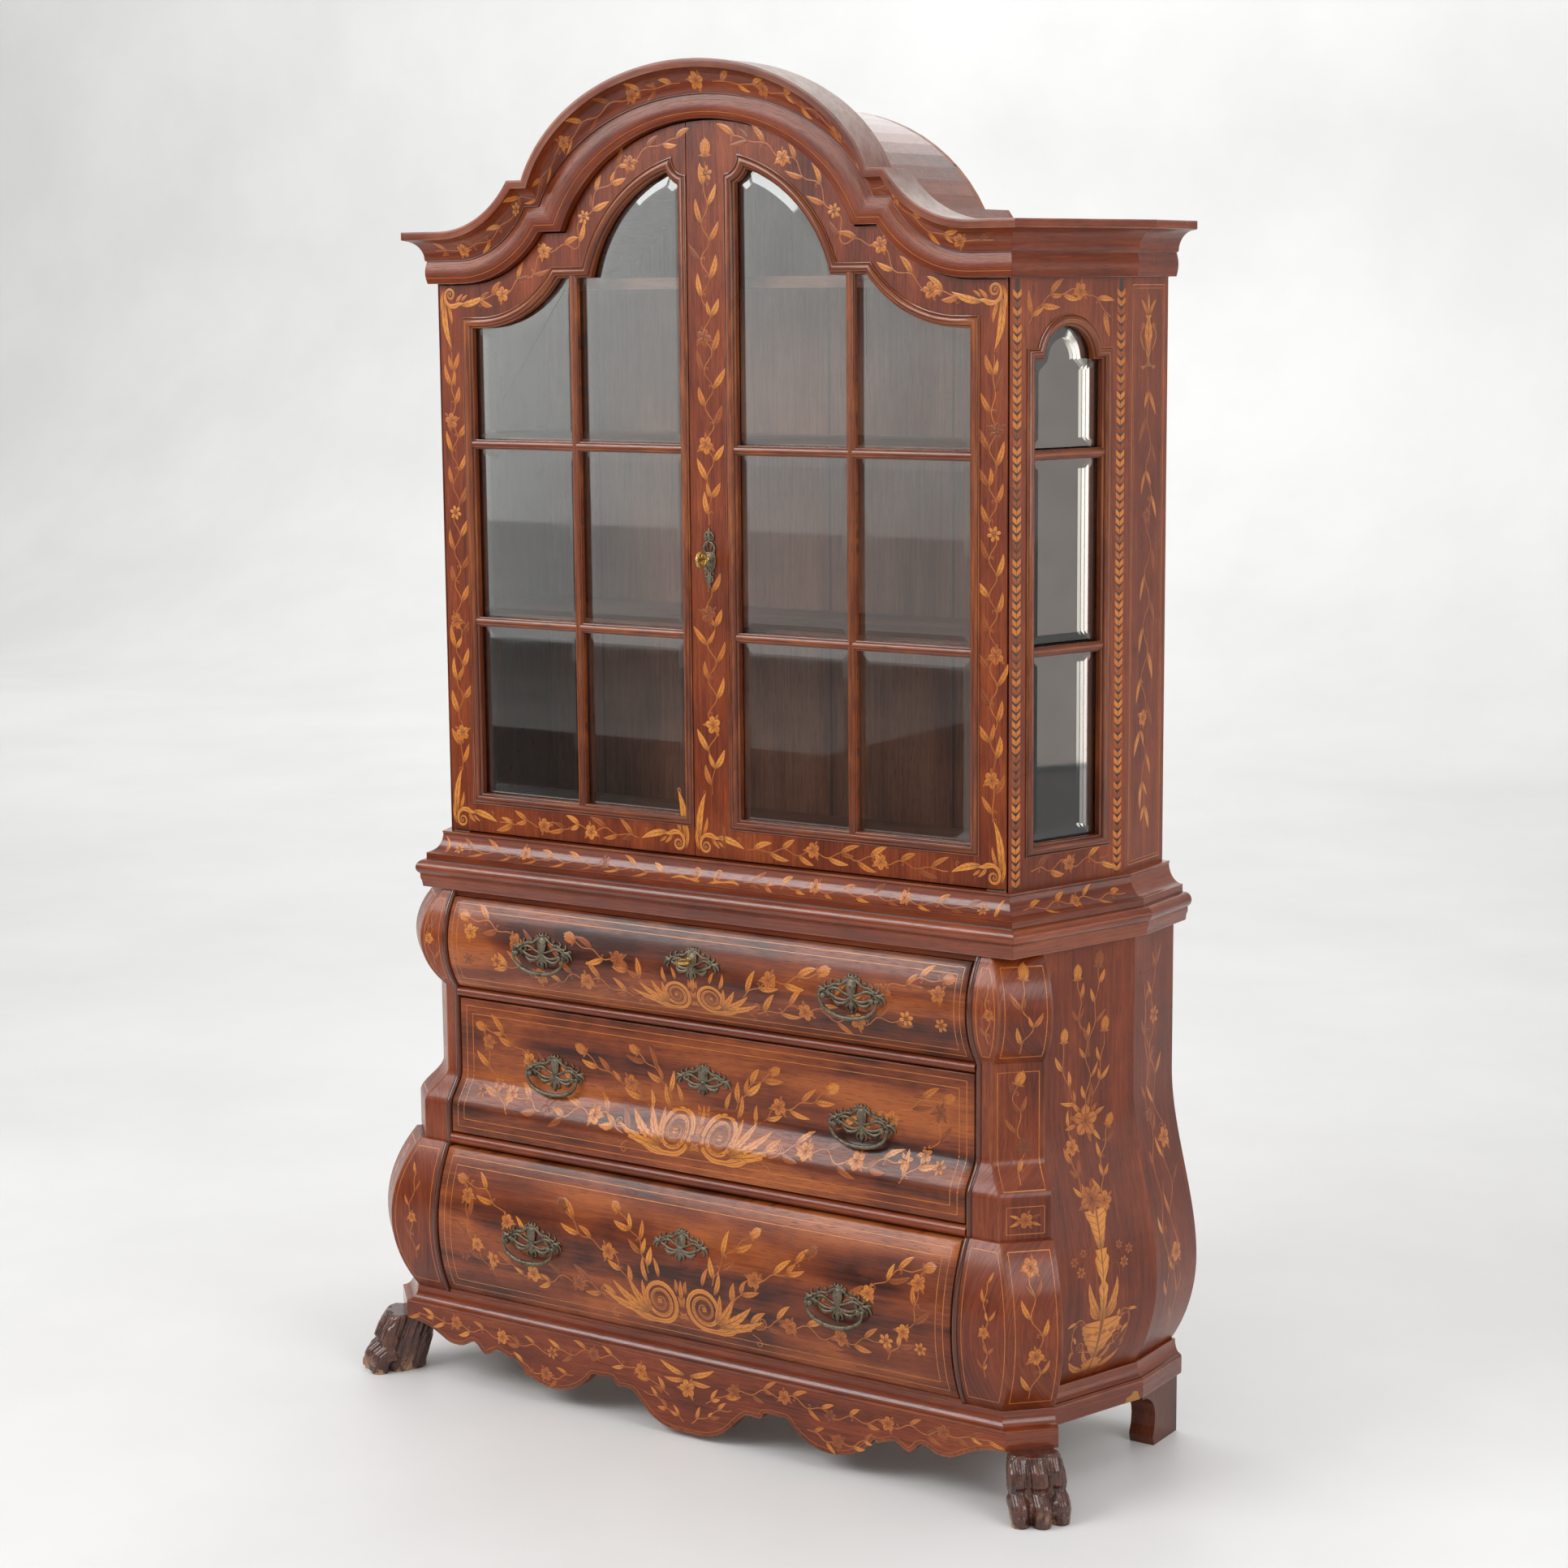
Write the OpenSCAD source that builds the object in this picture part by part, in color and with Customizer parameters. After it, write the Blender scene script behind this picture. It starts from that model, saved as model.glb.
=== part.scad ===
// China cabinet: a glazed two-door case with canted sides on a bombe base of three drawers.
// +X is the viewer's right, the front faces -Y, +Z is up.
// The origin is on the floor, in the middle of the whole object's box.

/* [Case] */
// Height of the base, from the floor to the underside of the glazed case
base_h = 932; // [915:1:950]
// Height of the glazed case at its sides
case_h = 905; // [890:1:920]
// Half width of the case across its front corners
front_half = 535; // [530:1:540]
// Half width of the case at its back
back_half = 609; // [604:1:614]
// Depth at which each slanting side turns square to the back
turn_y = 231; // [226:1:236]
// Depth of the case from the door faces to its back
case_d = 360; // [352:1:370]
// Thickness of the side frames
side_t = 22; // [20:1:24]

/* [Doors] */
// Thickness of the doors
door_t = 24; // [22:1:24]
// Working gap round the doors
door_gap = 3; // [2.6:0.1:3.2]
// Distance left of the middle at which the two doors meet
meet_x = 35; // [34:0.5:36]
// Width of the glazing moulding
glaze_w = 18; // [16:1:19]
// Width of the glazing bars
bar_w = 15; // [12:1:17]
// How far each door's pivot lies in from its front outer corner
pivot_in = 3; // [3:0.1:3.2]

/* [Base] */
// Outward swell of the corner posts' upper scroll
upper_swell = 29; // [24:1:32]
// Outward swell of the corner posts' lower scroll
lower_swell = 72.5; // [66:0.5:75]
// Width of the slanting face of each corner post
post_w = 83; // [78:1:86]
// Half width of the drawer fronts
drawer_half = 497; // [490:0.5:498]
// Clearance round the drawer fronts
drawer_gap = 1.5; // [1:0.1:2]
// Thickness of the drawer sides
drawer_side = 12; // [10:1:14]

/* [Hardware] */
// Half distance between a bail handle's pivots
bail_half = 44; // [40:1:46]
// Drop of a bail below its pivots
bail_drop = 31; // [28:1:38]
// Distance from the middle to each handle
handle_x = 298; // [280:1:310]
// Travel of the lock bolts
bolt_throw = 8; // [6:0.5:9]

/* [Hidden] */

// Colours
mahogany = [0.42, 0.19, 0.10];
dark_wood = [0.27, 0.12, 0.07];
veneer = [0.50, 0.24, 0.12];
raw_wood = [0.62, 0.45, 0.29];
old_brass = [0.52, 0.43, 0.22];
gold = [0.85, 0.66, 0.28];
pane = [0.75, 0.80, 0.82, 0.4];

// The door faces lie this far in front of the middle of the whole depth
door_y = -109.4;
// Radius of the pins that the doors turn on
wood_pin_r = 2;
// Radial clearance of pins and rods in their holes
run_fit = 0.06;

// ---- Plan of the case: front corner, turning point and back, moved outward by t ----
side_a = atan2(turn_y, back_half - front_half);
function front_corner(t) = [front_half + t * tan(side_a / 2), -t];
function turn_corner(t) = [back_half + t, turn_y - t * tan((90 - side_a) / 2)];
function back_corner(t) = [back_half + t, case_d];
function mirror_x(pts) = [for (i = [len(pts) - 1 : -1 : 0]) [-pts[i][0], pts[i][1]]];
function plan_half(t) = [front_corner(t), turn_corner(t), back_corner(t)];
function plan(t) = concat(mirror_x(plan_half(t)), plan_half(t));
side_len = norm([back_half - front_half, turn_y]);

module at_case() {
    translate([0, door_y, base_h])
        children();
}
module both() {
    children();
    mirror([1, 0, 0])
        children();
}
module on_side(s) {
    if (s < 0)
        mirror([1, 0, 0])
            children();
    else
        children();
}
// Local x runs along a face, local y points inward, z stays up
module along_side() {
    translate([front_half, 0, 0])
        rotate([0, 0, side_a])
            children();
}
module along_rear() {
    translate([back_half, turn_y, 0])
        rotate([0, 0, 90])
            children();
}
// A profile of [outward, height] points, extruded along local x
module run(line, x0, x1) {
    translate([x0, 0, 0])
        rotate([90, 0, 90])
            linear_extrude(x1 - x0)
                polygon([for (p = line) [-p[0], p[1]]]);
}
mitre_t = 120;
// Glue line at each mitre
mitre_gap = 0.04;
module mitre(pts, z0, z1) {
    translate([0, 0, z0])
        linear_extrude(z1 - z0)
            polygon(pts);
}
module front_run(line, z0, z1) {
    a = front_corner(-mitre_t);
    b = front_corner(mitre_t);
    intersection() {
        run(line, -b[0], b[0]);
        mitre([[-a[0], a[1]], a, b, [-b[0], b[1]]], z0, z1);
    }
}
module side_run(line, z0, z1) {
    g = mitre_gap * [cos(side_a), sin(side_a)];
    intersection() {
        along_side()
            run(line, -mitre_t, side_len + mitre_t);
        mitre([front_corner(-mitre_t) + g, front_corner(mitre_t) + g, turn_corner(mitre_t) - g,
            turn_corner(-mitre_t) - g], z0, z1);
    }
}
module rear_run(line, z0, z1) {
    intersection() {
        along_rear()
            run(line, -mitre_t, case_d - turn_y);
        mitre([turn_corner(-mitre_t), turn_corner(mitre_t), back_corner(mitre_t),
            back_corner(-mitre_t)], z0, z1);
    }
}

// ---- Shaped head lines: [flat height, end of flat, sweep radius, step height, apex, arch a, arch b] ----
head_door = [case_h, 476, 200, case_h + 80, case_h + 245, 289, 250];
head_frieze = [case_h + 36, 481, 160, case_h + 119, case_h + 281, 330, 239];
head_top = [case_h + 83, 493, 170, case_h + 160, case_h + 332, 336, 242];
head_glass = [case_h - 54, 450, 185, case_h + 25, case_h + 197, 248, 239];
fascia_h = 13;
sweep_steps = 8;
arch_steps = 12;
// The same line moved square to itself by i, toward the opening below it
function inset(h, i) = [h[0] - i, h[1], h[2] + i, h[3] - i, h[4] - i, h[5] - i, h[6] - i];
function blend(a, b, f) = [for (k = [0 : len(a) - 1]) a[k] * (1 - f) + b[k] * f];
function sweep_angle(h) = acos(1 - (h[3] - h[0]) / h[2]);
function arch_angle(h) = asin((h[3] - h[4] + h[6]) / h[6]);
// Right half, from the outer end to the middle
function head_half(h, x_end) = concat([[x_end, h[0]]],
    [for (k = [0 : sweep_steps]) let (a = sweep_angle(h) * k / sweep_steps)
        [h[1] - h[2] * sin(a), h[0] + h[2] * (1 - cos(a))]],
    [for (k = [0 : arch_steps - 1]) let (a = arch_angle(h) + (90 - arch_angle(h)) * k / arch_steps)
        [h[5] * cos(a), h[4] - h[6] + h[6] * sin(a)]],
    [[0, h[4]]]);
function head_line(h, x_end) = concat(head_half(h, x_end),
    [for (i = [len(head_half(h, x_end)) - 2 : -1 : 0])
        [-head_half(h, x_end)[i][0], head_half(h, x_end)[i][1]]]);
// The region under a head line, down to z0
module under(h, x_end, z0) {
    polygon(concat([[-x_end, z0], [x_end, z0]], head_line(h, x_end)));
}
// Stand a front drawing up: drawing x, z at depth y0 to y1
module upright(y0, y1) {
    translate([0, y1, 0])
        rotate([90, 0, 0])
            linear_extrude(y1 - y0)
                children();
}
module front_wedge(z0, z1) {
    a = front_corner(-mitre_t);
    b = front_corner(mitre_t);
    mitre([[-a[0], a[1]], a, b, [-b[0], b[1]]], z0, z1);
}

// ---- Cornice, frieze and roof ----
frieze_out = 16;
cornice_out = 48;
head_back = 24;
cove_steps = 8;
cove_out = cornice_out - 2 - frieze_out;
cove_h = head_top[0] - fascia_h - head_frieze[0];
top_z = head_top[4] + 20;
module cornice_slab(h, y0, y1) {
    upright(y0, y1)
        difference() {
            under(head_top, 760, head_frieze[0] - 5);
            under(h, 761, head_frieze[0] - 6);
        }
}
module cornice_front() {
    color(mahogany) at_case()
        intersection() {
            union() {
                cornice_slab(head_frieze, -frieze_out, head_back);
                for (k = [0 : cove_steps - 1])
                    let (a = 90 * (k + 0.5) / cove_steps, y0 = cove_out * (1 - cos(90 * k / cove_steps)),
                        y1 = cove_out * (1 - cos(90 * (k + 1) / cove_steps)))
                        cornice_slab(blend(head_frieze, inset(head_top, fascia_h), sin(a)),
                            -frieze_out - y1, -frieze_out - y0);
                cornice_slab(inset(head_top, fascia_h), -cornice_out, -cornice_out + 2);
            }
            front_wedge(head_frieze[0] - 1, top_z);
        }
}
cornice_line = concat([[-8, head_frieze[0]]],
    [for (k = [0 : cove_steps]) let (a = 90 * k / cove_steps)
        [frieze_out + cove_out * (1 - cos(a)), head_frieze[0] + cove_h * sin(a)]],
    [[cornice_out, head_top[0] - fascia_h], [cornice_out, head_top[0]], [-8, head_top[0]]]);
module cornice_sides() {
    color(mahogany) at_case()
        both() {
            side_run(cornice_line, head_frieze[0], head_top[0]);
            rear_run(cornice_line, head_frieze[0], head_top[0]);
        }
}
frieze_line = [[-8, case_h], [frieze_out, case_h], [frieze_out, head_frieze[0]], [-8, head_frieze[0]]];
stop_y = 26;
stop_drop = 12;
module frieze() {
    color(mahogany) at_case() {
        difference() {
            intersection() {
                union() {
                    upright(-frieze_out, head_back)
                        difference() {
                            under(head_frieze, 760, case_h);
                            under(head_door, 761, case_h - 1);
                        }
                    upright(head_back, stop_y + 12)
                        difference() {
                            under(head_frieze, front_half - 6, case_h - stop_drop);
                            under(inset(head_door, stop_drop), front_half, case_h - stop_drop - 1);
                        }
                }
                front_wedge(case_h - stop_drop, top_z);
            }
            upper_bolt_hole();
            both()
                translate([0, head_back, case_h - stop_drop - 1])
                    linear_extrude(stop_drop + 1)
                        polygon([[front_half - side_t - 3, -1], [front_half + 40, -1],
                            [front_half + 40, 20], [front_half - side_t - 3, 20]]);
        }
        both() {
            side_run(frieze_line, case_h, head_frieze[0]);
            rear_run(frieze_line, case_h, head_frieze[0]);
        }
    }
}
roof_t = 12;
roof_lift = 14;
module roof_board() {
    color(raw_wood) at_case()
        intersection() {
            upright(stop_y + 12, case_d - 12)
                difference() {
                    under(inset(head_door, -roof_lift - roof_t), back_half, case_h + 1);
                    under(inset(head_door, -roof_lift), back_half + 1, case_h);
                }
            translate([0, 0, case_h])
                linear_extrude(400)
                    polygon(plan(-8.5));
        }
}

// ---- Case ----
floor_t = 20;
back_t = 12;
module vitrine_back() {
    color(mahogany) at_case()
        upright(case_d - back_t, case_d)
            under(inset(head_door, -roof_lift - roof_t), back_half - side_t - 0.2, 0);
}
module vitrine_floor() {
    color(mahogany) at_case()
        difference() {
            linear_extrude(floor_t)
                intersection() {
                    polygon(plan(-side_t - 0.2));
                    translate([-back_half, stop_y])
                        square([2 * back_half, case_d - stop_y - back_t - 0.2]);
                }
            lower_bolt_hole();
        }
}
// Side window: an arch over a straight opening, with square ears at the springing
win_mid = 121;
win_half = 87;
win_z0 = 48;
win_ear = 802;
win_spring = 784;
win_arch = 68;
module window_shape(i) {
    translate([win_mid, 0]) {
        translate([-win_half + i, win_z0 + i])
            square([2 * (win_half - i), win_ear - i - win_z0 - i]);
        translate([0, win_spring])
            circle(win_arch - i);
        translate([-win_arch + i, win_spring - 20])
            square([2 * (win_arch - i), 20]);
    }
}
lip_x = 533.2;
rabbet_y = door_t + 1.6;
// Front edge of the slanting side, cut back behind the door
module door_rabbet() {
    translate([lip_x - 80, -10, -1])
        cube([80, 10 + rabbet_y, case_h + 2]);
}
module side_frame(s) {
    color(veneer) at_case() on_side(s)
        difference() {
            union() {
                side_run([[-side_t, 0], [0, 0], [0, case_h], [-side_t, case_h]], 0, case_h);
                rear_run([[-side_t, 0], [0, 0], [0, case_h], [-side_t, case_h]], 0, case_h);
            }
            door_rabbet();
            along_side() {
                upright(-5, 12)
                    window_shape(0);
                upright(11, side_t + 5)
                    window_shape(glaze_w - 6);
            }
        }
}
module side_frame_left() { side_frame(-1); }
module side_frame_right() { side_frame(1); }
side_bars = [355, 646];
module side_mouldings() {
    color(dark_wood) at_case() both() along_side() {
        upright(-5, 12)
            difference() {
                window_shape(0);
                window_shape(glaze_w);
            }
        upright(0, 12)
            intersection() {
                window_shape(glaze_w);
                for (z = side_bars)
                    translate([0, z - bar_w / 2])
                        square([side_len, bar_w]);
            }
    }
}
glass_t = 4;
module side_panes() {
    difference() {
        window_shape(glaze_w - 5);
        for (z = side_bars)
            translate([0, z - 1.5])
                square([side_len, 3]);
    }
}
module side_glass() {
    color(pane) at_case() both() along_side()
        upright(12.2, 12.2 + glass_t)
            side_panes();
}
shelf_z = [346, 637, 893];
shelf_t = 18;
shelf_y = 62;
module shelves() {
    color(mahogany) at_case()
        for (z = shelf_z)
            translate([0, 0, z])
                linear_extrude(shelf_t)
                    intersection() {
                        polygon(plan(-side_t - 1));
                        translate([-back_half, shelf_y])
                            square([2 * back_half, case_d - shelf_y - back_t - 1]);
                    }
}
module shelf_supports() {
    color(mahogany) at_case() both()
        for (z = shelf_z) {
            intersection() {
                along_side()
                    translate([shelf_y + 20, side_t, z - 14])
                        cube([side_len, 10, 14]);
                translate([0, 0, z - 14])
                    linear_extrude(14)
                        polygon([[0, 0], front_corner(0), turn_corner(-side_t), [0, turn_y]]);
            }
            translate([back_half - side_t - 10, turn_y + 12, z - 14])
                cube([10, case_d - back_t - turn_y - 14, 14]);
        }
}

// ---- Doors ----
door_x1 = front_half - 3.5;
door_z0 = door_gap;
left_meet = meet_x + 1.5;
notch_r = 26;
notch_z = case_h + 187;
glass_x1 = 485;
glass_z0 = 50;
// Outline of a door; the meeting edge lies at x = m on the side away from the outer edge
module door_shape(m) {
    intersection() {
        under(inset(head_door, door_gap), door_x1, door_z0);
        translate([m, 0])
            square([door_x1 - m, 1400]);
    }
}
// Glazed opening of a door, moved inward by i; its inner edge lies at x = m
module glazed_shape(m, i) {
    difference() {
        intersection() {
            under(inset(head_glass, i), glass_x1 - i, glass_z0 + i);
            translate([m + i, 0])
                square([glass_x1 - m - 2 * i, 1400]);
        }
        translate([m, notch_z])
            circle(notch_r + i);
    }
}
module door_frame(meet, inner) {
    difference() {
        upright(0, door_t)
            door_shape(meet);
        upright(-1, 12)
            glazed_shape(inner, 0);
        upright(11, door_t + 1)
            glazed_shape(inner, glaze_w - 6);
        door_plate_cuts();
    }
}
pivot_x = door_x1 - pivot_in;
pivot_y = 3;
plate_l = 34;
module door_plate_cuts() {
    for (z = [door_z0 - 1, case_h - door_gap - 2])
        translate([door_x1 - plate_l, 1, z])
            cube([plate_l + 1, 12, 3]);
    for (z = [door_z0 - 1, case_h - door_gap - 13])
        translate([pivot_x, pivot_y, z])
            cylinder(r = wood_pin_r + 0.6, h = 14, $fn = 24);
}
module door_plates() {
    for (z = [door_z0, case_h - door_gap - 2])
        difference() {
            translate([door_x1 - plate_l, 1, z])
                cube([plate_l, 11.8, 2]);
            translate([pivot_x, pivot_y, z - 1])
                cylinder(r = wood_pin_r + run_fit, h = 4, $fn = 24);
            translate([door_x1 - pivot_in + 1.2, -2, z - 1])
                cube([4, 4, 4]);
        }
}
module door_pivots() {
    color(old_brass) at_case() both() {
        translate([door_x1 - plate_l, 0.8, 0])
            cube([plate_l - 1, 12, 1.2]);
        translate([pivot_x, pivot_y, 0])
            cylinder(r = wood_pin_r, h = 13, $fn = 24);
        translate([door_x1 - plate_l, 0.8, case_h - 1.2])
            cube([plate_l - 1, 12, 1.2]);
        translate([pivot_x, pivot_y, case_h - 13])
            cylinder(r = wood_pin_r, h = 13, $fn = 24);
    }
}
// Glazing moulding with its bars; the bars stand a little back from the moulding
bar_mid = 260;
module door_moulding(m) {
    upright(-5, 12)
        difference() {
            glazed_shape(m, 0);
            glazed_shape(m, glaze_w);
        }
    upright(-2, 12)
        intersection() {
            glazed_shape(m, glaze_w);
            union() {
                translate([bar_mid - bar_w / 2, 0])
                    square([bar_w, 1400]);
                for (z = side_bars)
                    translate([0, z - bar_w / 2])
                        square([glass_x1, bar_w]);
            }
        }
}
module door_panes(m) {
    difference() {
        glazed_shape(m, glaze_w - 5);
        translate([bar_mid - 1.5, 0])
            square([3, 1400]);
        for (z = side_bars)
            translate([-50, z - 1.5])
                square([glass_x1 + 50, 3]);
    }
}
right_inner = 34;
module door_right_frame() {
    color(veneer) at_case()
        difference() {
            door_frame(-meet_x, right_inner);
            lock_pocket();
        }
}
module door_left_frame() {
    color(veneer) at_case() mirror([1, 0, 0])
        difference() {
            door_frame(left_meet, left_meet);
            translate([left_meet - 1, 12.5, key_z + 11])
                cube([bolt_throw + 2.5, 6, 14]);
        }
}
module door_right_moulding() { color(dark_wood) at_case() door_moulding(right_inner); }
module door_left_moulding() { color(dark_wood) at_case() mirror([1, 0, 0]) door_moulding(left_meet); }
module door_right_glass() { color(pane) at_case() upright(12.2, 12.2 + glass_t) door_panes(right_inner); }
module door_left_glass() {
    color(pane) at_case() mirror([1, 0, 0]) upright(12.2, 12.2 + glass_t) door_panes(left_meet);
}
module door_right_fittings() { color(old_brass) at_case() door_plates(); }

// Lock in the right door's meeting stile, and its key
key_z = 477;
lock_z0 = key_z - 30;
lock_z1 = key_z + 35;
bit_r = 9.5;
module lock_pocket() {
    translate([-meet_x - 1, 6.8, lock_z0 - 0.2])
        cube([meet_x + 29.2, 13.4, lock_z1 - lock_z0 + 0.4]);
    translate([0, -1, key_z])
        rotate([-90, 0, 0])
            cylinder(r = 4, h = 9, $fn = 32);
}
module door_lock() {
    color(old_brass) at_case()
        difference() {
            translate([-meet_x, 7, lock_z0])
                cube([meet_x + 28, 13, lock_z1 - lock_z0]);
            translate([-meet_x - 1, 12.5, key_z + 11])
                cube([meet_x + 12, 6, 14]);
            translate([0, 6, key_z])
                rotate([-90, 0, 0])
                    cylinder(r = 4, h = 7, $fn = 32);
            translate([0, 12.5, key_z])
                rotate([-90, 0, 0])
                    cylinder(r = bit_r + 1, h = 6, $fn = 40);
        }
}
module door_lock_bolt() {
    color(old_brass) at_case()
        translate([-meet_x + 0.2, 13, key_z + 11.5])
            cube([meet_x, 5, 13]);
}
module escutcheon_shape() {
    difference() {
        union() {
            square([15, 70], center = true);
            for (s = [-1, 1]) {
                translate([0, s * 33])
                    circle(11, $fn = 40);
                translate([0, s * 44])
                    circle(5, $fn = 32);
                translate([s * 6, s * 12])
                    circle(6, $fn = 32);
                translate([-s * 6, s * 12])
                    circle(6, $fn = 32);
            }
        }
        circle(4, $fn = 32);
    }
}
module door_escutcheon() {
    color(old_brass) at_case()
        upright(-1.5, 0)
            translate([0, key_z])
                escutcheon_shape();
}
// A key along y: shaft from y0 to y1, bow in front of y0, bit before y1
module key(y0, y1) {
    translate([0, y0, 0])
        rotate([-90, 0, 0])
            cylinder(r = 2.6, h = y1 - y0, $fn = 24);
    translate([0, y0 + 2, 0])
        rotate([-90, 0, 0])
            cylinder(r = 4.6, h = 3, $fn = 32);
    difference() {
        translate([-1.5, y0 - 26, -13])
            cube([3, 28, 26]);
        for (s = [-1, 1])
            translate([-3, y0 - 13, s * 6.5])
                rotate([0, 90, 0])
                    cylinder(r = 4.5, h = 6, $fn = 32);
        for (s = [-1, 1], y = [y0 - 26, y0 + 2])
            translate([-3, y, s * 13])
                rotate([0, 90, 0])
                    cylinder(r = 7, h = 6, $fn = 32);
    }
    translate([-1, y1 - 4, -bit_r])
        cube([2, 4, bit_r - 1]);
}
module door_key() { color(gold) at_case() translate([0, 0, key_z]) key(-12, 17.5); }

// Bolts on the back of the left door, with their guides
bolt_x = -43;
bolt_y = 30.5;
rod_r = 3;
lower_rod = [floor_t + 2, floor_t + 92];
upper_rod = [case_h + 130, case_h + 229];
module rod_hole(z, h) {
    translate([bolt_x, bolt_y, z])
        cylinder(r = rod_r + 0.6, h = h, $fn = 32);
}
module lower_bolt_hole() { rod_hole(floor_t - 14, 16); }
module upper_bolt_hole() { rod_hole(case_h + 225, 30); }
module rod(z) {
    translate([bolt_x, bolt_y, z[0]])
        cylinder(r = rod_r, h = z[1] - z[0], $fn = 32);
    translate([bolt_x, bolt_y, (z[0] + z[1]) / 2])
        sphere(r = 5, $fn = 32);
}
module left_bolt_upper() { color(old_brass) at_case() rod(upper_rod); }
module left_bolt_lower() { color(old_brass) at_case() rod(lower_rod); }
guide_h = 10;
module door_left_fittings() {
    color(old_brass) at_case() {
        mirror([1, 0, 0])
            door_plates();
        for (z = [lower_rod[0] + 8, lower_rod[1] - 8 - guide_h, upper_rod[0] + 8, upper_rod[1] - 8 - guide_h])
            difference() {
                translate([bolt_x - 6, door_t, z])
                    cube([12, bolt_y - door_t + 5, guide_h]);
                translate([bolt_x, bolt_y, z - 1])
                    cylinder(r = rod_r + run_fit, h = guide_h + 2, $fn = 32);
            }
    }
}

// ---- Base: heights below the case, as negative numbers ----
waist_bot = -92;
bulge_top = -94;
neck_top = -257;
neck_bot = -402;
block_top = -458;
block_bot = -520;
lower_mid = -655;
lower_r = 260;
plinth_top = -778;
plinth_cove = 28;
plinth_face = plinth_top - plinth_cove;
plinth_bot = -834;
post_y = 35;
post_x = front_half - 8;
bulge_steps = 12;
// Swell of the front at height z: arcs for the scrolls, a smooth step for the flare
upper_mid = (bulge_top + neck_top) / 2;
upper_half = (bulge_top - neck_top) / 2;
upper_r = (upper_half * upper_half + upper_swell * upper_swell) / (2 * upper_swell);
function smooth(f) = 3 * f * f - 2 * f * f * f;
function upper_line(z) = sqrt(max(0, pow(upper_r, 2) - pow(z - upper_mid, 2))) - upper_r + upper_swell;
function lower_line(z) = lower_swell - lower_r + sqrt(pow(lower_r, 2) - pow(z - lower_mid, 2));
function flare(z) = upper_swell * smooth((neck_bot - z) / (neck_bot - block_top));
function steps(a, b, n) = [for (k = [0 : n]) a + (b - a) * k / n];
front_line = concat([[0, waist_bot]],
    [for (z = steps(bulge_top, neck_top, bulge_steps)) [upper_line(z), z]],
    [for (z = steps(neck_bot, block_top, 8)) [flare(z), z]],
    [[upper_swell, block_bot]],
    [for (z = steps(block_bot, plinth_top, bulge_steps + 4)) [lower_line(z), z]]);
plinth_swell = 57;
plinth_in = lower_line(plinth_top) + 1;
plinth_line = concat(
    [for (k = [0 : 6]) let (a = 90 * k / 6)
        [plinth_in + (plinth_swell - 2 - plinth_in) * (1 - cos(a)), plinth_top - (plinth_cove - 4) * sin(a)]],
    [[plinth_swell, plinth_face + 4], [plinth_swell, plinth_face]]);
module front_region(line, depth) {
    polygon(concat([for (p = line) [-post_y - p[0], p[1]]],
        [[depth, line[len(line) - 1][1]], [depth, line[0][1]]]));
}
module across(x0, x1) {
    translate([x0, 0, 0])
        rotate([90, 0, 90])
            linear_extrude(x1 - x0)
                children();
}
// Corner post: a narrow front face and a slanting face that both swell along the diagonal
post_d = 37;
post_in = 500;
far = post_w * cos(45);
module slant_strip(line, depth) {
    translate([post_x, -post_y, 0])
        rotate([0, 0, 45])
            rotate([90, 0, 90])
                linear_extrude(post_w)
                    polygon(concat([for (p = line) [-sqrt(2) * p[0], p[1]]],
                        [[depth, line[len(line) - 1][1]], [depth, line[0][1]]]));
}
module front_strip(line, depth) {
    z0 = line[len(line) - 1][1];
    z1 = line[0][1];
    intersection() {
        across(post_in, post_x + 90)
            front_region(line, depth);
        mitre([[post_in - 1, -300], [post_x - post_y + 300, -300], [post_x - post_y - 60, 60],
            [post_in - 1, 60]], z0 - 1, z1 + 1);
    }
}
module post(line) {
    slant_strip(line, post_d);
    front_strip(line, 20);
}
module pilaster(s) {
    color(veneer) at_case() on_side(s)
        post(front_line);
}
module pilaster_left() { pilaster(-1); }
module pilaster_right() { pilaster(1); }

// Sides of the base: straight above, then a long ogee swell
side_straight = 21;
side_peak = 68;
side_mid = -635;
side_r = 265;
side_ogee = -330;
function side_upper(z) = side_straight + (side_peak - side_straight) * smooth((side_ogee - z) / (side_ogee - side_mid));
function side_lower(z) = side_peak - side_r + sqrt(pow(side_r, 2) - pow(z - side_mid, 2));
side_line = concat([[0, waist_bot], [side_straight, waist_bot]],
    [for (z = steps(side_ogee, side_mid, 16)) [side_upper(z), z]],
    [for (k = [1 : 8]) let (z = side_mid + (plinth_top - side_mid) * k / 8) [side_lower(z), z]],
    [[0, plinth_top]]);
// Everything behind the corner post's return face
post_back = post_x - post_y + far * 2;
module behind_post() {
    translate([0, 0, -1000])
        linear_extrude(1100)
            polygon([[post_back - 400, 400], [post_back + 400, -400], [post_back + 400, 700],
                [post_back - 400, 700]]);
}
module base_side(s) {
    color(veneer) at_case() on_side(s)
        intersection() {
            union() {
                side_run(side_line, plinth_top, waist_bot);
                rear_run(side_line, plinth_top, waist_bot);
            }
            translate([0.2, 0.2, 0])
                behind_post();
        }
}
module base_side_left() { base_side(-1); }
module base_side_right() { base_side(1); }
waist_line = concat([[-30, waist_bot], [42, waist_bot], [43, -84], [46, -76]],
    [for (k = [0 : 8]) let (a = -60 + 150 * k / 8) [40 + 12 * cos(a), -59 + 12 * sin(a)]],
    [[36, -47], [36, -35]],
    [for (k = [1 : 8]) let (a = 90 * k / 8) [36 - 24 * sin(a), -3 - 32 * cos(a)]],
    [[12, 0], [-30, 0]]);
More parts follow.
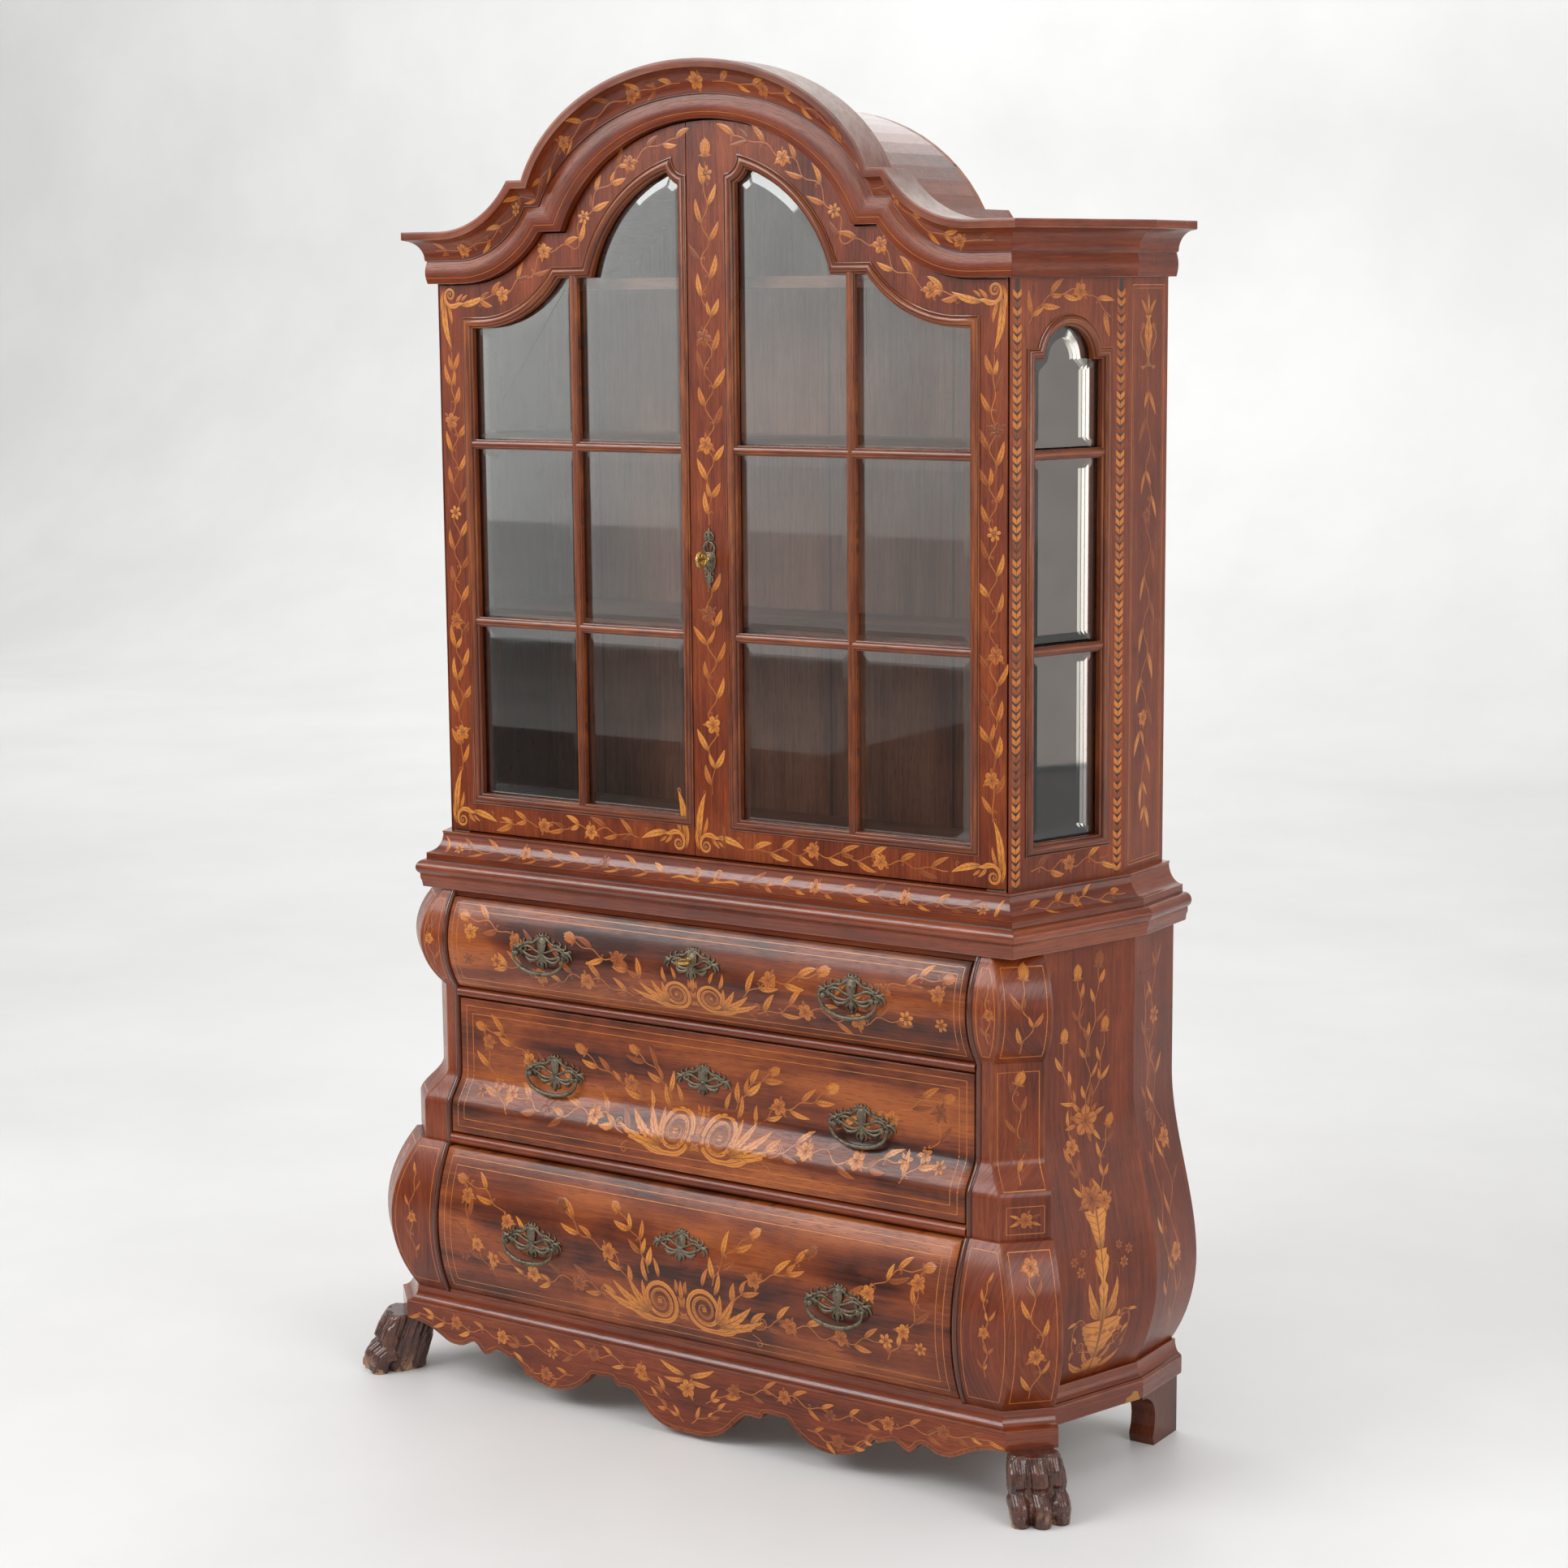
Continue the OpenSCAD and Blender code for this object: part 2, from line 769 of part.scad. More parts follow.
module waist_moulding() {
    color(mahogany) at_case() {
        front_run(waist_line, waist_bot, 0);
        both() {
            side_run(waist_line, waist_bot, 0);
            rear_run(waist_line, waist_bot, 0);
        }
    }
}
module base_top() {
    color(raw_wood) at_case()
        translate([0, 0, waist_bot])
            linear_extrude(18)
                intersection() {
                    polygon(plan(-30.2));
                    translate([-700, 0])
                        square([1400, case_d - 12.2]);
                }
}
rail_z = [[waist_bot, -102], [neck_top, -275], [-502, -524], [-772, plinth_top]];
rail_d = 60;
mid_swell = upper_swell;
module drawer_rails() {
    color(dark_wood) at_case()
        difference() {
            union() {
                for (r = rail_z)
                    translate([-post_in + 0.2, -30, r[1]])
                        cube([2 * post_in - 0.4, rail_d, r[0] - r[1]]);
                translate([-post_in + 0.2, -38, -102])
                    cube([2 * post_in - 0.4, 20, 102 + waist_bot]);
                bead_rail(-32, rail_z[1]);
                bead_rail(-post_y - mid_swell + 6, rail_z[2]);
                translate([-post_in + 0.2, -post_y - 42, plinth_top])
                    cube([2 * post_in - 0.4, 60, 6]);
            }
            drawer_bolt_slot();
        }
}
module bead_rail(y, r) {
    h = r[0] - r[1];
    translate([-post_in + 0.2, y, (r[0] + r[1]) / 2])
        rotate([0, 90, 0])
            cylinder(r = h / 2, h = 2 * post_in - 0.4, $fn = 48);
    translate([-post_in + 0.2, y, r[1]])
        cube([2 * post_in - 0.4, -y, h]);
}
runner_in = 430;
module drawer_runners() {
    color(raw_wood) at_case() both()
        for (r = [rail_z[1], rail_z[2]]) {
            translate([runner_in, 30.2, r[1]])
                cube([post_in - runner_in, case_d - 12.4 - 30, r[0] - r[1]]);
            translate([484, 30.2, r[0]])
                cube([16, case_d - 12.4 - 30, 14]);
        }
}
module base_back() {
    color(raw_wood) at_case() {
        translate([-back_half + 0.2, case_d - 12, plinth_bot])
            cube([2 * back_half - 0.4, 12, waist_bot - plinth_bot]);
        translate([-back_half + 30.2, case_d - 12, waist_bot - 1])
            cube([2 * back_half - 60.4, 12, 1 - waist_bot]);
    }
}
bottom_t = 18;
// Half outline of the bottom board: in front of the posts, behind them, then along the sides
behind_y = 55;
function side_x(y) = front_half + (back_half - front_half) * y / turn_y;
bottom_plan = [[post_in - 0.2, -post_y + 5.2], [post_in - 0.2, behind_y], [side_x(behind_y) - 0.4, behind_y],
    turn_corner(-0.3), [back_half - 0.3, case_d - 12.2]];
module base_bottom() {
    color(raw_wood) at_case()
        difference() {
            translate([0, 0, rail_z[3][0] - bottom_t])
                linear_extrude(bottom_t)
                    polygon(concat(mirror_x(bottom_plan), bottom_plan));
            translate([-post_in, -post_y - 50, plinth_top - 0.1])
                cube([2 * post_in, 50 + post_y + 33, 20]);
        }
}

// ---- Plinth and feet ----
plinth_t = 44;
side_plinth = concat([[10, plinth_bot], [plinth_t, plinth_bot], [plinth_t, plinth_face]],
    [[plinth_t - 2, plinth_face + 4]],
    [for (k = [5 : -1 : 0]) let (a = 90 * k / 6)
        [32 + (plinth_t - 2 - 32) * (1 - cos(a)), plinth_top - (plinth_cove - 4) * sin(a)]],
    [[10, plinth_top]]);
module plinth_moulding() {
    color(mahogany) at_case() {
        across(-post_in + 0.2, post_in - 0.2)
            front_region(plinth_line, -post_y - 20);
        both() {
            front_strip(plinth_line, -post_y);
            slant_strip(concat(plinth_line, [[plinth_swell, plinth_bot]]), post_d);
            intersection() {
                union() {
                    side_run(side_plinth, plinth_bot, plinth_top);
                    rear_run(side_plinth, plinth_bot, plinth_top);
                }
                translate([0.2, 0.2, 0])
                    behind_post();
            }
        }
    }
}
// Shaped lower edge of the front, right half: arcs given as [middle x, middle z, radius, from, to]
function arc(c, r, a0, a1, n) = [for (k = [0 : n]) let (a = a0 + (a1 - a0) * k / n)
    [c[0] + r * cos(a), c[1] + r * sin(a)]];
apron_half = concat([[0, -923]],
    arc([20, -833], 90, -88, -42, 6),
    [[112, -871], [140, -871], [149, -860], [176, -860]],
    arc([272, -800], 101, -143, -37, 8) ,
    [[358, -866], [384, -857], [395, -859], [416, -869], [438, -851], [463, -862], [490, -862]],
    [[510, -853], [534, -842], [560, -836], [584, plinth_bot]]);
apron_t = 20;
module apron() {
    color(veneer) at_case()
        intersection() {
            upright(-post_y - plinth_swell, -post_y - plinth_swell + apron_t)
                polygon(concat(apron_half, [[700, plinth_bot], [700, plinth_face - 0.2],
                    [-700, plinth_face - 0.2], [-700, plinth_bot]], mirror_x(apron_half)));
            mitre([[-(post_x - post_y + 300), -300], [post_x - post_y + 300, -300],
                [post_x - post_y - 60, 60], [-(post_x - post_y - 60), 60]], -940, plinth_face + 1);
        }
}
foot_h = base_h + plinth_bot;
// A paw set along the diagonal: local x outward, z from the floor
module paw() {
    intersection() {
        union() {
            hull() {
                translate([-38, -32, foot_h - 4])
                    cube([62, 64, 4]);
                translate([2, 0, 52])
                    scale([1, 0.95, 1])
                        sphere(r = 30, $fn = 32);
            }
            hull() {
                translate([2, 0, 46])
                    sphere(r = 29, $fn = 32);
                translate([30, 0, 22])
                    scale([1.2, 1.35, 0.9])
                        sphere(r = 26, $fn = 32);
                translate([-6, 0, 16])
                    scale([1, 1.2, 1])
                        sphere(r = 24, $fn = 32);
            }
            for (t = [-1, 0, 1])
                hull() {
                    translate([42, t * 22, 25])
                        sphere(r = 14, $fn = 28);
                    translate([66 - abs(t) * 4, t * 29, 15])
                        sphere(r = 13, $fn = 28);
                    translate([87 - abs(t) * 3, t * 33, 5])
                        sphere(r = 6, $fn = 20);
                }
        }
        translate([-60, -60, 0])
            cube([180, 120, foot_h]);
    }
}
foot_mid = [post_x + plinth_swell + far / 2 - 10, -post_y - plinth_swell + far / 2 + 10];
module paw_foot(s) {
    color(dark_wood) at_case() on_side(s)
        translate([foot_mid[0], foot_mid[1], -base_h])
            rotate([0, 0, -45])
                paw();
}
module paw_foot_left() { paw_foot(-1); }
module paw_foot_right() { paw_foot(1); }
module rear_feet() {
    color(mahogany) at_case() both()
        translate([back_half - 6, 0, 0])
            rotate([90, 0, 90])
                linear_extrude(42)
                    polygon(concat([[case_d, -base_h], [case_d, plinth_bot - 0.2], [240, plinth_bot - 0.2]],
                        [for (k = [0 : 6]) let (a = 90 * k / 6)
                            [240 + 44 * sin(a), plinth_bot - 50 + 40 * cos(a)]],
                        [[282, -base_h + 30], [276, -base_h + 14], [280, -base_h]]));
}

// ---- Drawers: top and bottom of each front, and the height of its handles and keyhole ----
drawers = [[-102, neck_top, -171, -150], [-275, -502, -380, -345], [-524, -772, -648, -600]];
drawer_back = 340;
front_back = -15;
module drawer_front_shape(z1, z0) {
    intersection() {
        front_region(front_line, front_back);
        translate([-300, z0])
            square([300 + front_back + 1, z1 - z0]);
    }
}
module drawer_front(k) {
    d = drawers[k];
    across(-drawer_half, drawer_half)
        drawer_front_shape(d[0] - drawer_gap, d[1] + drawer_gap);
}
box_half = 482;
module drawer_box(k) {
    d = drawers[k];
    z0 = d[1] + drawer_gap;
    h = d[0] - 20 - z0;
    for (s = [-1, 1])
        translate([s * (box_half - drawer_side / 2) - drawer_side / 2, front_back + 0.1, z0])
            cube([drawer_side, drawer_back - front_back, h]);
    translate([-box_half + drawer_side + 0.1, drawer_back - 10, z0])
        cube([2 * (box_half - drawer_side) - 0.2, 10, h]);
    translate([-box_half + drawer_side + 0.1, front_back + 0.1, z0 + 4])
        cube([2 * (box_half - drawer_side) - 0.2, drawer_back - 10 - front_back - 0.2, 8]);
}
function front_swell(z) = z > neck_top ? upper_line(z) : z > neck_bot ? 0 : z > block_top ? flare(z)
    : z > block_bot ? upper_swell : lower_line(z);
// Thin skin over the curved front, cut to a drawing
mount_t = 2;
module skin(x) {
    intersection() {
        upright(-200, 0)
            translate(x)
                children();
        difference() {
            across(x[0] - 80, x[0] + 80)
                translate([-mount_t, 0])
                    front_region(front_line, 0);
            across(x[0] - 81, x[0] + 81)
                front_region(front_line, 0);
        }
    }
}
module batwing() {
    square([96, 22], center = true);
    circle(24, $fn = 48);
    for (s = [-1, 1]) {
        translate([s * bail_half, 4])
            circle(17, $fn = 40);
        translate([s * 30, -8])
            circle(14, $fn = 40);
        translate([s * 18, 20])
            circle(12, $fn = 40);
    }
    translate([0, -24])
        circle(11, $fn = 32);
    translate([0, 27])
        circle(9, $fn = 32);
}
post_r = 5.5;
post_out = 12;
bail_r = 3;
bail_pin_r = 1.8;
pin_up = -4;
function pivot_at(z) = -post_y - front_swell(z) - post_out;
module drawer_mounts(k) {
    d = drawers[k];
    py = pivot_at(d[2]);
    for (s = [-1, 1]) {
        skin([s * handle_x, d[2]])
            batwing();
        difference() {
            union()
                for (t = [-1, 1])
                    translate([s * handle_x + t * bail_half, py - 4, d[2] + pin_up])
                        rotate([-90, 0, 0])
                            cylinder(r = post_r - 1.3, h = post_out + 4.5, $fn = 32);
            for (t = [-1, 1])
                translate([s * handle_x + t * bail_half - 8, py, d[2] + pin_up])
                    rotate([0, 90, 0])
                        cylinder(r = bail_pin_r + run_fit, h = 16, $fn = 24);
            across(-600, 600)
                translate([-mount_t + 0.5, 0])
                    front_region(front_line, 0);
        }
    }
    skin([0, d[3]])
        difference() {
            scale([0.86, 0.86])
                batwing();
            circle(4, $fn = 32);
        }
}
bail_out = 8;
bend_r = 14;
module bail(k, s) {
    d = drawers[k];
    reach = bail_half + bail_out;
    translate([s * handle_x, pivot_at(d[2]), d[2] + pin_up]) {
        for (t = [-1, 1]) {
            translate([t * (bail_half + 1) - 5 + t * 3, 0, 0])
                rotate([0, 90, 0])
                    cylinder(r = bail_pin_r, h = 10, $fn = 24);
            translate([t * reach, 0, 0])
                sphere(r = bail_r, $fn = 32);
            translate([t * reach, 0, -bail_drop + bend_r])
                cylinder(r = bail_r, h = bail_drop - bend_r, $fn = 32);
        }
        translate([-reach + bend_r, 0, -bail_drop])
            rotate([0, 90, 0])
                cylinder(r = bail_r, h = 2 * (reach - bend_r), $fn = 32);
        for (t = [0, 180])
            rotate([0, 0, t])
                translate([reach - bend_r, 0, -bail_drop + bend_r])
                    rotate([90, 0, 0])
                        rotate([0, 0, -90])
                            rotate_extrude(angle = 90, $fn = 48)
                                translate([bend_r, 0])
                                    circle(bail_r, $fn = 32);
    }
}
module drawer_upper_front() {
    color(veneer) at_case()
        difference() {
            drawer_front(0);
            translate([0, -100, drawers[0][3]])
                rotate([-90, 0, 0])
                    cylinder(r = 4, h = 120, $fn = 32);
        }
}
module drawer_middle_front() { color(veneer) at_case() drawer_front(1); }
module drawer_lower_front() { color(veneer) at_case() drawer_front(2); }
module drawer_upper_box() { color(raw_wood) at_case() drawer_box(0); }
module drawer_middle_box() { color(raw_wood) at_case() drawer_box(1); }
module drawer_lower_box() { color(raw_wood) at_case() drawer_box(2); }
module drawer_upper_mounts() { color(old_brass) at_case() drawer_mounts(0); }
module drawer_middle_mounts() { color(old_brass) at_case() drawer_mounts(1); }
module drawer_lower_mounts() { color(old_brass) at_case() drawer_mounts(2); }
module drawer_upper_bail_left() { color(old_brass) at_case() bail(0, -1); }
module drawer_upper_bail_right() { color(old_brass) at_case() bail(0, 1); }
module drawer_middle_bail_left() { color(old_brass) at_case() bail(1, -1); }
module drawer_middle_bail_right() { color(old_brass) at_case() bail(1, 1); }
module drawer_lower_bail_left() { color(old_brass) at_case() bail(2, -1); }
module drawer_lower_bail_right() { color(old_brass) at_case() bail(2, 1); }

// Lock of the upper drawer: its bolt rises into the rail above
dk_z = drawers[0][3];
dlock_top = -104;
module drawer_lock() {
    color(old_brass) at_case()
        difference() {
            translate([-30, front_back + 0.1, dk_z - 30])
                cube([60, 12, dlock_top - dk_z + 30]);
            translate([-13, front_back + 2.5, dk_z + 11])
                cube([26, 7, 60]);
            translate([0, front_back - 1, dk_z])
                rotate([-90, 0, 0])
                    cylinder(r = 4, h = 5, $fn = 32);
            translate([0, front_back + 2.5, dk_z])
                rotate([-90, 0, 0])
                    cylinder(r = bit_r + 1, h = 7, $fn = 40);
        }
}
module drawer_lock_bolt() {
    color(old_brass) at_case()
        translate([-12.5, front_back + 3, dk_z + 11.5])
            cube([25, 6, dlock_top - dk_z - 11.5]);
}
module drawer_bolt_slot() {
    translate([-14, front_back + 1.5, -102 - 1])
        cube([28, 9, 12]);
}
module drawer_key() {
    color(gold) at_case()
        translate([0, 0, dk_z])
            rotate([0, 90, 0])
                key(-post_y - front_swell(dk_z) - 14, front_back + 8.5);
}

cornice_front();
cornice_sides();
frieze();
roof_board();
vitrine_back();
vitrine_floor();
side_frame_left();
side_frame_right();
side_mouldings();
side_glass();
shelves();
shelf_supports();
door_pivots();
door_left_frame();
door_left_moulding();
door_left_glass();
door_left_fittings();
door_right_frame();
door_right_moulding();
door_right_glass();
door_right_fittings();
door_lock();
door_lock_bolt();
door_escutcheon();
door_key();
left_bolt_upper();
left_bolt_lower();
waist_moulding();
base_top();
base_side_left();
base_side_right();
pilaster_left();
pilaster_right();
drawer_rails();
drawer_runners();
base_back();
base_bottom();
plinth_moulding();
apron();
paw_foot_left();
paw_foot_right();
rear_feet();
drawer_upper_front();
drawer_upper_box();
drawer_upper_mounts();
drawer_upper_bail_left();
drawer_upper_bail_right();
drawer_middle_front();
drawer_middle_box();
drawer_middle_mounts();
drawer_middle_bail_left();
drawer_middle_bail_right();
drawer_lower_front();
drawer_lower_box();
drawer_lower_mounts();
drawer_lower_bail_left();
drawer_lower_bail_right();
drawer_key();
drawer_lock();
drawer_lock_bolt();
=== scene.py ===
"""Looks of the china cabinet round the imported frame: mouldings, marquetry, glass, mounts and feet."""
import math
import random

import bmesh
import bpy
import numpy as np
from mathutils import Matrix, Vector


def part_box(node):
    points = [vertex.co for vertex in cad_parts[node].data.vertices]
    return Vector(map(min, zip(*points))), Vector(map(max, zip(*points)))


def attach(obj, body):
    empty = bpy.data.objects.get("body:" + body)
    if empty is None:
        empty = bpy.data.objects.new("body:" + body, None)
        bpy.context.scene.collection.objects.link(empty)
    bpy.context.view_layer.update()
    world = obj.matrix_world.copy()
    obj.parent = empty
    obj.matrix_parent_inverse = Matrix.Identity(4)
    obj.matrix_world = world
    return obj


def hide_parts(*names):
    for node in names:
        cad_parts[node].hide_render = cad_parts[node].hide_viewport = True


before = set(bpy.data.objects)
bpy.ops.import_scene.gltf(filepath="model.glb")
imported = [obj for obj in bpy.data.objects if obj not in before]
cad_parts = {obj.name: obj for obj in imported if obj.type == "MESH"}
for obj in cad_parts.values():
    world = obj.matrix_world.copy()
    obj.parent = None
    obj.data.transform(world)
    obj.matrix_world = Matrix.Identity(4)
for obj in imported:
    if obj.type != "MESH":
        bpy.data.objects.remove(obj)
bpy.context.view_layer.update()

MM = 0.001
# The case frame: y = 0 at the door faces, z = 0 at the case's underside, millimetres
CASE_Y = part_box("door_right_frame")[0].y / MM
CASE_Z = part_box("vitrine_floor")[0].z / MM
FLOOR_Z = -CASE_Z


def place(p):
    return (p[0] * MM, (p[1] + CASE_Y) * MM, (p[2] + CASE_Z) * MM)


def sind(a):
    return math.sin(math.radians(a))


def cosd(a):
    return math.cos(math.radians(a))


def lerp(a, b, f):
    return a + (b - a) * f


def steps(a, b, n):
    return [a + (b - a) * k / n for k in range(n + 1)]


def smooth(f):
    f = min(1.0, max(0.0, f))
    return f * f * (3 - 2 * f)


# ---- Meshes: points in case millimetres, with the numbers that the materials read ----
class Shape:
    """Points and faces of a piece, with the grain, wear and leaf values of each point; wear below 0 marks
    painted crease shade.
    """
    def __init__(self):
        self.points, self.faces, self.slots = [], [], []
        self.grain, self.wear, self.leaf = [], [], []

    def point(self, p, grain=None, wear=0.0, leaf=(0.0, 0.0, 0.5)):
        self.points.append(p)
        self.grain.append(grain or (p[0], p[2], 0.0))
        self.wear.append(wear)
        self.leaf.append(leaf)
        return len(self.points) - 1

    def face(self, corners, slot=0):
        self.faces.append(corners)
        self.slots.append(slot)

    def grid(self, rows, slot=0, closed=False):
        """rows are lists of point indices; closed joins each row's end to its start."""
        for a, b in zip(rows, rows[1:]):
            count = len(a) if closed else len(a) - 1
            for k in range(count):
                j = (k + 1) % len(a)
                self.face((a[k], a[j], b[j], b[k]), slot)

    def cap(self, rows, slot=0):
        """Closes both ends of a grid that goes round."""
        self.face(tuple(reversed(rows[0])), slot)
        self.face(tuple(rows[-1]), slot)

    def ends(self, columns, slot=0):
        """Closes both ends of a grid whose last column is its first."""
        self.face(tuple(c[0] for c in columns[:-1]), slot)
        self.face(tuple(c[-1] for c in reversed(columns[:-1])), slot)

    def plate(self, top, low):
        """A thin closed piece between two outlines."""
        self.grid([top, low], closed=True)
        self.face(tuple(top))
        self.face(tuple(reversed(low)))

    def tube(self, centres, radii, sides=10, flat=1.0, up=(0, 0, 1), slot=0, wear=0.0):
        """A closed tube of varying radius along centres; flat squeezes it along its second axis."""
        rows, count = [], len(centres)
        pts = [Vector(c) for c in centres]
        side = None
        for k in range(count):
            t = (pts[min(k + 1, count - 1)] - pts[max(k - 1, 0)]).normalized()
            side = t.cross(Vector(up)) if side is None else side - t * side.dot(t)
            if side.length < 1e-4:
                side = t.orthogonal()
            side.normalize()
            other = t.cross(side)
            row = []
            for j in range(sides):
                a = 2 * math.pi * j / sides
                q = pts[k] + radii[k] * (math.cos(a) * side + flat * math.sin(a) * other)
                row.append(self.point(tuple(q), (k * 3.0, j * 2.0, 0.0), wear))
            rows.append(row)
        self.grid(rows, slot, closed=True)
        self.cap(rows, slot)

    def blob(self, centre, r, stretch=(1, 1, 1), turn=0.0, rings=8, sides=14, slot=0):
        """A closed egg; turn is about the vertical axis, in degrees."""
        rows = []
        for k in range(1, rings):
            a = math.pi * k / rings
            row = []
            for j in range(sides):
                b = 2 * math.pi * j / sides
                x, y, z = (r * stretch[0] * math.sin(a) * math.cos(b),
                           r * stretch[1] * math.sin(a) * math.sin(b), r * stretch[2] * math.cos(a))
                x, y = x * cosd(turn) - y * sind(turn), x * sind(turn) + y * cosd(turn)
                row.append(self.point((centre[0] + x, centre[1] + y, centre[2] + z)))
            rows.append(row)
        self.grid(rows, slot, closed=True)
        top = self.point((centre[0], centre[1], centre[2] + r * stretch[2]))
        low = self.point((centre[0], centre[1], centre[2] - r * stretch[2]))
        for j in range(sides):
            self.face((rows[0][(j + 1) % sides], rows[0][j], top), slot)
            self.face((rows[-1][j], rows[-1][(j + 1) % sides], low), slot)

    def build(self, name, body, slot_name, materials, replaced=(), crease=38, outward=True):
        mesh = bpy.data.meshes.new(name)
        mesh.from_pydata([place(p) for p in self.points], [], self.faces)
        # The wear attribute holds edge wear above 0 and painted crease shade below 0
        for label, kind, values in (("grain", "FLOAT_VECTOR", [[c * MM for c in g] for g in self.grain]),
                                    ("wear", "FLOAT", self.wear), ("leaf", "FLOAT_VECTOR", self.leaf)):
            key = "vector" if kind == "FLOAT_VECTOR" else "value"
            data = mesh.attributes.new(label, kind, "POINT").data
            data.foreach_set(key, np.array(values, np.float32).ravel())
        mesh.polygons.foreach_set("material_index", self.slots)
        if outward:
            orient(mesh)
        mesh.shade_smooth()
        mesh.set_sharp_from_angle(angle=math.radians(crease))
        piece = in_scene(name, mesh)
        for m in materials:
            mesh.materials.append(m)
        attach(piece, body)
        if replaced:
            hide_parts(*replaced)
        return piece


def in_scene(name, data):
    made = bpy.data.objects.new(name, data)
    bpy.context.scene.collection.objects.link(made)
    return made


def orient(mesh):
    """Turns every face outwards."""
    work = bmesh.new()
    work.from_mesh(mesh)
    bmesh.ops.recalc_face_normals(work, faces=work.faces)
    work.to_mesh(mesh)
    work.free()


# ---- Plan and profiles, as the CAD source has them ----
FRONT_HALF, BACK_HALF, TURN_Y, CASE_D = 535, 609, 231, 360
SIDE_A = math.degrees(math.atan2(TURN_Y, BACK_HALF - FRONT_HALF))
SIDE_C, SIDE_S = cosd(SIDE_A), sind(SIDE_A)
SIDE_LEN = math.hypot(TURN_Y, BACK_HALF - FRONT_HALF)
POST_X, POST_Y, POST_W, POST_IN = FRONT_HALF - 8, 35, 83, 500
DIAG = cosd(45)
SIDES = ((-1, "left"), (1, "right"))
BEHIND_POST = POST_X - POST_Y + 2 * POST_W * DIAG + 0.2


def front_corner(t):
    return (FRONT_HALF + t * math.tan(math.radians(SIDE_A / 2)), -t)


def turn_corner(t):
    return (BACK_HALF + t, TURN_Y - t * math.tan(math.radians((90 - SIDE_A) / 2)))


def back_corner(t):
    return (BACK_HALF + t, CASE_D)


def behind_post(t):
    u = (BEHIND_POST - FRONT_HALF - t * (SIDE_S - SIDE_C)) / (SIDE_C + SIDE_S)
    return (FRONT_HALF + u * SIDE_C + t * SIDE_S, u * SIDE_S - t * SIDE_C)


def post_corner(s):
    return (POST_X + s, -POST_Y - s)


def post_end(s):
    return (POST_X + s + POST_W * DIAG, -POST_Y - s + POST_W * DIAG)


def flipped(f):
    return lambda t: (-f(t)[0], f(t)[1])


def run_list(first, second=turn_corner, front=front_corner):
    """Start and end of each length of moulding round the cabinet, at offset t."""
    runs = [] if front is None else [(flipped(front), front)]
    for a, b in ((first, second), (second, back_corner)):
        runs += [(a, b), (flipped(b), flipped(a))]
    return runs


CASE_RUNS = run_list(front_corner)
PLINTH_FRONT = [(flipped(post_corner), post_corner), (post_corner, post_end),
                (flipped(post_end), flipped(post_corner))]
SIDE_RUNS = run_list(behind_post, front=None)

# Head lines: flat height, end of flat, sweep radius, step height, apex, arch half width, arch rise
HEAD_DOOR = (905, 476, 200, 985, 1150, 289, 250)
HEAD_FRIEZE = (941, 481, 160, 1024, 1186, 330, 239)
HEAD_TOP = (988, 493, 170, 1065, 1237, 336, 242)
DOOR_Z, FRIEZE_Z, CORNICE_Z = HEAD_DOOR[0], HEAD_FRIEZE[0], HEAD_TOP[0]
CORNICE_OUT = 48
HEAD_GLASS = (851, 450, 185, 930, 1102, 248, 239)
FASCIA = 13


def inset(h, i):
    return (h[0] - i, h[1], h[2] + i, h[3] - i, h[4] - i, h[5] - i, h[6] - i)


def blend(a, b, f):
    return tuple(lerp(x, y, f) for x, y in zip(a, b))


def sweep_end(h):
    return math.degrees(math.acos(1 - (h[3] - h[0]) / h[2]))


def arch_start(h):
    return math.degrees(math.asin((h[3] - h[4] + h[6]) / h[6]))


def head_half(h, x_end, sweep=18, arch=30, to=0.0):
    """Right half of a head line, from its outer end to x = to."""
    line = [(x_end, h[0])]
    line += [(h[1] - h[2] * sind(a), h[0] + h[2] * (1 - cosd(a))) for a in steps(0, sweep_end(h), sweep)]
    line += [(h[5] * cosd(a), h[4] - h[6] + h[6] * sind(a))
             for a in steps(arch_start(h), math.degrees(math.acos(to / h[5])), arch)]
    return line


def head_line(h, x_end):
    half = head_half(h, x_end)
    return half + [(-x, z) for x, z in reversed(half[:-1])]


# The bombe base, in millimetres under the case: where its outline turns, and how far it swells out
BASE_TOP, SWELL_TOP = -92, -94
UPPER_SWELL, LOWER_SWELL, LOWER_R, LOWER_MID = 29, 72.5, 260, -655
UPPER_MID, UPPER_HALF = -175.5, 81.5
UPPER_R = (UPPER_HALF ** 2 + UPPER_SWELL ** 2) / (2 * UPPER_SWELL)
NECK_TOP, NECK_BOT, BLOCK_TOP, BLOCK_BOT, PLINTH_TOP = -257, -402, -458, -520, -778
PLINTH_FACE, PLINTH_BOT, PLINTH_SWELL, PLINTH_SIDE = -806, -834, 57, 44


def upper_line(z):
    return math.sqrt(max(0, UPPER_R ** 2 - (z - UPPER_MID) ** 2)) - UPPER_R + UPPER_SWELL


def lower_line(z):
    return LOWER_SWELL - LOWER_R + math.sqrt(LOWER_R ** 2 - (z - LOWER_MID) ** 2)


def swell(z):
    if z > NECK_TOP:
        return upper_line(z)
    if z > BLOCK_TOP:
        return UPPER_SWELL * smooth((NECK_BOT - z) / (NECK_BOT - BLOCK_TOP))
    return UPPER_SWELL if z > BLOCK_BOT else lower_line(z)


SIDE_TOP_T, SIDE_PEAK, SIDE_MID, SIDE_R, SIDE_OGEE = 21, 68, -635, 265, -330


def side_swell(z):
    if z > SIDE_MID:
        return lerp(SIDE_TOP_T, SIDE_PEAK, smooth((SIDE_OGEE - z) / (SIDE_OGEE - SIDE_MID)))
    return SIDE_PEAK - SIDE_R + math.sqrt(SIDE_R ** 2 - (z - SIDE_MID) ** 2)


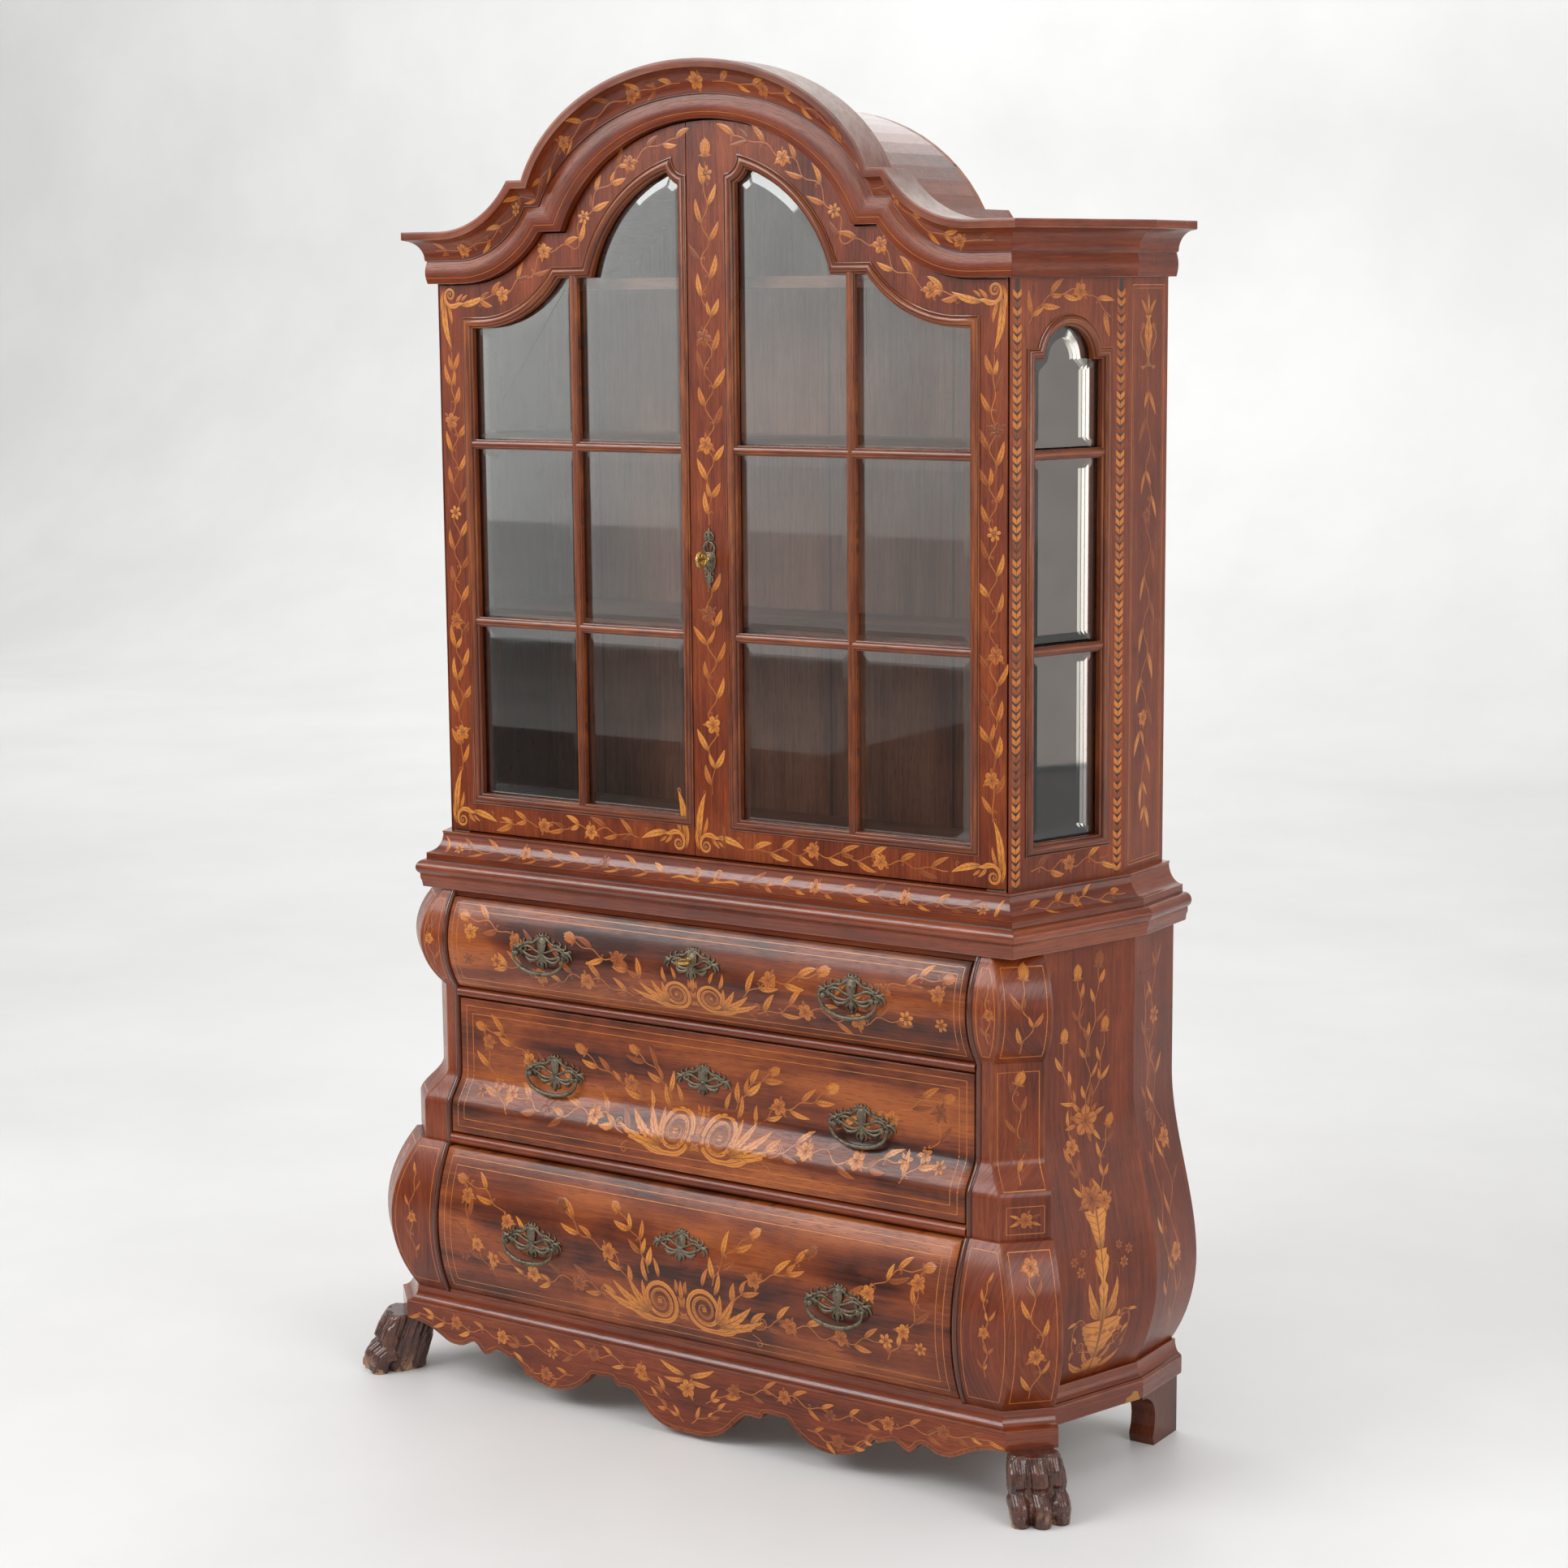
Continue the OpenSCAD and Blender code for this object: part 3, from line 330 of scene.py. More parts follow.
def rounded(line, r=0.9):
    """A closed profile of (out, height) with its corners eased; wear is 1 on outer edges, for worn colour,
    and -1 in inner corners, for painted crease shade.
    """
    made, count = [], len(line)
    area = sum(line[k - 1][0] * line[k][1] - line[k][0] * line[k - 1][1] for k in range(count))
    for k in range(count):
        p, a, b = (np.array(line[j % count], float) for j in (k, k - 1, k + 1))
        da, db = a - p, b - p
        la, lb = np.linalg.norm(da), np.linalg.norm(db)
        da, db = da / la, db / lb
        bend = math.degrees(math.acos(max(-1, min(1, -float(da @ db)))))
        if bend < 22:
            made.append((p[0], p[1], 0.0))
            continue
        turn = (da[0] * db[1] - da[1] * db[0]) * area
        ease = min(r, la * 0.4, lb * 0.4)
        # 1 marks a worn outer edge; -1 marks an inner corner for painted crease shade
        worn = 1.0 if turn < 0 else -1.0
        reach = min(3 * ease, la * 0.45, lb * 0.45)
        made.append((*(p + da * reach), 0.0))
        for f in (0.0, 0.5, 1.0):
            q = (1 - f) ** 2 * (p + da * ease) + 2 * f * (1 - f) * p + f * f * (p + db * ease)
            made.append((q[0], q[1], worn))
        made.append((*(p + db * reach), 0.0))
    return made


def travelled(line):
    """Distance along a line up to each of its points."""
    made = [0.0]
    for a, b in zip(line, line[1:]):
        made.append(made[-1] + math.hypot(b[0] - a[0], b[1] - a[1]))
    return made


def moulding(shape, profile, runs, gap=0.12, cut=1, slot=0):
    """Mitred lengths of one profile, each a closed solid; the grain runs along each length."""
    lengths = travelled(profile)
    for number, (start, end) in enumerate(runs):
        rows = []
        for k in range(cut + 1):
            row = []
            for (t, z, wear), across in zip(profile, lengths):
                a, b = Vector(start(t)), Vector(end(t))
                way = (b - a).normalized()
                a, b = a + way * gap, b - way * gap
                q = a.lerp(b, k / cut)
                along = (q - Vector(start(0))).dot(way)
                row.append(shape.point((q.x, q.y, z), (along, across, number * 37.0), wear))
            rows.append(row)
        shape.grid(rows, slot, closed=True)
        shape.cap(rows, slot)


def shaped_run(shape, rings, slot=0):
    """A moulding along a head line: rings are (head, y, wear), wear below 0 being painted crease shade, each
    drawn out to its own mitre.
    """
    columns = []
    for (h, y, wear), across in zip(rings, travelled([(h[4], y) for h, y, _ in rings])):
        line = head_line(h, front_corner(-y)[0] - 0.12)
        columns.append([shape.point((x, y, z), (along, across, 11.0), wear) for (x, z),
                        along in zip(line, travelled(line))])
    columns.append(columns[0])
    shape.grid(columns, slot)
    shape.ends(columns, slot)


# ---- Materials ----
def set_stops(elements, stops):
    """Places and colours of a colour ramp's stops; a number stands for a grey."""
    while len(elements) < len(stops):
        elements.new(0.5)
    for element, (at, colour) in zip(elements, stops):
        element.position = at
        element.color = (*colour, 1) if isinstance(colour, tuple) else (colour, colour, colour, 1)


class Nodes:
    """A material's node tree, with short names for what its nodes do."""
    def __init__(self, name):
        self.material = bpy.data.materials.new(name)
        self.material.use_nodes = True
        self.tree = self.material.node_tree
        self.shader = self.tree.nodes["Principled BSDF"]

    def node(self, kind, settings=None, **inputs):
        made = self.tree.nodes.new(kind)
        for key, value in (settings or {}).items():
            setattr(made, key, value)
        for key, value in inputs.items():
            by_number = key[0] == "i" and key[1:].isdigit()
            socket = made.inputs[int(key[1:]) if by_number else key.replace("_", " ")]
            self.put(socket, value)
        return made

    def put(self, socket, value):
        if isinstance(value, bpy.types.NodeSocket):
            self.tree.links.new(value, socket)
        else:
            socket.default_value = value

    def maths(self, kind, a, b=0.0):
        return self.node("ShaderNodeMath", {"operation": kind}, i0=a, i1=b).outputs[0]

    def times(self, a, b):
        return self.maths("MULTIPLY", a, b)

    def plus(self, a, b):
        return self.maths("ADD", a, b)

    def most(self, a, b):
        return self.maths("MAXIMUM", a, b)

    def coords(self, source="object", turn=(0, 0, 0)):
        if source == "object":
            start = self.node("ShaderNodeTexCoord").outputs["Object"]
        else:
            start = self.node("ShaderNodeAttribute", {"attribute_name": source}).outputs["Vector"]
        return self.node("ShaderNodeMapping", Vector=start, Rotation=turn).outputs[0]

    def scaled(self, where, *scale):
        return self.node("ShaderNodeMapping", Vector=where, Scale=scale).outputs[0]

    def axis(self, vector, number):
        return self.node("ShaderNodeSeparateXYZ", Vector=vector).outputs[number]

    def geometry(self, output):
        return self.node("ShaderNodeNewGeometry").outputs[output]

    def value(self, name):
        return self.node("ShaderNodeAttribute", {"attribute_name": name}).outputs["Fac"]

    def noise(self, where, scale, detail=4.0, rough=0.55, warp=0.0):
        made = self.node("ShaderNodeTexNoise", Vector=where, Scale=scale, Detail=detail, Roughness=rough,
                         Distortion=warp)
        return made.outputs["Fac"]

    def ramp(self, fac, *stops):
        made = self.node("ShaderNodeValToRGB", Fac=fac)
        set_stops(made.color_ramp.elements, stops)
        return made.outputs["Color"]

    def mix(self, fac, a, b, kind="MIX"):
        made = self.node("ShaderNodeMix", {"data_type": "RGBA", "blend_type": kind})
        self.put(made.inputs[0], fac)
        for socket, value in ((made.inputs[6], a), (made.inputs[7], b)):
            self.put(socket, (*value, 1) if isinstance(value, tuple) else value)
        return made.outputs[2]

    def bump(self, height, depth, normal=None):
        made = self.node("ShaderNodeBump", Height=height, Distance=depth, Strength=1.0)
        if normal is not None:
            self.put(made.inputs["Normal"], normal)
        return made.outputs[0]

    def finish(self, colour, roughness, normal=None, metal=0.0, coat=0.0, coat_rough=0.05, level=0.5):
        for key, value in (("Base Color", colour), ("Roughness", roughness), ("Metallic", metal),
                           ("Coat Weight", coat),
                           ("Coat Roughness", coat_rough), ("Specular IOR Level", level)):
            self.put(self.shader.inputs[key], value)
        if normal is not None:
            self.put(self.shader.inputs["Normal"], normal)
        return self.material


LACQUER_ROUGH, WOOD_LEVEL = 0.14, 0.32


def wood(name, deep, middle, light, source="grain", turn=(0, 0, 0), polish=0.27, coat=0.16, bands=0.5,
         pores=0.6, worn=(0.30, 0.13, 0.06), wear=0.5, dust=0.0, boards=0.0, spread=0.20):
    """Grain runs along x of the chosen coordinates; bands is how strong the broad dark stripes are."""
    n = Nodes(name)
    here = n.coords(source, turn)
    flow = n.noise(n.scaled(here, 1.3, 9, 9), 1.6, 3.0, 0.5, 0.5)
    streak = n.noise(n.scaled(here, 5, 130, 130), 1.7, 5.0, 0.65, 0.6)
    fine = n.noise(n.scaled(here, 28, 900, 900), 1.5, 2.0, 0.5)
    cloud = n.noise(here, 7.0, 3.0, 0.6, 0.3)
    tone = n.plus(n.times(flow, bands), n.times(streak, 1 - bands))
    tone = n.plus(tone, n.times(n.maths("SUBTRACT", cloud, 0.5), 0.30))
    colour = n.ramp(tone, (0.50 - spread, deep), (0.50, middle), (0.50 + spread, light))
    dots = n.ramp(fine, (0.36, 1.0), (0.43, 0.0))
    colour = n.mix(n.times(dots, pores), colour, tuple(c * 0.35 for c in deep))
    if boards:
        line = n.maths("PINGPONG", n.axis(n.coords(), 0), boards / 2)
        line = n.ramp(line, (0.0, 1.0), (0.0016, 0.0))
        colour = n.mix(n.times(line, 0.85), colour, (0.01, 0.004, 0.002))
    if source == "grain":
        edge_wear_and_crease_shade = n.value("wear")
        patchy = n.times(n.most(edge_wear_and_crease_shade, 0.0), n.ramp(cloud, (0.40, 0.15), (0.62, 1.0)))
        colour = n.mix(n.times(patchy, wear), colour, worn)
        # Inner corners (wear below 0) are darkened nearly to black: painted shade in the creases
        painted_crease_shade = n.most(n.times(edge_wear_and_crease_shade, -0.8), 0.0)
        colour = n.mix(painted_crease_shade, colour, (0.010, 0.004, 0.002))
    rough = n.plus(n.times(n.noise(here, 30.0, 4.0, 0.6), 0.16), polish - 0.05)
    if dust:
        up = n.axis(n.geometry("Normal"), 2)
        lying = n.times(n.ramp(up, (0.25, 0.0), (0.9, 1.0)), dust)
        lying = n.times(lying, n.ramp(n.noise(here, 55.0, 6.0, 0.7), (0.30, 0.45), (0.60, 1.0)))
        colour = n.mix(lying, colour, (0.47, 0.42, 0.39))
        rough = n.plus(rough, n.times(lying, 0.5))
    rough = n.plus(rough, n.times(dots, 0.12))
    ripple = n.bump(n.noise(here, 16.0, 2.0, 0.4), 0.0004)
    height = n.maths("SUBTRACT", n.times(streak, 0.35), n.times(dots, 0.5))
    normal = n.bump(height, 0.00009, ripple)
    return n.finish(colour, rough, normal, coat=coat, coat_rough=LACQUER_ROUGH, level=WOOD_LEVEL)


def satinwood():
    """Inlaid leaves and petals: a dark midrib and side veins, sand-burnt roots, each piece its own tone."""
    n = Nodes("satinwood_inlay")
    parts = n.node("ShaderNodeSeparateXYZ", Vector=n.coords("leaf"))
    across, along, tone = parts.outputs[0], parts.outputs[1], parts.outputs[2]
    here = n.coords("grain")
    streak = n.noise(n.scaled(here, 25, 420, 420), 1.5, 4.0, 0.6, 0.5)
    cloud = n.noise(here, 60.0, 3.0, 0.6)
    shade = n.plus(n.times(streak, 0.30), n.times(tone, 0.85))
    colour = n.ramp(shade, (0.10, (0.12, 0.026, 0.007)), (0.45, (0.33, 0.082, 0.015)),
                    (0.80, (0.56, 0.180, 0.026)), (1.0, (0.66, 0.255, 0.045)))
    side = n.maths("ABSOLUTE", across)
    burnt = n.times(n.ramp(along, (0.0, 1.0), (0.38, 0.0)), 0.62)
    half = n.ramp(across, (0.45, 0.0), (1.0, 0.42))
    colour = n.mix(n.most(burnt, half), colour, (0.10, 0.026, 0.009))
    rib = n.ramp(side, (0.03, 1.0), (0.11, 0.0))
    comb = n.maths("SINE", n.plus(n.times(along, 34.0), n.times(side, -7.0)))
    veins = n.times(n.ramp(comb, (0.82, 0.0), (0.98, 1.0)), n.ramp(side, (0.62, 0.75), (0.80, 0.0)))
    rim = n.ramp(side, (0.80, 0.0), (0.95, 1.0))
    kept = n.ramp(tone, (0.02, 0.0), (0.06, 1.0))
    lines = n.times(n.most(n.most(rib, veins), rim), kept)
    colour = n.mix(n.times(lines, 0.72), colour, (0.045, 0.012, 0.005))
    rough = n.plus(n.times(cloud, 0.16), 0.22)
    normal = n.bump(n.maths("SUBTRACT", n.times(streak, 0.3), lines), 0.00005)
    return n.finish(colour, rough, normal, coat=0.22, coat_rough=LACQUER_ROUGH, level=WOOD_LEVEL)


def line_wood(name, colour_a, colour_b):
    """Stringing, stems and chevrons: thin strips with a little tone along them."""
    n = Nodes(name)
    here = n.coords("grain")
    fade = n.noise(n.scaled(here, 18, 60, 60), 1.0, 4.0, 0.6)
    streak = n.noise(n.scaled(here, 60, 700, 700), 1.0, 3.0)
    colour = n.ramp(n.plus(n.times(fade, 0.6), n.times(streak, 0.4)), (0.32, colour_a), (0.62, colour_b))
    rough = n.plus(n.times(fade, 0.2), 0.12)
    return n.finish(colour, rough, n.bump(streak, 0.00004), coat=0.22, coat_rough=LACQUER_ROUGH,
                    level=WOOD_LEVEL)


def glass():
    """Clear glass as a thin mirror: its alpha is what it reflects, with a faint film of dust."""
    n = Nodes("bevelled_glass")
    here = n.coords()
    smear = n.noise(here, 9.0, 4.0, 0.6, 0.4)
    rough = n.ramp(smear, (0.35, 0.010), (0.75, 0.045))
    mirrored = n.node("ShaderNodeFresnel", IOR=1.52).outputs[0]
    haze = n.ramp(smear, (0.30, 0.010), (0.80, 0.030))
    n.put(n.shader.inputs["Alpha"], n.plus(n.times(mirrored, 1.6), haze))
    return n.finish((0.93, 0.96, 0.95, 1), rough, metal=1.0)


def metal(name, deep, middle, bright, patina, amount, polish):
    """Cast metal, rubbed bright on its high parts and tarnished in its hollows."""
    n = Nodes(name)
    here = n.coords()
    grit = n.noise(here, 420.0, 5.0, 0.7)
    cloud = n.noise(here, 90.0, 4.0, 0.65, 0.3)
    hollow = n.geometry("Pointiness")
    hollow = n.ramp(hollow, (0.44, 1.0), (0.52, 0.0))
    colour = n.ramp(n.plus(n.times(cloud, 0.6), n.times(grit, 0.4)),
                    (0.35, deep), (0.52, middle), (0.70, bright))
    tarnish = n.times(n.most(hollow, n.ramp(cloud, (0.50, 0.0), (0.62, 0.8))), amount)
    colour = n.mix(tarnish, colour, patina)
    rough = n.plus(n.times(grit, 0.30), polish)
    rough = n.plus(rough, n.times(tarnish, 0.25))
    shine = n.maths("SUBTRACT", 1.0, n.times(tarnish, 0.65))
    return n.finish(colour, rough, n.bump(n.plus(grit, cloud), 0.00025), metal=shine)


def paw_wood():
    """Carved and stained feet, rubbed back to bare wood along the toes and where they meet the floor, with
    painted shade darkening their creases.
    """
    n = Nodes("carved_foot")
    here = n.coords()
    streak = n.noise(n.scaled(here, 160, 160, 22), 1.3, 5.0, 0.65, 0.5)
    cloud = n.noise(here, 38.0, 5.0, 0.65, 0.3)
    colour = n.ramp(n.plus(n.times(streak, 0.5), n.times(cloud, 0.5)),
                    (0.34, (0.022, 0.006, 0.004)), (0.52, (0.075, 0.020, 0.010)),
                    (0.70, (0.17, 0.050, 0.022)))
    shape = n.geometry("Pointiness")
    ridge = n.times(n.ramp(shape, (0.515, 0.0), (0.56, 1.0)), n.ramp(cloud, (0.42, 0.0), (0.60, 0.8)))
    low = n.axis(here, 2)
    scuffed = n.times(n.ramp(low, (0.004, 1.0), (0.030, 0.0)), n.ramp(cloud, (0.50, 0.0), (0.56, 1.0)))
    colour = n.mix(n.times(ridge, 0.5), colour, (0.26, 0.085, 0.035))
    colour = n.mix(n.times(scuffed, 0.8), colour, (0.42, 0.24, 0.12))
    # The hollows of the carving are darkened nearly to black: painted shade
    creases = n.ramp(shape, (0.44, 1.0), (0.49, 0.0))
    colour = n.mix(n.times(creases, 0.85), colour, (0.006, 0.002, 0.002))
    rough = n.plus(n.times(cloud, 0.22), 0.16)
    rough = n.plus(rough, n.times(scuffed, 0.3))
    return n.finish(colour, rough, n.bump(n.plus(streak, cloud), 0.0004), coat=0.4, coat_rough=0.12)


MAHOGANY = ((0.055, 0.0088, 0.0032), (0.170, 0.028, 0.0065), (0.300, 0.063, 0.014))
AMBER = ((0.036, 0.007, 0.0025), (0.150, 0.029, 0.006), (0.330, 0.088, 0.017))
DARK = ((0.030, 0.0065, 0.0035), (0.095, 0.020, 0.007), (0.175, 0.042, 0.013))
INNER = ((0.14, 0.050, 0.026), (0.30, 0.125, 0.072), (0.44, 0.21, 0.125))
PINE = ((0.16, 0.080, 0.036), (0.31, 0.175, 0.085), (0.46, 0.29, 0.155))
UPRIGHT = (0, math.radians(90), 0)
DEPTHWISE = (0, 0, math.radians(90))
veneer = wood("marquetry_ground", *MAHOGANY)
figured = wood("figured_drawer_front", (0.038, 0.0068, 0.0030), (0.185, 0.035, 0.0080), (0.350, 0.088, 0.018),
               bands=0.80, spread=0.13)
bead_wood = wood("moulding_wood", *AMBER, polish=0.15, coat=0.5, wear=0.35, bands=0.45,
                 worn=(0.42, 0.19, 0.075))
cornice_wood = wood("cornice_wood", *MAHOGANY, wear=0.9, worn=(0.36, 0.22, 0.16), dust=0.85)
dark_wood = wood("dark_wood", *DARK, polish=0.16, coat=0.6, wear=0.4)
inner_x = wood("interior_flat", *INNER, source="object", polish=0.38, coat=0.15)
inner_z = wood("interior_boards", *INNER, source="object", turn=UPRIGHT, polish=0.40, coat=0.12, boards=0.236)
roof_wood = wood("roof_wood", *MAHOGANY, source="object", turn=DEPTHWISE, polish=0.16, coat=1.0, dust=0.30)
pine_x = wood("carcass_flat", *PINE, source="object", polish=0.55, coat=0.0, pores=0.3)
pine_y = wood("carcass_deep", *PINE, source="object", turn=DEPTHWISE, polish=0.55, coat=0.0, pores=0.3)
inlay = satinwood()
string_wood = line_wood("boxwood_stringing", (0.30, 0.080, 0.016), (0.54, 0.185, 0.034))
vein_wood = line_wood("stems", (0.26, 0.064, 0.014), (0.48, 0.150, 0.030))
ebony = line_wood("dark_stringing", (0.012, 0.004, 0.003), (0.040, 0.012, 0.006))
pane_glass = glass()
brass = metal("aged_brass", (0.055, 0.046, 0.033), (0.195, 0.160, 0.112), (0.50, 0.43, 0.31),
              (0.058, 0.053, 0.042), 0.75, 0.32)
gilt = metal("gilt_brass", (0.30, 0.17, 0.040), (0.62, 0.42, 0.13), (0.86, 0.66, 0.27), (0.10, 0.055, 0.018),
             0.75, 0.20)
foot_wood = paw_wood()
waist_wood = wood("waist_wood", *MAHOGANY, polish=0.18, coat=0.5, wear=0.5, worn=(0.34, 0.13, 0.06))
rail_wood = wood("rail_wood", *MAHOGANY, polish=0.20, coat=0.25, wear=0.5, worn=(0.22, 0.07, 0.03))
bare_wood = wood("bare_wood", (0.30, 0.13, 0.03), (0.50, 0.25, 0.06), (0.66, 0.38, 0.12), polish=0.45,
                 coat=0.0, pores=0.4)
door_ground = wood("door_ground", *MAHOGANY, source="object", turn=UPRIGHT)
post_ground = wood("foot_ground", *DARK, source="object", turn=UPRIGHT)


# ---- Cornice, frieze and waist ----
def build_cornice():
    """The shaped cornice on its arched front, and its straight returns."""
    out, back = 16, 24
    top = inset(HEAD_TOP, FASCIA)
    s = Shape()
    rings = [(HEAD_FRIEZE, back, 0), (HEAD_FRIEZE, -out + 1.5, 0), (HEAD_FRIEZE, -out, 0.6),
             (inset(HEAD_FRIEZE, -1.5), -out, 0.6)]
    rings.append((inset(HEAD_FRIEZE, -1.6), -out - 1, -0.7))
    for k in range(1, 15):
        a = 90 * k / 15
        rings.append((blend(HEAD_FRIEZE, top, 0.04 + 0.92 * sind(a)), -out - 1 - 28 * (1 - cosd(a)), 0.0))
    rings += [(inset(top, 0.5), -out - 29.2, -0.6), (inset(top, 0.4), -46.6, 0.4),
              (inset(top, -0.2), -47.7, 0.9), (inset(top, -1.4), -CORNICE_OUT, 0.3),
              (inset(HEAD_TOP, 5), -CORNICE_OUT, 0), (inset(HEAD_TOP, 1.4), -CORNICE_OUT, 0.4),
              (inset(HEAD_TOP, 0.3), -47.7, 1), (HEAD_TOP, -46.6, 1),
              (HEAD_TOP, -42, 0.2), (HEAD_TOP, back - 2, 0), (HEAD_TOP, back, 0)]
    shaped_run(s, rings)
    s.build("cornice_arch", "cabinet", "moulding_wood", [cornice_wood], ["cornice_front"])
    line = [(-8, FRIEZE_Z), (15, FRIEZE_Z), (16, FRIEZE_Z + 1.5)]
    line += [(17 + 28 * (1 - cosd(a)), FRIEZE_Z + 1.5 + 32 * sind(a)) for a in steps(0, 90, 12)]
    line += [(45.4, CORNICE_Z - FASCIA), (CORNICE_OUT, CORNICE_Z - 12.6), (CORNICE_OUT, CORNICE_Z),
             (-8, CORNICE_Z)]
    s = Shape()
    moulding(s, rounded(line), run_list(front_corner)[1:])
    s.build("cornice_returns", "cabinet", "moulding_wood", [cornice_wood], ["cornice_sides"])


def build_frieze():
    """The frieze over the doors, with the stops that they close against."""
    s = Shape()
    rings = [(HEAD_DOOR, 24, 0), (HEAD_DOOR, -12.5, 0), (HEAD_DOOR, -13.7, 0.8)]
    rings += [(blend(HEAD_DOOR, HEAD_FRIEZE, f), -13.8 - 3.2 * sind(180 * f), 0.0)
              for f in steps(0.03, 0.97, 10)]
    rings += [(HEAD_FRIEZE, -13.7, -0.8), (HEAD_FRIEZE, 24, 0)]
    shaped_run(s, rings)
    line = [(-8, DOOR_Z), (12.5, DOOR_Z)]
    line += [(13.8 + 3.2 * sind(180 * f), lerp(DOOR_Z, FRIEZE_Z, f)) for f in steps(0, 1, 8)]
    line += [(12.5, FRIEZE_Z), (-8, FRIEZE_Z)]
    moulding(s, rounded(line), run_list(front_corner)[1:])
    drop = inset(HEAD_DOOR, 12)
    for side, to in ((-1, 48.5), (1, -38.5)):
        columns = []
        for h, y in ((drop, 24.2), (drop, 38), (HEAD_FRIEZE, 38), (HEAD_FRIEZE, 24.2)):
            columns.append([s.point((side * x, y, z)) for x, z in head_half(h, 528, to=to)])
        columns.append(columns[0])
        s.grid(columns)
        s.ends(columns)
    s.build("frieze_band", "cabinet", "moulding_wood", [cornice_wood], ["frieze"])


def cove_point(f):
    """Out, height on the waist's cove; f is 0 at its foot and 1 at its top."""
    a = 90 * f
    return (36 - 24 * sind(a), -3 - 32 * cosd(a))


def build_waist():
    """The moulding between the case and the base."""
    line = [(-30, BASE_TOP), (42, BASE_TOP), (43, -84), (45.5, -77)]
    line += [(40 + 12 * cosd(a), -59 + 12 * sind(a)) for a in steps(-62, 90, 14)]
    line += [(36.2, -47), (36, -36.5), (37, -35.8)] + [cove_point(f) for f in steps(0.02, 0.98, 14)]
    line += [(13, -2.6), (13, 0), (-30, 0)]
    s = Shape()
    moulding(s, rounded(line), CASE_RUNS)
    s.build("waist_band", "cabinet", "moulding_wood", [waist_wood], ["waist_moulding"])


# ---- Glazing ----
GLASS_X1, GLASS_Z0, NOTCH_R, NOTCH_Z, GLAZE_W = 485, 50, 26, 1092, 18
BARS_Z, BAR_X = (355, 646), 260
PANE_EDGE, PANE_GAP, PANE_Y, PANE_THICK = GLAZE_W - 5, 1.6, 12.2, 4
RIGHT_M, LEFT_M = 34, 36.5


def arch_point(i, a):
    h = inset(HEAD_GLASS, i)
    return (h[5] * cosd(a), h[4] - h[6] + h[6] * sind(a))


def notch_meets(m, i):
    """Angle on the arch at which the notch's circle cuts it."""
    low, high = 60.0, 89.9
    for _ in range(40):
        a = (low + high) / 2
        x, z = arch_point(i, a)
        if math.hypot(x - m, z - NOTCH_Z) > NOTCH_R + i:
            low = a
        else:
            high = a
    return low


def head_part(m, i, left=None, right=None):
    """The glazed opening's head from its outer end, or from right, to its inner edge, or to left."""
    h = inset(HEAD_GLASS, i)
    line = []
    if right is None:
        line += [(GLASS_X1 - i, h[0])]
        line += [(h[1] - h[2] * sind(a), h[0] + h[2] * (1 - cosd(a))) for a in steps(0, sweep_end(h), 14)]
    else:
        line += [(right, h[3])]
    if left is not None:
        return line + [(left, h[3])]
    stop = notch_meets(m, i)
    line += [arch_point(i, a) for a in steps(arch_start(h), stop, 26)]
    x, z = line[-1]
    r = NOTCH_R + i
    first = math.degrees(math.atan2(z - NOTCH_Z, x - m))
    last = -math.degrees(math.acos(i / r))
    line += [(m + r * cosd(a), NOTCH_Z + r * sind(a)) for a in steps(first, last, 10)[1:]]
    return line


def opening(m, i):
    return [(m + i, GLASS_Z0 + i), (GLASS_X1 - i, GLASS_Z0 + i)] + head_part(m, i)


SIDE_MID_S, SIDE_HALF, SIDE_Z0, SIDE_EAR, SIDE_SPRING, SIDE_ARCH = 121, 87, 48, 802, 784, 68


def side_opening(i):
    half, r, ear = SIDE_HALF - i, SIDE_ARCH - i, SIDE_EAR - i
    a0 = math.degrees(math.asin((ear - SIDE_SPRING) / r)) if ear > SIDE_SPRING else 0.0
    line = [(SIDE_MID_S - half, SIDE_Z0 + i), (SIDE_MID_S + half, SIDE_Z0 + i), (SIDE_MID_S + half, ear)]
    line += [(SIDE_MID_S + r * cosd(a),
              SIDE_SPRING + r * sind(a) if ear > SIDE_SPRING else max(ear, SIDE_SPRING + r * sind(a)))
             for a in steps(a0, 180 - a0, 36)]
    return line + [(SIDE_MID_S - half, ear)]


BEAD = [(0, 1.5, 0), (0, -1.6, 0.7), (1.6, -2.2, 0.2), (1.9, -1.9, -1)]
BEAD += [(8.4 - 6.4 * cosd(a), -0.2 - 4.8 * sind(a), 0.0) for a in steps(12, 168, 12)]
BEAD += [(15.2, 0.6, -0.7), (16.4, 0.8, 0.2), (17.6, 2.0, 0.6), (18, 4.0, 0), (18, 12, 0), (0, 12, 0)]


def ring(shape, outline, surface, number):
    """A bead moulding round an opening: outline(i) is the opening's edge moved in by i."""
    rows = []
    for (i, y, wear), across in zip(BEAD, travelled(BEAD)):
        line = outline(i)
        rows.append([shape.point(surface(x, z, -y), (along, across, number * 23.0), wear)
                     for (x, z), along in zip(line, travelled(line))])
    rows.append(rows[0])
    shape.grid(rows, closed=True)


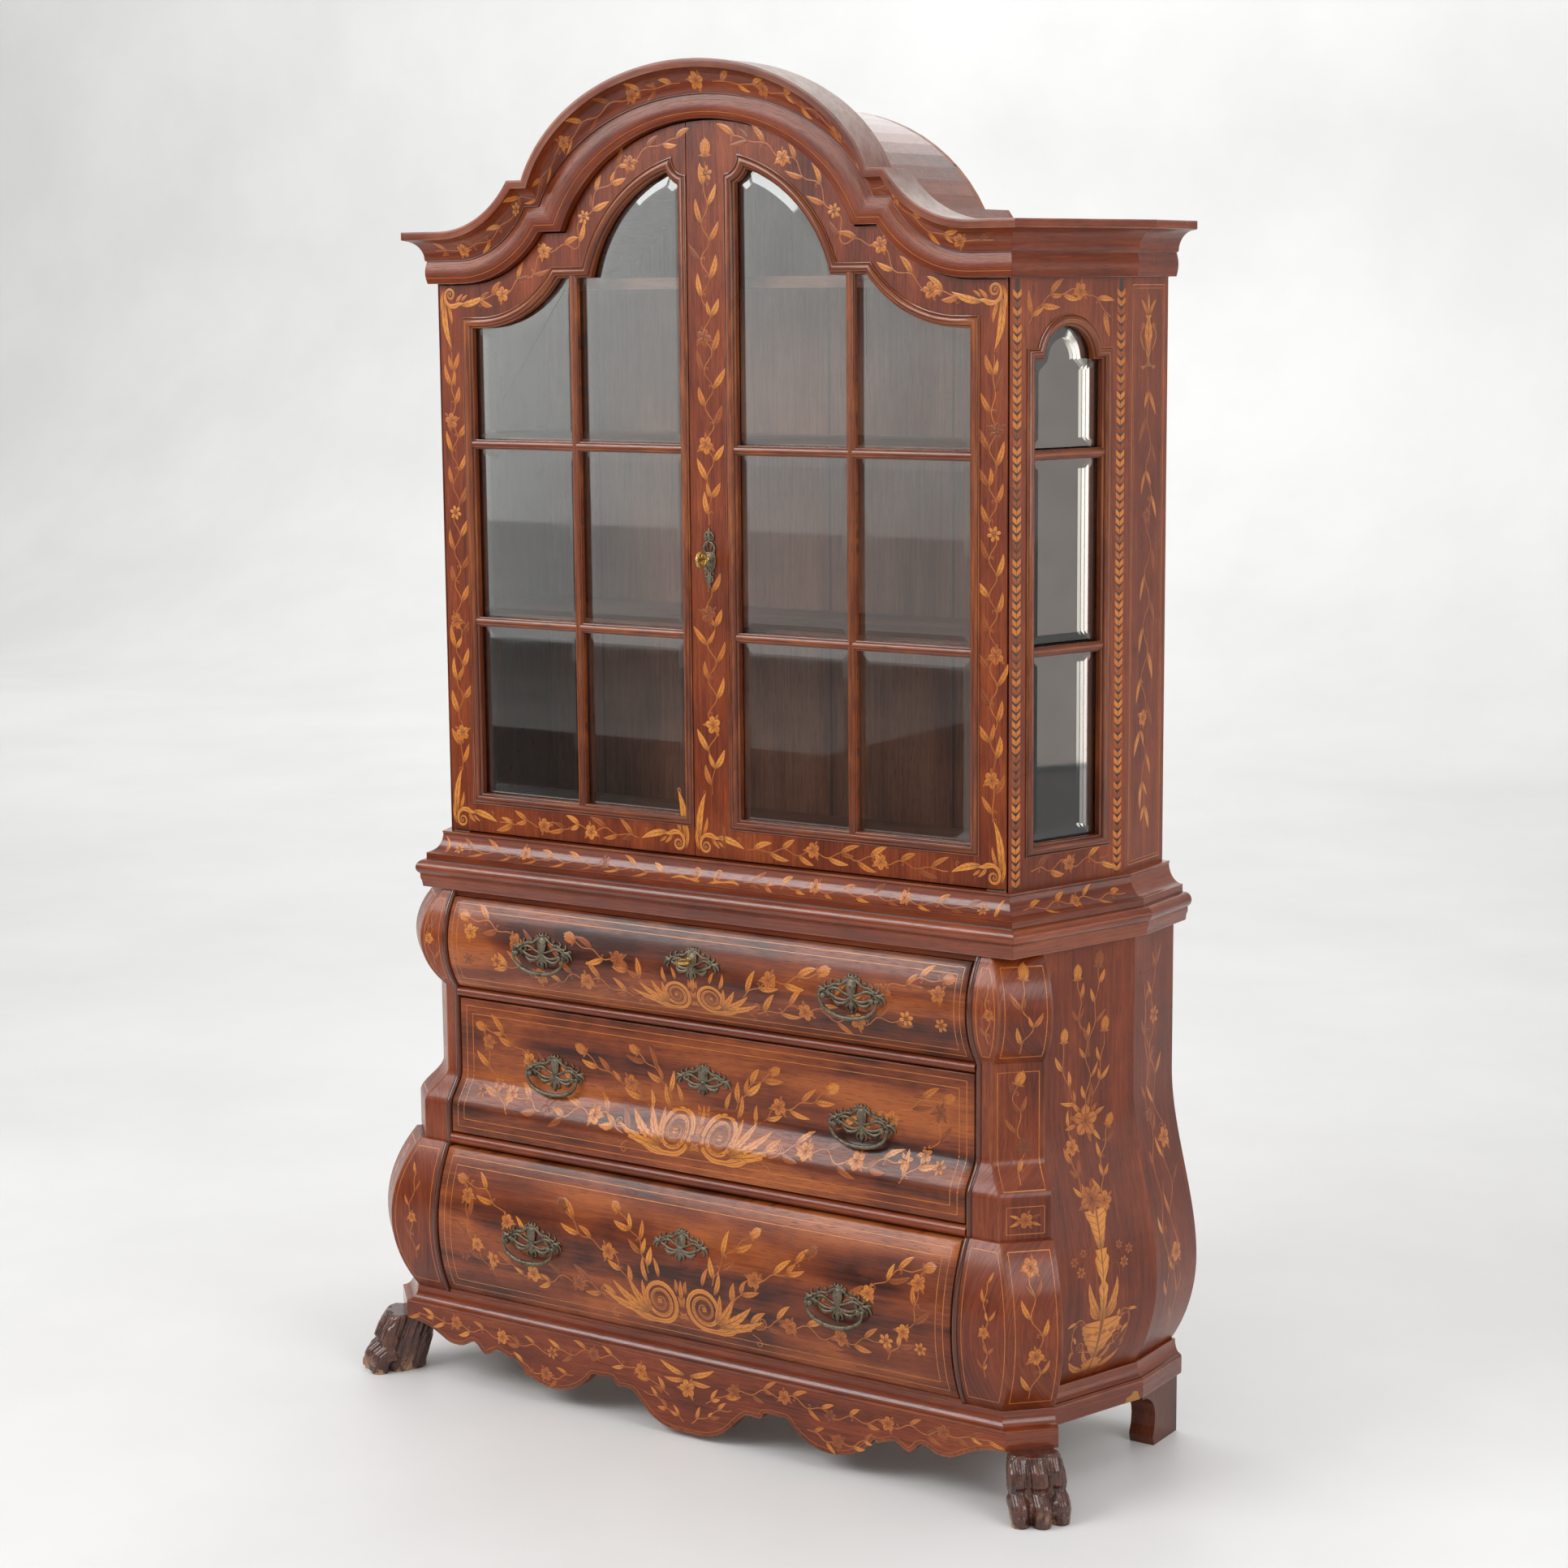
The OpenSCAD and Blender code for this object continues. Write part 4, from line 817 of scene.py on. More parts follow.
def bar(shape, surface, a, b, proud, number, width=15):
    """A glazing bar from a to b on a face, half round in front."""
    half = width / 2
    line = [(-half + 1, 12, 0), (-half + 1, 4.5, 0), (-half, 4, 0.3), (-half, 2.6, 0.6),
            (-half + 1.2, 2.0, -0.8)]
    line += [((half - 1.3) * -cosd(t), 2 - (2 + proud) * sind(t), 0.0) for t in steps(10, 170, 10)]
    line += [(half - 1.2, 2.0, -0.8), (half, 2.6, 0.6), (half, 4, 0.3), (half - 1, 4.5, 0), (half - 1, 12, 0)]
    way = Vector((b[0] - a[0], b[1] - a[1]))
    length = way.length
    way /= length
    rows = []
    for d in steps(0, length, 6):
        rows.append([shape.point(surface(a[0] + way.x * d - way.y * c, a[1] + way.y * d + way.x * c, -y),
                                 (d, c, number * 19.0), w)
                     for c, y, w in line])
    shape.grid(rows, closed=True)
    shape.cap(rows)


def case_front(side=1):
    return lambda u, v, h: (side * u, -h, v)


def case_side(side=1):
    def at(u, v, h):
        return (side * (FRONT_HALF + u * SIDE_C + h * SIDE_S), u * SIDE_S - h * SIDE_C, v)
    return at


def case_rear(side=1):
    return lambda u, v, h: (side * (BACK_HALF + h), u, v)


def pane(shape, outline, surface, bevel=21):
    """One pane with a ground bevel: outline(j) is its edge moved in by j."""
    levels = [(0, PANE_Y + PANE_THICK), (0, PANE_Y + 1.8), (bevel, PANE_Y + 0.05), (bevel + 0.6, PANE_Y)]
    rows = [[shape.point(surface(x, z, -y)) for x, z in outline(j)] for j, y in levels]
    shape.grid(rows, closed=True)
    shape.face(tuple(rows[-1]))
    shape.face(tuple(reversed(rows[0])))


def rectangle(x0, x1, z0, z1):
    return lambda j: [(x0 + j, z0 + j), (x1 - j, z0 + j), (x1 - j, z1 - j), (x0 + j, z1 - j)]


def square_panes(bottom, spans):
    """Outlines of the panes below the top bar, by how far they are moved in."""
    levels = [bottom + PANE_EDGE, *BARS_Z]
    made = []
    for k, z0 in enumerate(levels[:-1]):
        low = z0 + (PANE_GAP if k else 0)
        made += [rectangle(x0, x1, low, levels[k + 1] - PANE_GAP) for x0, x1 in spans]
    return made


def door_panes(m):
    """The four square panes of a door and the two under its arch."""
    edge, cut = PANE_EDGE, PANE_GAP
    made = square_panes(GLASS_Z0, ((m + edge, BAR_X - cut), (BAR_X + cut, GLASS_X1 - edge)))
    z0 = BARS_Z[-1] + cut
    made.append(lambda j: [(m + edge + j, z0 + j), (BAR_X - cut - j, z0 + j)]
                + head_part(m, edge + j, right=BAR_X - cut - j))
    made.append(lambda j: [(BAR_X + cut + j, z0 + j), (GLASS_X1 - edge - j, z0 + j)]
                + head_part(m, edge + j, left=BAR_X + cut + j))
    return made


def build_door_glazing(side, m, name):
    """Bead, bars and panes of one door; m is where its opening starts."""
    s, face = Shape(), case_front(side)
    ring(s, lambda i: opening(m, i), face, 1)
    bar(s, face, (BAR_X, GLASS_Z0 + 10), (BAR_X, 922), 2.0, 2)
    for k, z in enumerate(BARS_Z):
        bar(s, face, (m + 10, z), (GLASS_X1 - 10, z), 1.7, 3 + k)
    s.build(f"{name}_glazing_bars", name, "dark_wood", [bead_wood], [f"{name}_moulding"])
    s = Shape()
    for outline in door_panes(m):
        pane(s, outline, face)
    s.build(f"{name}_panes", name, "bevelled_glass", [pane_glass], [f"{name}_glass"], crease=0.4)


def side_panes():
    made = square_panes(SIDE_Z0, ((SIDE_MID_S - SIDE_HALF + PANE_EDGE, SIDE_MID_S + SIDE_HALF - PANE_EDGE),))

    def head(j):
        line = side_opening(PANE_EDGE + j)
        return [(line[0][0], BARS_Z[-1] + PANE_GAP + j), (line[1][0], BARS_Z[-1] + PANE_GAP + j)] + line[2:]
    return made + [head]


def build_side_glazing():
    s, g = Shape(), Shape()
    for side in (-1, 1):
        face = case_side(side)
        ring(s, side_opening, face, 7 + side)
        for k, z in enumerate(BARS_Z):
            bar(s, face, (SIDE_MID_S - SIDE_HALF + 10, z), (SIDE_MID_S + SIDE_HALF - 10, z), 0.5,
                9 + k + side * 2)
        for outline in side_panes():
            pane(g, outline, face)
    s.build("side_glazing_bars", "cabinet", "dark_wood", [bead_wood], ["side_mouldings"])
    g.build("side_panes", "cabinet", "bevelled_glass", [pane_glass], ["side_glass"], crease=0.4)


# ---- Base ----
FRONT_LEVELS = [BASE_TOP] + steps(SWELL_TOP, NECK_TOP, 22) + steps(NECK_BOT, BLOCK_TOP, 14)
LOWER_LEVELS = steps(BLOCK_BOT, PLINTH_TOP, 30)


def post_levels():
    """Height and swell down a corner post; the block's lower edge steps out to the lower scroll."""
    made = [(z, 0.0 if z > SWELL_TOP else swell(z)) for z in FRONT_LEVELS]
    return made + [(BLOCK_BOT + 0.5, UPPER_SWELL),
                   (BLOCK_BOT, UPPER_SWELL)] + [(z - 0.01, lower_line(z - 0.01)) for z in LOWER_LEVELS]


BEAD_X, BEAD_R = 504.6, 4.3


def build_post(side, name):
    """One scrolled corner post, with the bead along its inner edge."""
    s = Shape()
    rows, beads = [], []
    levels = post_levels()
    for (z, out), down in zip(levels, travelled(levels)):
        c, d = post_corner(out), post_end(out)
        section = [((POST_IN, 20), 0), ((POST_IN, c[1] + 0.6), 0), ((POST_IN + 0.6, c[1]), 0.4),
                   ((POST_IN + 9.6, c[1]), -0.6),
                   ((POST_IN + 11, c[1]), 0), ((c[0] - 3, c[1]), 0), ((c[0] - 0.7, c[1]), 0.8),
                   ((c[0] + 0.5, c[1] + 0.5), 0.8),
                   ((c[0] + 2.6, c[1] + 2.6), 0), ((d[0] - 3, d[1] - 3), 0), ((d[0] - 0.6, d[1] - 0.6), 0.8),
                   ((d[0] - 0.6, d[1] + 0.6), 0.8), ((559.5, 49.9), 0)]
        rows.append([s.point((side * x, y, z), (down, across, 50.0 + side), wear)
                     for ((x, y), wear), across in zip(section, travelled([p for p, _ in section]))])
        beads.append([s.point((side * (BEAD_X - BEAD_R * cosd(a)),
                               -POST_Y - out - BEAD_R * 0.95 * sind(a) + 0.6, z), (down, a * 0.06, 60.0), 0)
                      for a in steps(0, 180, 10)])
    s.grid(rows, closed=True)
    s.face(tuple(rows[0]))
    s.face(tuple(reversed(rows[-1])))
    s.grid(beads, slot=1)
    s.build(f"{name}_veneered", "cabinet", "marquetry_veneer", [veneer, dark_wood], [name])


def sheet_levels():
    return steps(BASE_TOP, SIDE_OGEE, 4) + steps(SIDE_OGEE, SIDE_MID,
                                                 26)[1:] + steps(SIDE_MID, PLINTH_TOP, 14)[1:]


def build_base_sides():
    for side, word in SIDES:
        s = Shape()
        line = [(side_swell(z), z, 0.0) for z in reversed(sheet_levels())]
        line = [(0.3, PLINTH_TOP, 0.0)] + line + [(0.3, BASE_TOP, 0.0)]
        pick = [r for k, r in enumerate(SIDE_RUNS) if (k % 2 == 0) == (side > 0)]
        moulding(s, line, pick, gap=0.05)
        s.grain = [(b, a, 3.0) for a, b, _ in s.grain]
        name = f"base_side_{word}"
        s.build(f"{name}_veneered", "cabinet", "marquetry_veneer", [veneer], [name])


# Rails: top, bottom and front of each; then the slot in the top one for the lock's bolt
RAILS = ((BASE_TOP, -102, -35), (NECK_TOP, -275, -32), (-502, -524, -58), (-772, PLINTH_TOP, -77))
BOLT_FRONT, BOLT_BACK, BOLT_HALF = -13.5, -4.5, 14


def build_rails():
    """The rails between the drawers; the top one is pierced where the lock's bolt goes up into it."""
    s = Shape()
    half = POST_IN - 0.3
    top, low, y = RAILS[0]
    for front, back, spans in ((y, BOLT_FRONT, ((-half, half),)),
                               (BOLT_FRONT, BOLT_BACK, ((-half, -BOLT_HALF), (BOLT_HALF, half))),
                               (BOLT_BACK, 28, ((-half, half),))):
        for x0, x1 in spans:
            profile = rounded([(-back, low), (-front, low), (-front, top), (-back, top)], 0.15)
            moulding(s, profile, [(lambda t, x=x0: (x, -t), lambda t, x=x1: (x, -t))], gap=0.0, cut=8)
    for top, low, y in RAILS[1:]:
        r, mid = (top - low) / 2, (top + low) / 2
        back = 28 if y > -60 else -18
        if r > 6:
            line = [(back, low), (y + 3, low),
                    (y + 3, low + 1.2)] + [(y - r * 0.92 * cosd(a), mid + (r - 1.2) * sind(a))
                                           for a in steps(-90, 90, 14)]
            line += [(y + 3, top - 1.2), (y + 3, top), (back, top)]
        else:
            line = [(back, low), (y, low), (y, top), (back, top)]
        profile = rounded([(-a, b) for a, b in line], 0.6)
        runs = [(lambda t: (-half, -t), lambda t: (half, -t))]
        moulding(s, profile, runs, gap=0.0, cut=8)
    s.build("drawer_beads", "cabinet", "dark_wood", [rail_wood], ["drawer_rails"])


def plinth_profile():
    rise = lower_line(PLINTH_TOP) + 1
    line = [(rise + (PLINTH_SWELL - 2 - rise) * (1 - cosd(a)), PLINTH_TOP - 24 * sind(a))
            for a in steps(0, 90, 10)]
    return [(-18, PLINTH_TOP)] + line + [(PLINTH_SWELL, PLINTH_FACE + 3.4), (PLINTH_SWELL, PLINTH_FACE - 0.2),
                                         (-18, PLINTH_FACE - 0.2)]


def build_plinth():
    """The plinth moulding: a front length over the apron, blocks on the posts, and the sides."""
    s = Shape()
    upper = plinth_profile()
    moulding(s, rounded(upper, 0.7), PLINTH_FRONT[:1], cut=4)
    block = upper[:-2] + [(PLINTH_SWELL, PLINTH_BOT), (-18, PLINTH_BOT)]
    moulding(s, rounded(block, 0.8), PLINTH_FRONT[1:])
    side = [(10, PLINTH_BOT), (PLINTH_SIDE, PLINTH_BOT), (PLINTH_SIDE, PLINTH_FACE),
            (PLINTH_SIDE - 2, PLINTH_FACE + 4)]
    side += [(32 + 10 * (1 - cosd(a)), PLINTH_TOP - 24 * sind(a))
             for a in steps(75, 0, 8)] + [(10, PLINTH_TOP)]
    moulding(s, rounded(side, 0.8), SIDE_RUNS)
    s.build("plinth_band", "cabinet", "moulding_wood", [waist_wood], ["plinth_moulding"])


def arc(x, z, r, a, b, n):
    return [(x + r * cosd(t), z + r * sind(t)) for t in steps(a, b, n)]


APRON_HALF = [(0, -923)] + arc(20, -833, 90, -88, -42, 12) + [(112, -871), (140, -871), (149, -860),
                                                              (176, -860)]
APRON_HALF += arc(272, -800, 101, -143, -37, 18) + [(358, -866), (384, -857), (395, -859), (416, -869),
                                                    (438, -851), (463, -862), (490, -862)]
APRON_HALF += [(510, -853), (534, -842), (560, -836), (584, PLINTH_BOT)]


def eased(points, n=5):
    """The same line with its kinks drawn as short curves (Catmull-Rom), as the band saw left them."""
    made = []
    for k in range(len(points) - 1):
        p = [Vector(points[min(max(k + d, 0), len(points) - 1)]) for d in (-1, 0, 1, 2)]
        for f in steps(0, 1, n)[:-1]:
            q = 0.5 * ((2 * p[1]) + (p[2] - p[0]) * f + (2 * p[0] - 5 * p[1] + 4 * p[2] - p[3]) * f * f
                       + (3 * p[1] - p[0] - 3 * p[2] + p[3]) * f ** 3)
            made.append((q.x, q.y))
    return made + [tuple(points[-1])]


def build_apron():
    """The shaped board under the plinth."""
    s = Shape()
    half = eased(APRON_HALF, 3)
    low = [(-x, z) for x, z in reversed(half)] + half[1:]
    y = -POST_Y - PLINTH_SWELL
    rows = []
    for drop, depth, wear in ((0, 20, 0), (0, 1.0, 0.3), (0.25, 0.25, 0.9), (1.0, 0, 0.9), (5, 0, 0)):
        rows.append([s.point((x, y + depth, z + drop), (x, z, 5.0), wear) for x, z in low])
    for depth, wear in ((0.0, 0), (20.0, 0)):
        rows.append([s.point((x, y + depth, PLINTH_FACE - 0.5), (x, PLINTH_FACE, 5.0), wear) for x, z in low])
    rows.append(rows[0])
    s.grid(rows)
    s.ends(rows)
    s.build("apron_veneered", "cabinet", "marquetry_veneer", [veneer], ["apron"])


# ---- Drawers: top and bottom of each front, handle height, keyhole height ----
DRAWERS = {"upper": (-102, NECK_TOP, -171, -150), "middle": (-275, -502, -380, -345),
           "lower": (-524, -772, -648, -600)}
DRAWER_HALF, DRAWER_GAP, FRONT_BACK, HANDLE_X = 497, 1.5, -15, 298


def drawer_face(u, v, h):
    return (u, -POST_Y - swell(v) - h, v)


def build_drawer_front(key):
    """A front that follows the base's swell, with its four edges eased."""
    top, low = DRAWERS[key][:2]
    z0, z1 = low + DRAWER_GAP, top - DRAWER_GAP
    edge = ((0, -1.6), (0.5, -0.5), (1.6, 0))
    xs = [(-DRAWER_HALF + p, h) for p, h in edge] + [(x, 0) for x in steps(-480, 480, 12)]
    xs += [(DRAWER_HALF - p, h) for p, h in reversed(edge)]
    zs = [(z0 + p, h) for p, h in edge] + [(z, 0)
                                           for z in steps(z0 + 5, z1 - 5,
                                                          34)] + [(z1 - p, h) for p, h in reversed(edge)]
    s = Shape()
    rows = [[s.point(drawer_face(x, z, min(a, b)), (x, z, 90.0 + top), 0.8 if min(a, b) < 0 else 0.0) for x,
             a in xs] for z, b in zs]
    s.grid(rows)
    rim = rows[0] + [r[-1] for r in rows[1:]]
    rim += list(reversed(rows[-1][:-1])) + [r[0] for r in reversed(rows[1:-1])]
    back = [s.point((s.points[k][0], FRONT_BACK, s.points[k][2]), s.grain[k]) for k in rim]
    s.grid([rim, back], closed=True)
    s.face(tuple(back))
    s.build(f"drawer_{key}_veneered", f"drawer_{key}", "marquetry_veneer", [figured], [f"drawer_{key}_front"])


# ---- Marquetry: thin leaves, flowers and strings laid on a surface, in its own u, v millimetres ----
LAID, SUNK, STEP = 0.2, -0.14, 3.0
# Material slots of the marquetry; 0 is the satinwood
STEM, STRING, EBONY = 1, 2, 3


def even(line, step=STEP):
    """The same line cut into even lengths."""
    pts = [Vector(p) for p in line]
    total = sum((b - a).length for a, b in zip(pts, pts[1:]))
    count = max(2, round(total / step))
    made, k, passed = [pts[0]], 0, 0.0
    for j in range(1, count):
        goal = total * j / count
        while passed + (pts[k + 1] - pts[k]).length < goal:
            passed += (pts[k + 1] - pts[k]).length
            k += 1
        made.append(pts[k].lerp(pts[k + 1], (goal - passed) / (pts[k + 1] - pts[k]).length))
    return made + [pts[-1]]


def heading(line, k):
    way = line[min(k + 1, len(line) - 1)] - line[max(k - 1, 0)]
    return math.degrees(math.atan2(way.y, way.x))


def toward(p, angle, length):
    return Vector((p[0] + length * cosd(angle), p[1] + length * sind(angle)))


class Inlay:
    """Pieces laid on a surface; surface(u, v, height) gives the point, and dice every random choice."""
    def __init__(self, surface, seed):
        self.surface, self.shape, self.dice = surface, Shape(), random.Random(seed)

    def local(self, origin, ax=(1, 0), ay=(0, 1), size=1.0):
        """The same inlay in turned, mirrored or scaled coordinates."""
        made = Inlay(lambda u, v, h: self.surface(origin[0] + size * (ax[0] * u + ay[0] * v),
                                                  origin[1] + size * (ax[1] * u + ay[1] * v), h), 0)
        made.shape, made.dice = self.shape, self.dice
        return made

    def halves(self, origin=(0, 0)):
        """The same inlay mirrored to the left and as it is."""
        return [self.local(origin, (side, 0)) for side in (-1, 1)]

    def ribbon(self, line, half, slot=0, tone=0.7, cuts=2, laid=LAID):
        """A strip along line; half is its half width, one number or one for each point."""
        pts = [Vector(p) for p in line]
        total = sum((b - a).length for a, b in zip(pts, pts[1:])) or 1.0
        rows, along, piece = [], 0.0, self.dice.uniform(0, 400)
        for k, p in enumerate(pts):
            along += (p - pts[k - 1]).length if k else 0.0
            a = heading(pts, k) + 90
            w = half[k] if isinstance(half, list) else half
            row = []
            for j in range(-cuts, cuts + 1):
                f = j / cuts
                q = toward(p, a, w * f)
                row.append(self.shape.point(self.surface(q.x, q.y, lerp(laid, SUNK, f ** 4)),
                                            (along, w * f, piece), 0.0, (f, along / total, tone)))
            rows.append(row)
        self.shape.grid(rows, slot)

    def tone(self, fade=0.22):
        return self.dice.uniform(0.12, 0.42) if self.dice.random() < fade else self.dice.uniform(0.58, 0.95)

    def leaf(self, p, angle, length, width, bend=0.0, tone=None, laid=LAID, blunt=1.0, n=8):
        """A leaf from its root p; it starts at angle and turns by bend along its length."""
        line, half, q = [], [], Vector(p)
        for k in range(n + 1):
            f = k / n
            line.append(q.copy())
            fullness = math.sin(math.pi * min(1, 0.03 + 0.95 * f) ** (0.78 * blunt)) ** (0.85 / blunt)
            half.append(max(0.2, width / 2 * fullness))
            q = toward(q, angle + bend * f, length / n)
        self.ribbon(line, half, tone=self.tone() if tone is None else tone, laid=laid)

    def tendril(self, p, angle, length, curl, half=1.1, slot=STEM):
        line, q = [], Vector(p)
        n = max(8, round(length / 1.6))
        for k in range(n + 1):
            line.append(q.copy())
            f = k / n
            q = toward(q, angle + curl * f ** 2.2, length / n)
        self.ribbon(line, half, slot, cuts=1)

    def rose(self, p, r, tone=None, turn=None):
        """Two rings of cupped petals round a dark eye, with sepals showing behind."""
        tone = self.tone(0.15) if tone is None else tone
        turn = self.dice.uniform(0, 72) if turn is None else turn
        for k in range(3):
            a = turn + 120 * k + 30
            self.leaf(toward(p, a, r * 0.7), a, r * 0.75, r * 0.42, tone=tone * 0.6, laid=0.17)
        for k in range(5):
            a = turn + 72 * k
            self.leaf(toward(p, a, r * 0.2), a, r * 0.82, r * 0.98, tone=tone * self.dice.uniform(0.72, 1.0),
                      laid=0.22 + 0.01 * k, blunt=1.5, n=6)
        for k in range(4):
            a = turn + 36 + 90 * k
            self.leaf(toward(p, a, r * 0.04), a + 14, r * 0.5, r * 0.5,
                      tone=tone * self.dice.uniform(0.5, 0.75), laid=0.30 + 0.01 * k, blunt=1.5, n=5)
        self.leaf(toward(p, 90, -r * 0.15), 90, r * 0.3, r * 0.28, tone=tone * 0.15, laid=0.36, blunt=1.6,
                  n=5)

    def daisy(self, p, r, tone=None):
        tone = self.tone(0.3) if tone is None else tone
        for k in range(6):
            a = 60 * k + 15
            self.leaf(toward(p, a, r * 0.22), a, r * 0.8, r * 0.62, tone=tone, laid=0.2 + 0.008 * k,
                      blunt=1.5, n=5)
        self.leaf(toward(p, 0, -r * 0.25), 0, r * 0.5, r * 0.45, tone=tone * 0.3, laid=0.3, blunt=1.7, n=5)

    def tulip(self, p, angle, size, tone=None):
        tone = self.tone(0.2) if tone is None else tone
        for k, (a, w) in enumerate(((30, 0.36), (-30, 0.36), (14, 0.42), (-14, 0.42), (0, 0.44))):
            self.leaf(p, angle + a, size * (1 - abs(a) * 0.006), size * w, bend=-a * 0.9,
                      tone=tone * (0.8 + 0.05 * k), laid=0.2 + 0.015 * k, n=7)
        for a in (64, -64):
            self.leaf(p, angle + a, size * 0.42, size * 0.17, bend=a * 0.6, tone=tone * 0.6, n=5)

    def vine(self, points, pitch=30, sway=6.5, leaf=(36, 13), flowers=(), size=12.5, stem=1.3, fade=0.22,
             pair=0.25, open_angle=35):
        """A wavy stem with a leaf on each bend, and flowers at the given shares of its length."""
        line = even(eased(points, 8))
        count = len(line)
        wave = []
        for k, p in enumerate(line):
            f = min(1.0, 5 * k / count, 5 * (count - 1 - k) / count)
            wave.append(toward(p, heading(line, k) + 90, f * sway * math.sin(math.pi * k * STEP / pitch)))
        self.ribbon(wave, stem, STEM, cuts=1)
        spots = [f * (count - 1) * STEP for f in flowers]
        at, side = pitch / 2, 1
        while at < (count - 1) * STEP - 3:
            k = round(at / STEP)
            if all(abs(at - q) > size * 1.25 for q in spots):
                for flank in (side, -side):
                    if flank == side or self.dice.random() < pair:
                        a = heading(wave, k) + flank * (open_angle + self.dice.uniform(-9, 11))
                        long, wide = (self.dice.uniform(0.8, 1.12) * v for v in leaf)
                        self.leaf(toward(wave[k], a, 0.8), a, long * (1 if flank == side else 0.72),
                                  wide * (1 if flank == side else 0.8),
                                  bend=-flank * self.dice.uniform(12, 40), tone=self.tone(fade))
            if self.dice.random() < 0.3:
                self.tendril(wave[k], heading(wave, k) - side * 30, pitch * 0.55, -side * 330, 0.8)
            at, side = at + pitch, -side
        for j, q in enumerate(spots):
            k = round(q / STEP)
            if at_tip(q, (count - 1) * STEP):
                self.tulip(wave[k], heading(wave, k), size * 1.9)
            elif j % 3 == 2:
                self.daisy(wave[k], size * 0.9)
            else:
                self.rose(wave[k], size)

    def volute(self, centre, r, turns, end, hand=1, band=3.0, tail=(), tail_half=(), tone=0.85):
        """A spiral band that opens out to its end angle, then runs on along tail."""
        line, half = [], []
        count = round(20 * turns)
        for k in range(count + 1):
            f = k / count
            line.append(toward(centre, end - hand * 360 * turns * (1 - f), r * (0.13 + 0.87 * f ** 0.85)))
            half.append(lerp(band * 0.35, band, f ** 0.7))
        self.ribbon([toward(centre, 0, -r * 0.13), toward(centre, 0, r * 0.13)], r * 0.13, tone=tone * 0.8,
                    laid=0.24)
        drawn = eased([tuple(line[-2]), *tail], 5)[5:] if tail else []
        stops = [band, *tail_half]
        for k, p in enumerate(drawn):
            at = k / max(1, len(drawn) - 1) * (len(stops) - 1)
            j = min(int(at), len(stops) - 2)
            line.append(Vector(p))
            half.append(lerp(stops[j], stops[j + 1], at - j))
        self.ribbon(line, half, tone=tone, laid=0.21)

    def corner_scroll(self, tone=0.9):
        """Fills a frame's corner at 0, 0: x runs along the rail and y up the stile."""
        tail = [(8.6, 17), (10.5, 26), (18, 32.5), (28, 33), (37, 30), (46, 29)]
        self.volute((19, 15), 10, 1.5, 180, hand=-1, band=2.7, tail=tail,
                    tail_half=(3.3, 3.6, 4.6, 5.4, 3.6, 0.8), tone=tone)
        self.leaf((7, 26), 94, 76, 15, bend=-30, tone=tone)
        self.leaf((42, 31), -4, 52, 14, bend=-26, tone=tone * 1.08)
        self.leaf((6, 8), 112, 40, 7.5, bend=-40, tone=tone * 0.9, laid=0.16)
        self.leaf((14, 33), 64, 30, 8, bend=24, tone=tone * 0.85)
        self.leaf((31, 28), -52, 21, 7.5, bend=18, tone=tone * 0.8)
        self.leaf((42, 25), -44, 17, 6, bend=22, tone=tone * 0.75)
        self.tendril((78, 24), 30, 20, 330, 0.9)
        self.tendril((16, 94), 110, 18, -330, 0.9)

    def volute_pair(self, size=1.0, flat=1.0):
        """Two spirals side by side with plumes running outwards, centred on 0, 0."""
        for side in (-1, 1):
            half = self.local((0, 0), (side * size, 0), (0, size * flat))
            half.volute((34, 0), 27, 2.6, -90, band=3.9, tail=[(48, -27), (66, -23), (84, -16), (104, -15)],
                        tail_half=(7.0, 7.5, 6.0, 3.5, 0.4), tone=0.86)
            half.volute((34, 0), 19, 1.7, -60, band=1.2, tone=0.2)
            for a, length, wide in ((4, 70, 13), (20, 62, 14), (40, 48, 13), (62, 38, 11)):
                half.leaf((50 + 2 * (length - 40) / 10, -20 + a * 0.10), a, length, wide, bend=28, laid=0.24,
                          tone=0.60 + length / 260)
            for a in (150, 185, 215):
                half.leaf(toward((34, 0), a, 30), a - 40, 17, 7, bend=-50, tone=0.6, laid=0.17)
            half.leaf((34, 30), 84, 24, 8, bend=-30, tone=0.7)
            half.leaf((52, 22), 60, 30, 9, bend=40, tone=0.75)
            half.tendril((112, -12), 10, 46, 520, 1.0)
            half.tendril((104, -20), -20, 34, -430, 1.0)
        self.leaf((0, 8), 90, 34, 10, tone=0.7)

    def strings(self, u0, v0, u1, v1, half=1.05, slot=STRING):
        for a, b in (((u0, v0), (u1, v0)), ((u0, v1), (u1, v1)), ((u0, v0), (u0, v1)), ((u1, v0), (u1, v1))):
            self.ribbon(even([a, b], 6), half, slot, cuts=1)

    def patch(self, corners, slot, tone, laid=0.26):
        """A flat four-cornered piece, corners in order."""
        a, b, c, d = (Vector(p) for p in corners)
        rows = []
        for f in (0, 0.12, 0.88, 1):
            row = []
            for g in (0, 0.12, 0.88, 1):
                q = a.lerp(b, g).lerp(d.lerp(c, g), f)
                inside = 0 < f < 1 and 0 < g < 1
                row.append(self.shape.point(self.surface(q.x, q.y, laid if inside else 0.04),
                                            (q.x, q.y, tone * 50), 0.0, (0.4, 0.55, tone)))
            rows.append(row)
        self.shape.grid(rows, slot)

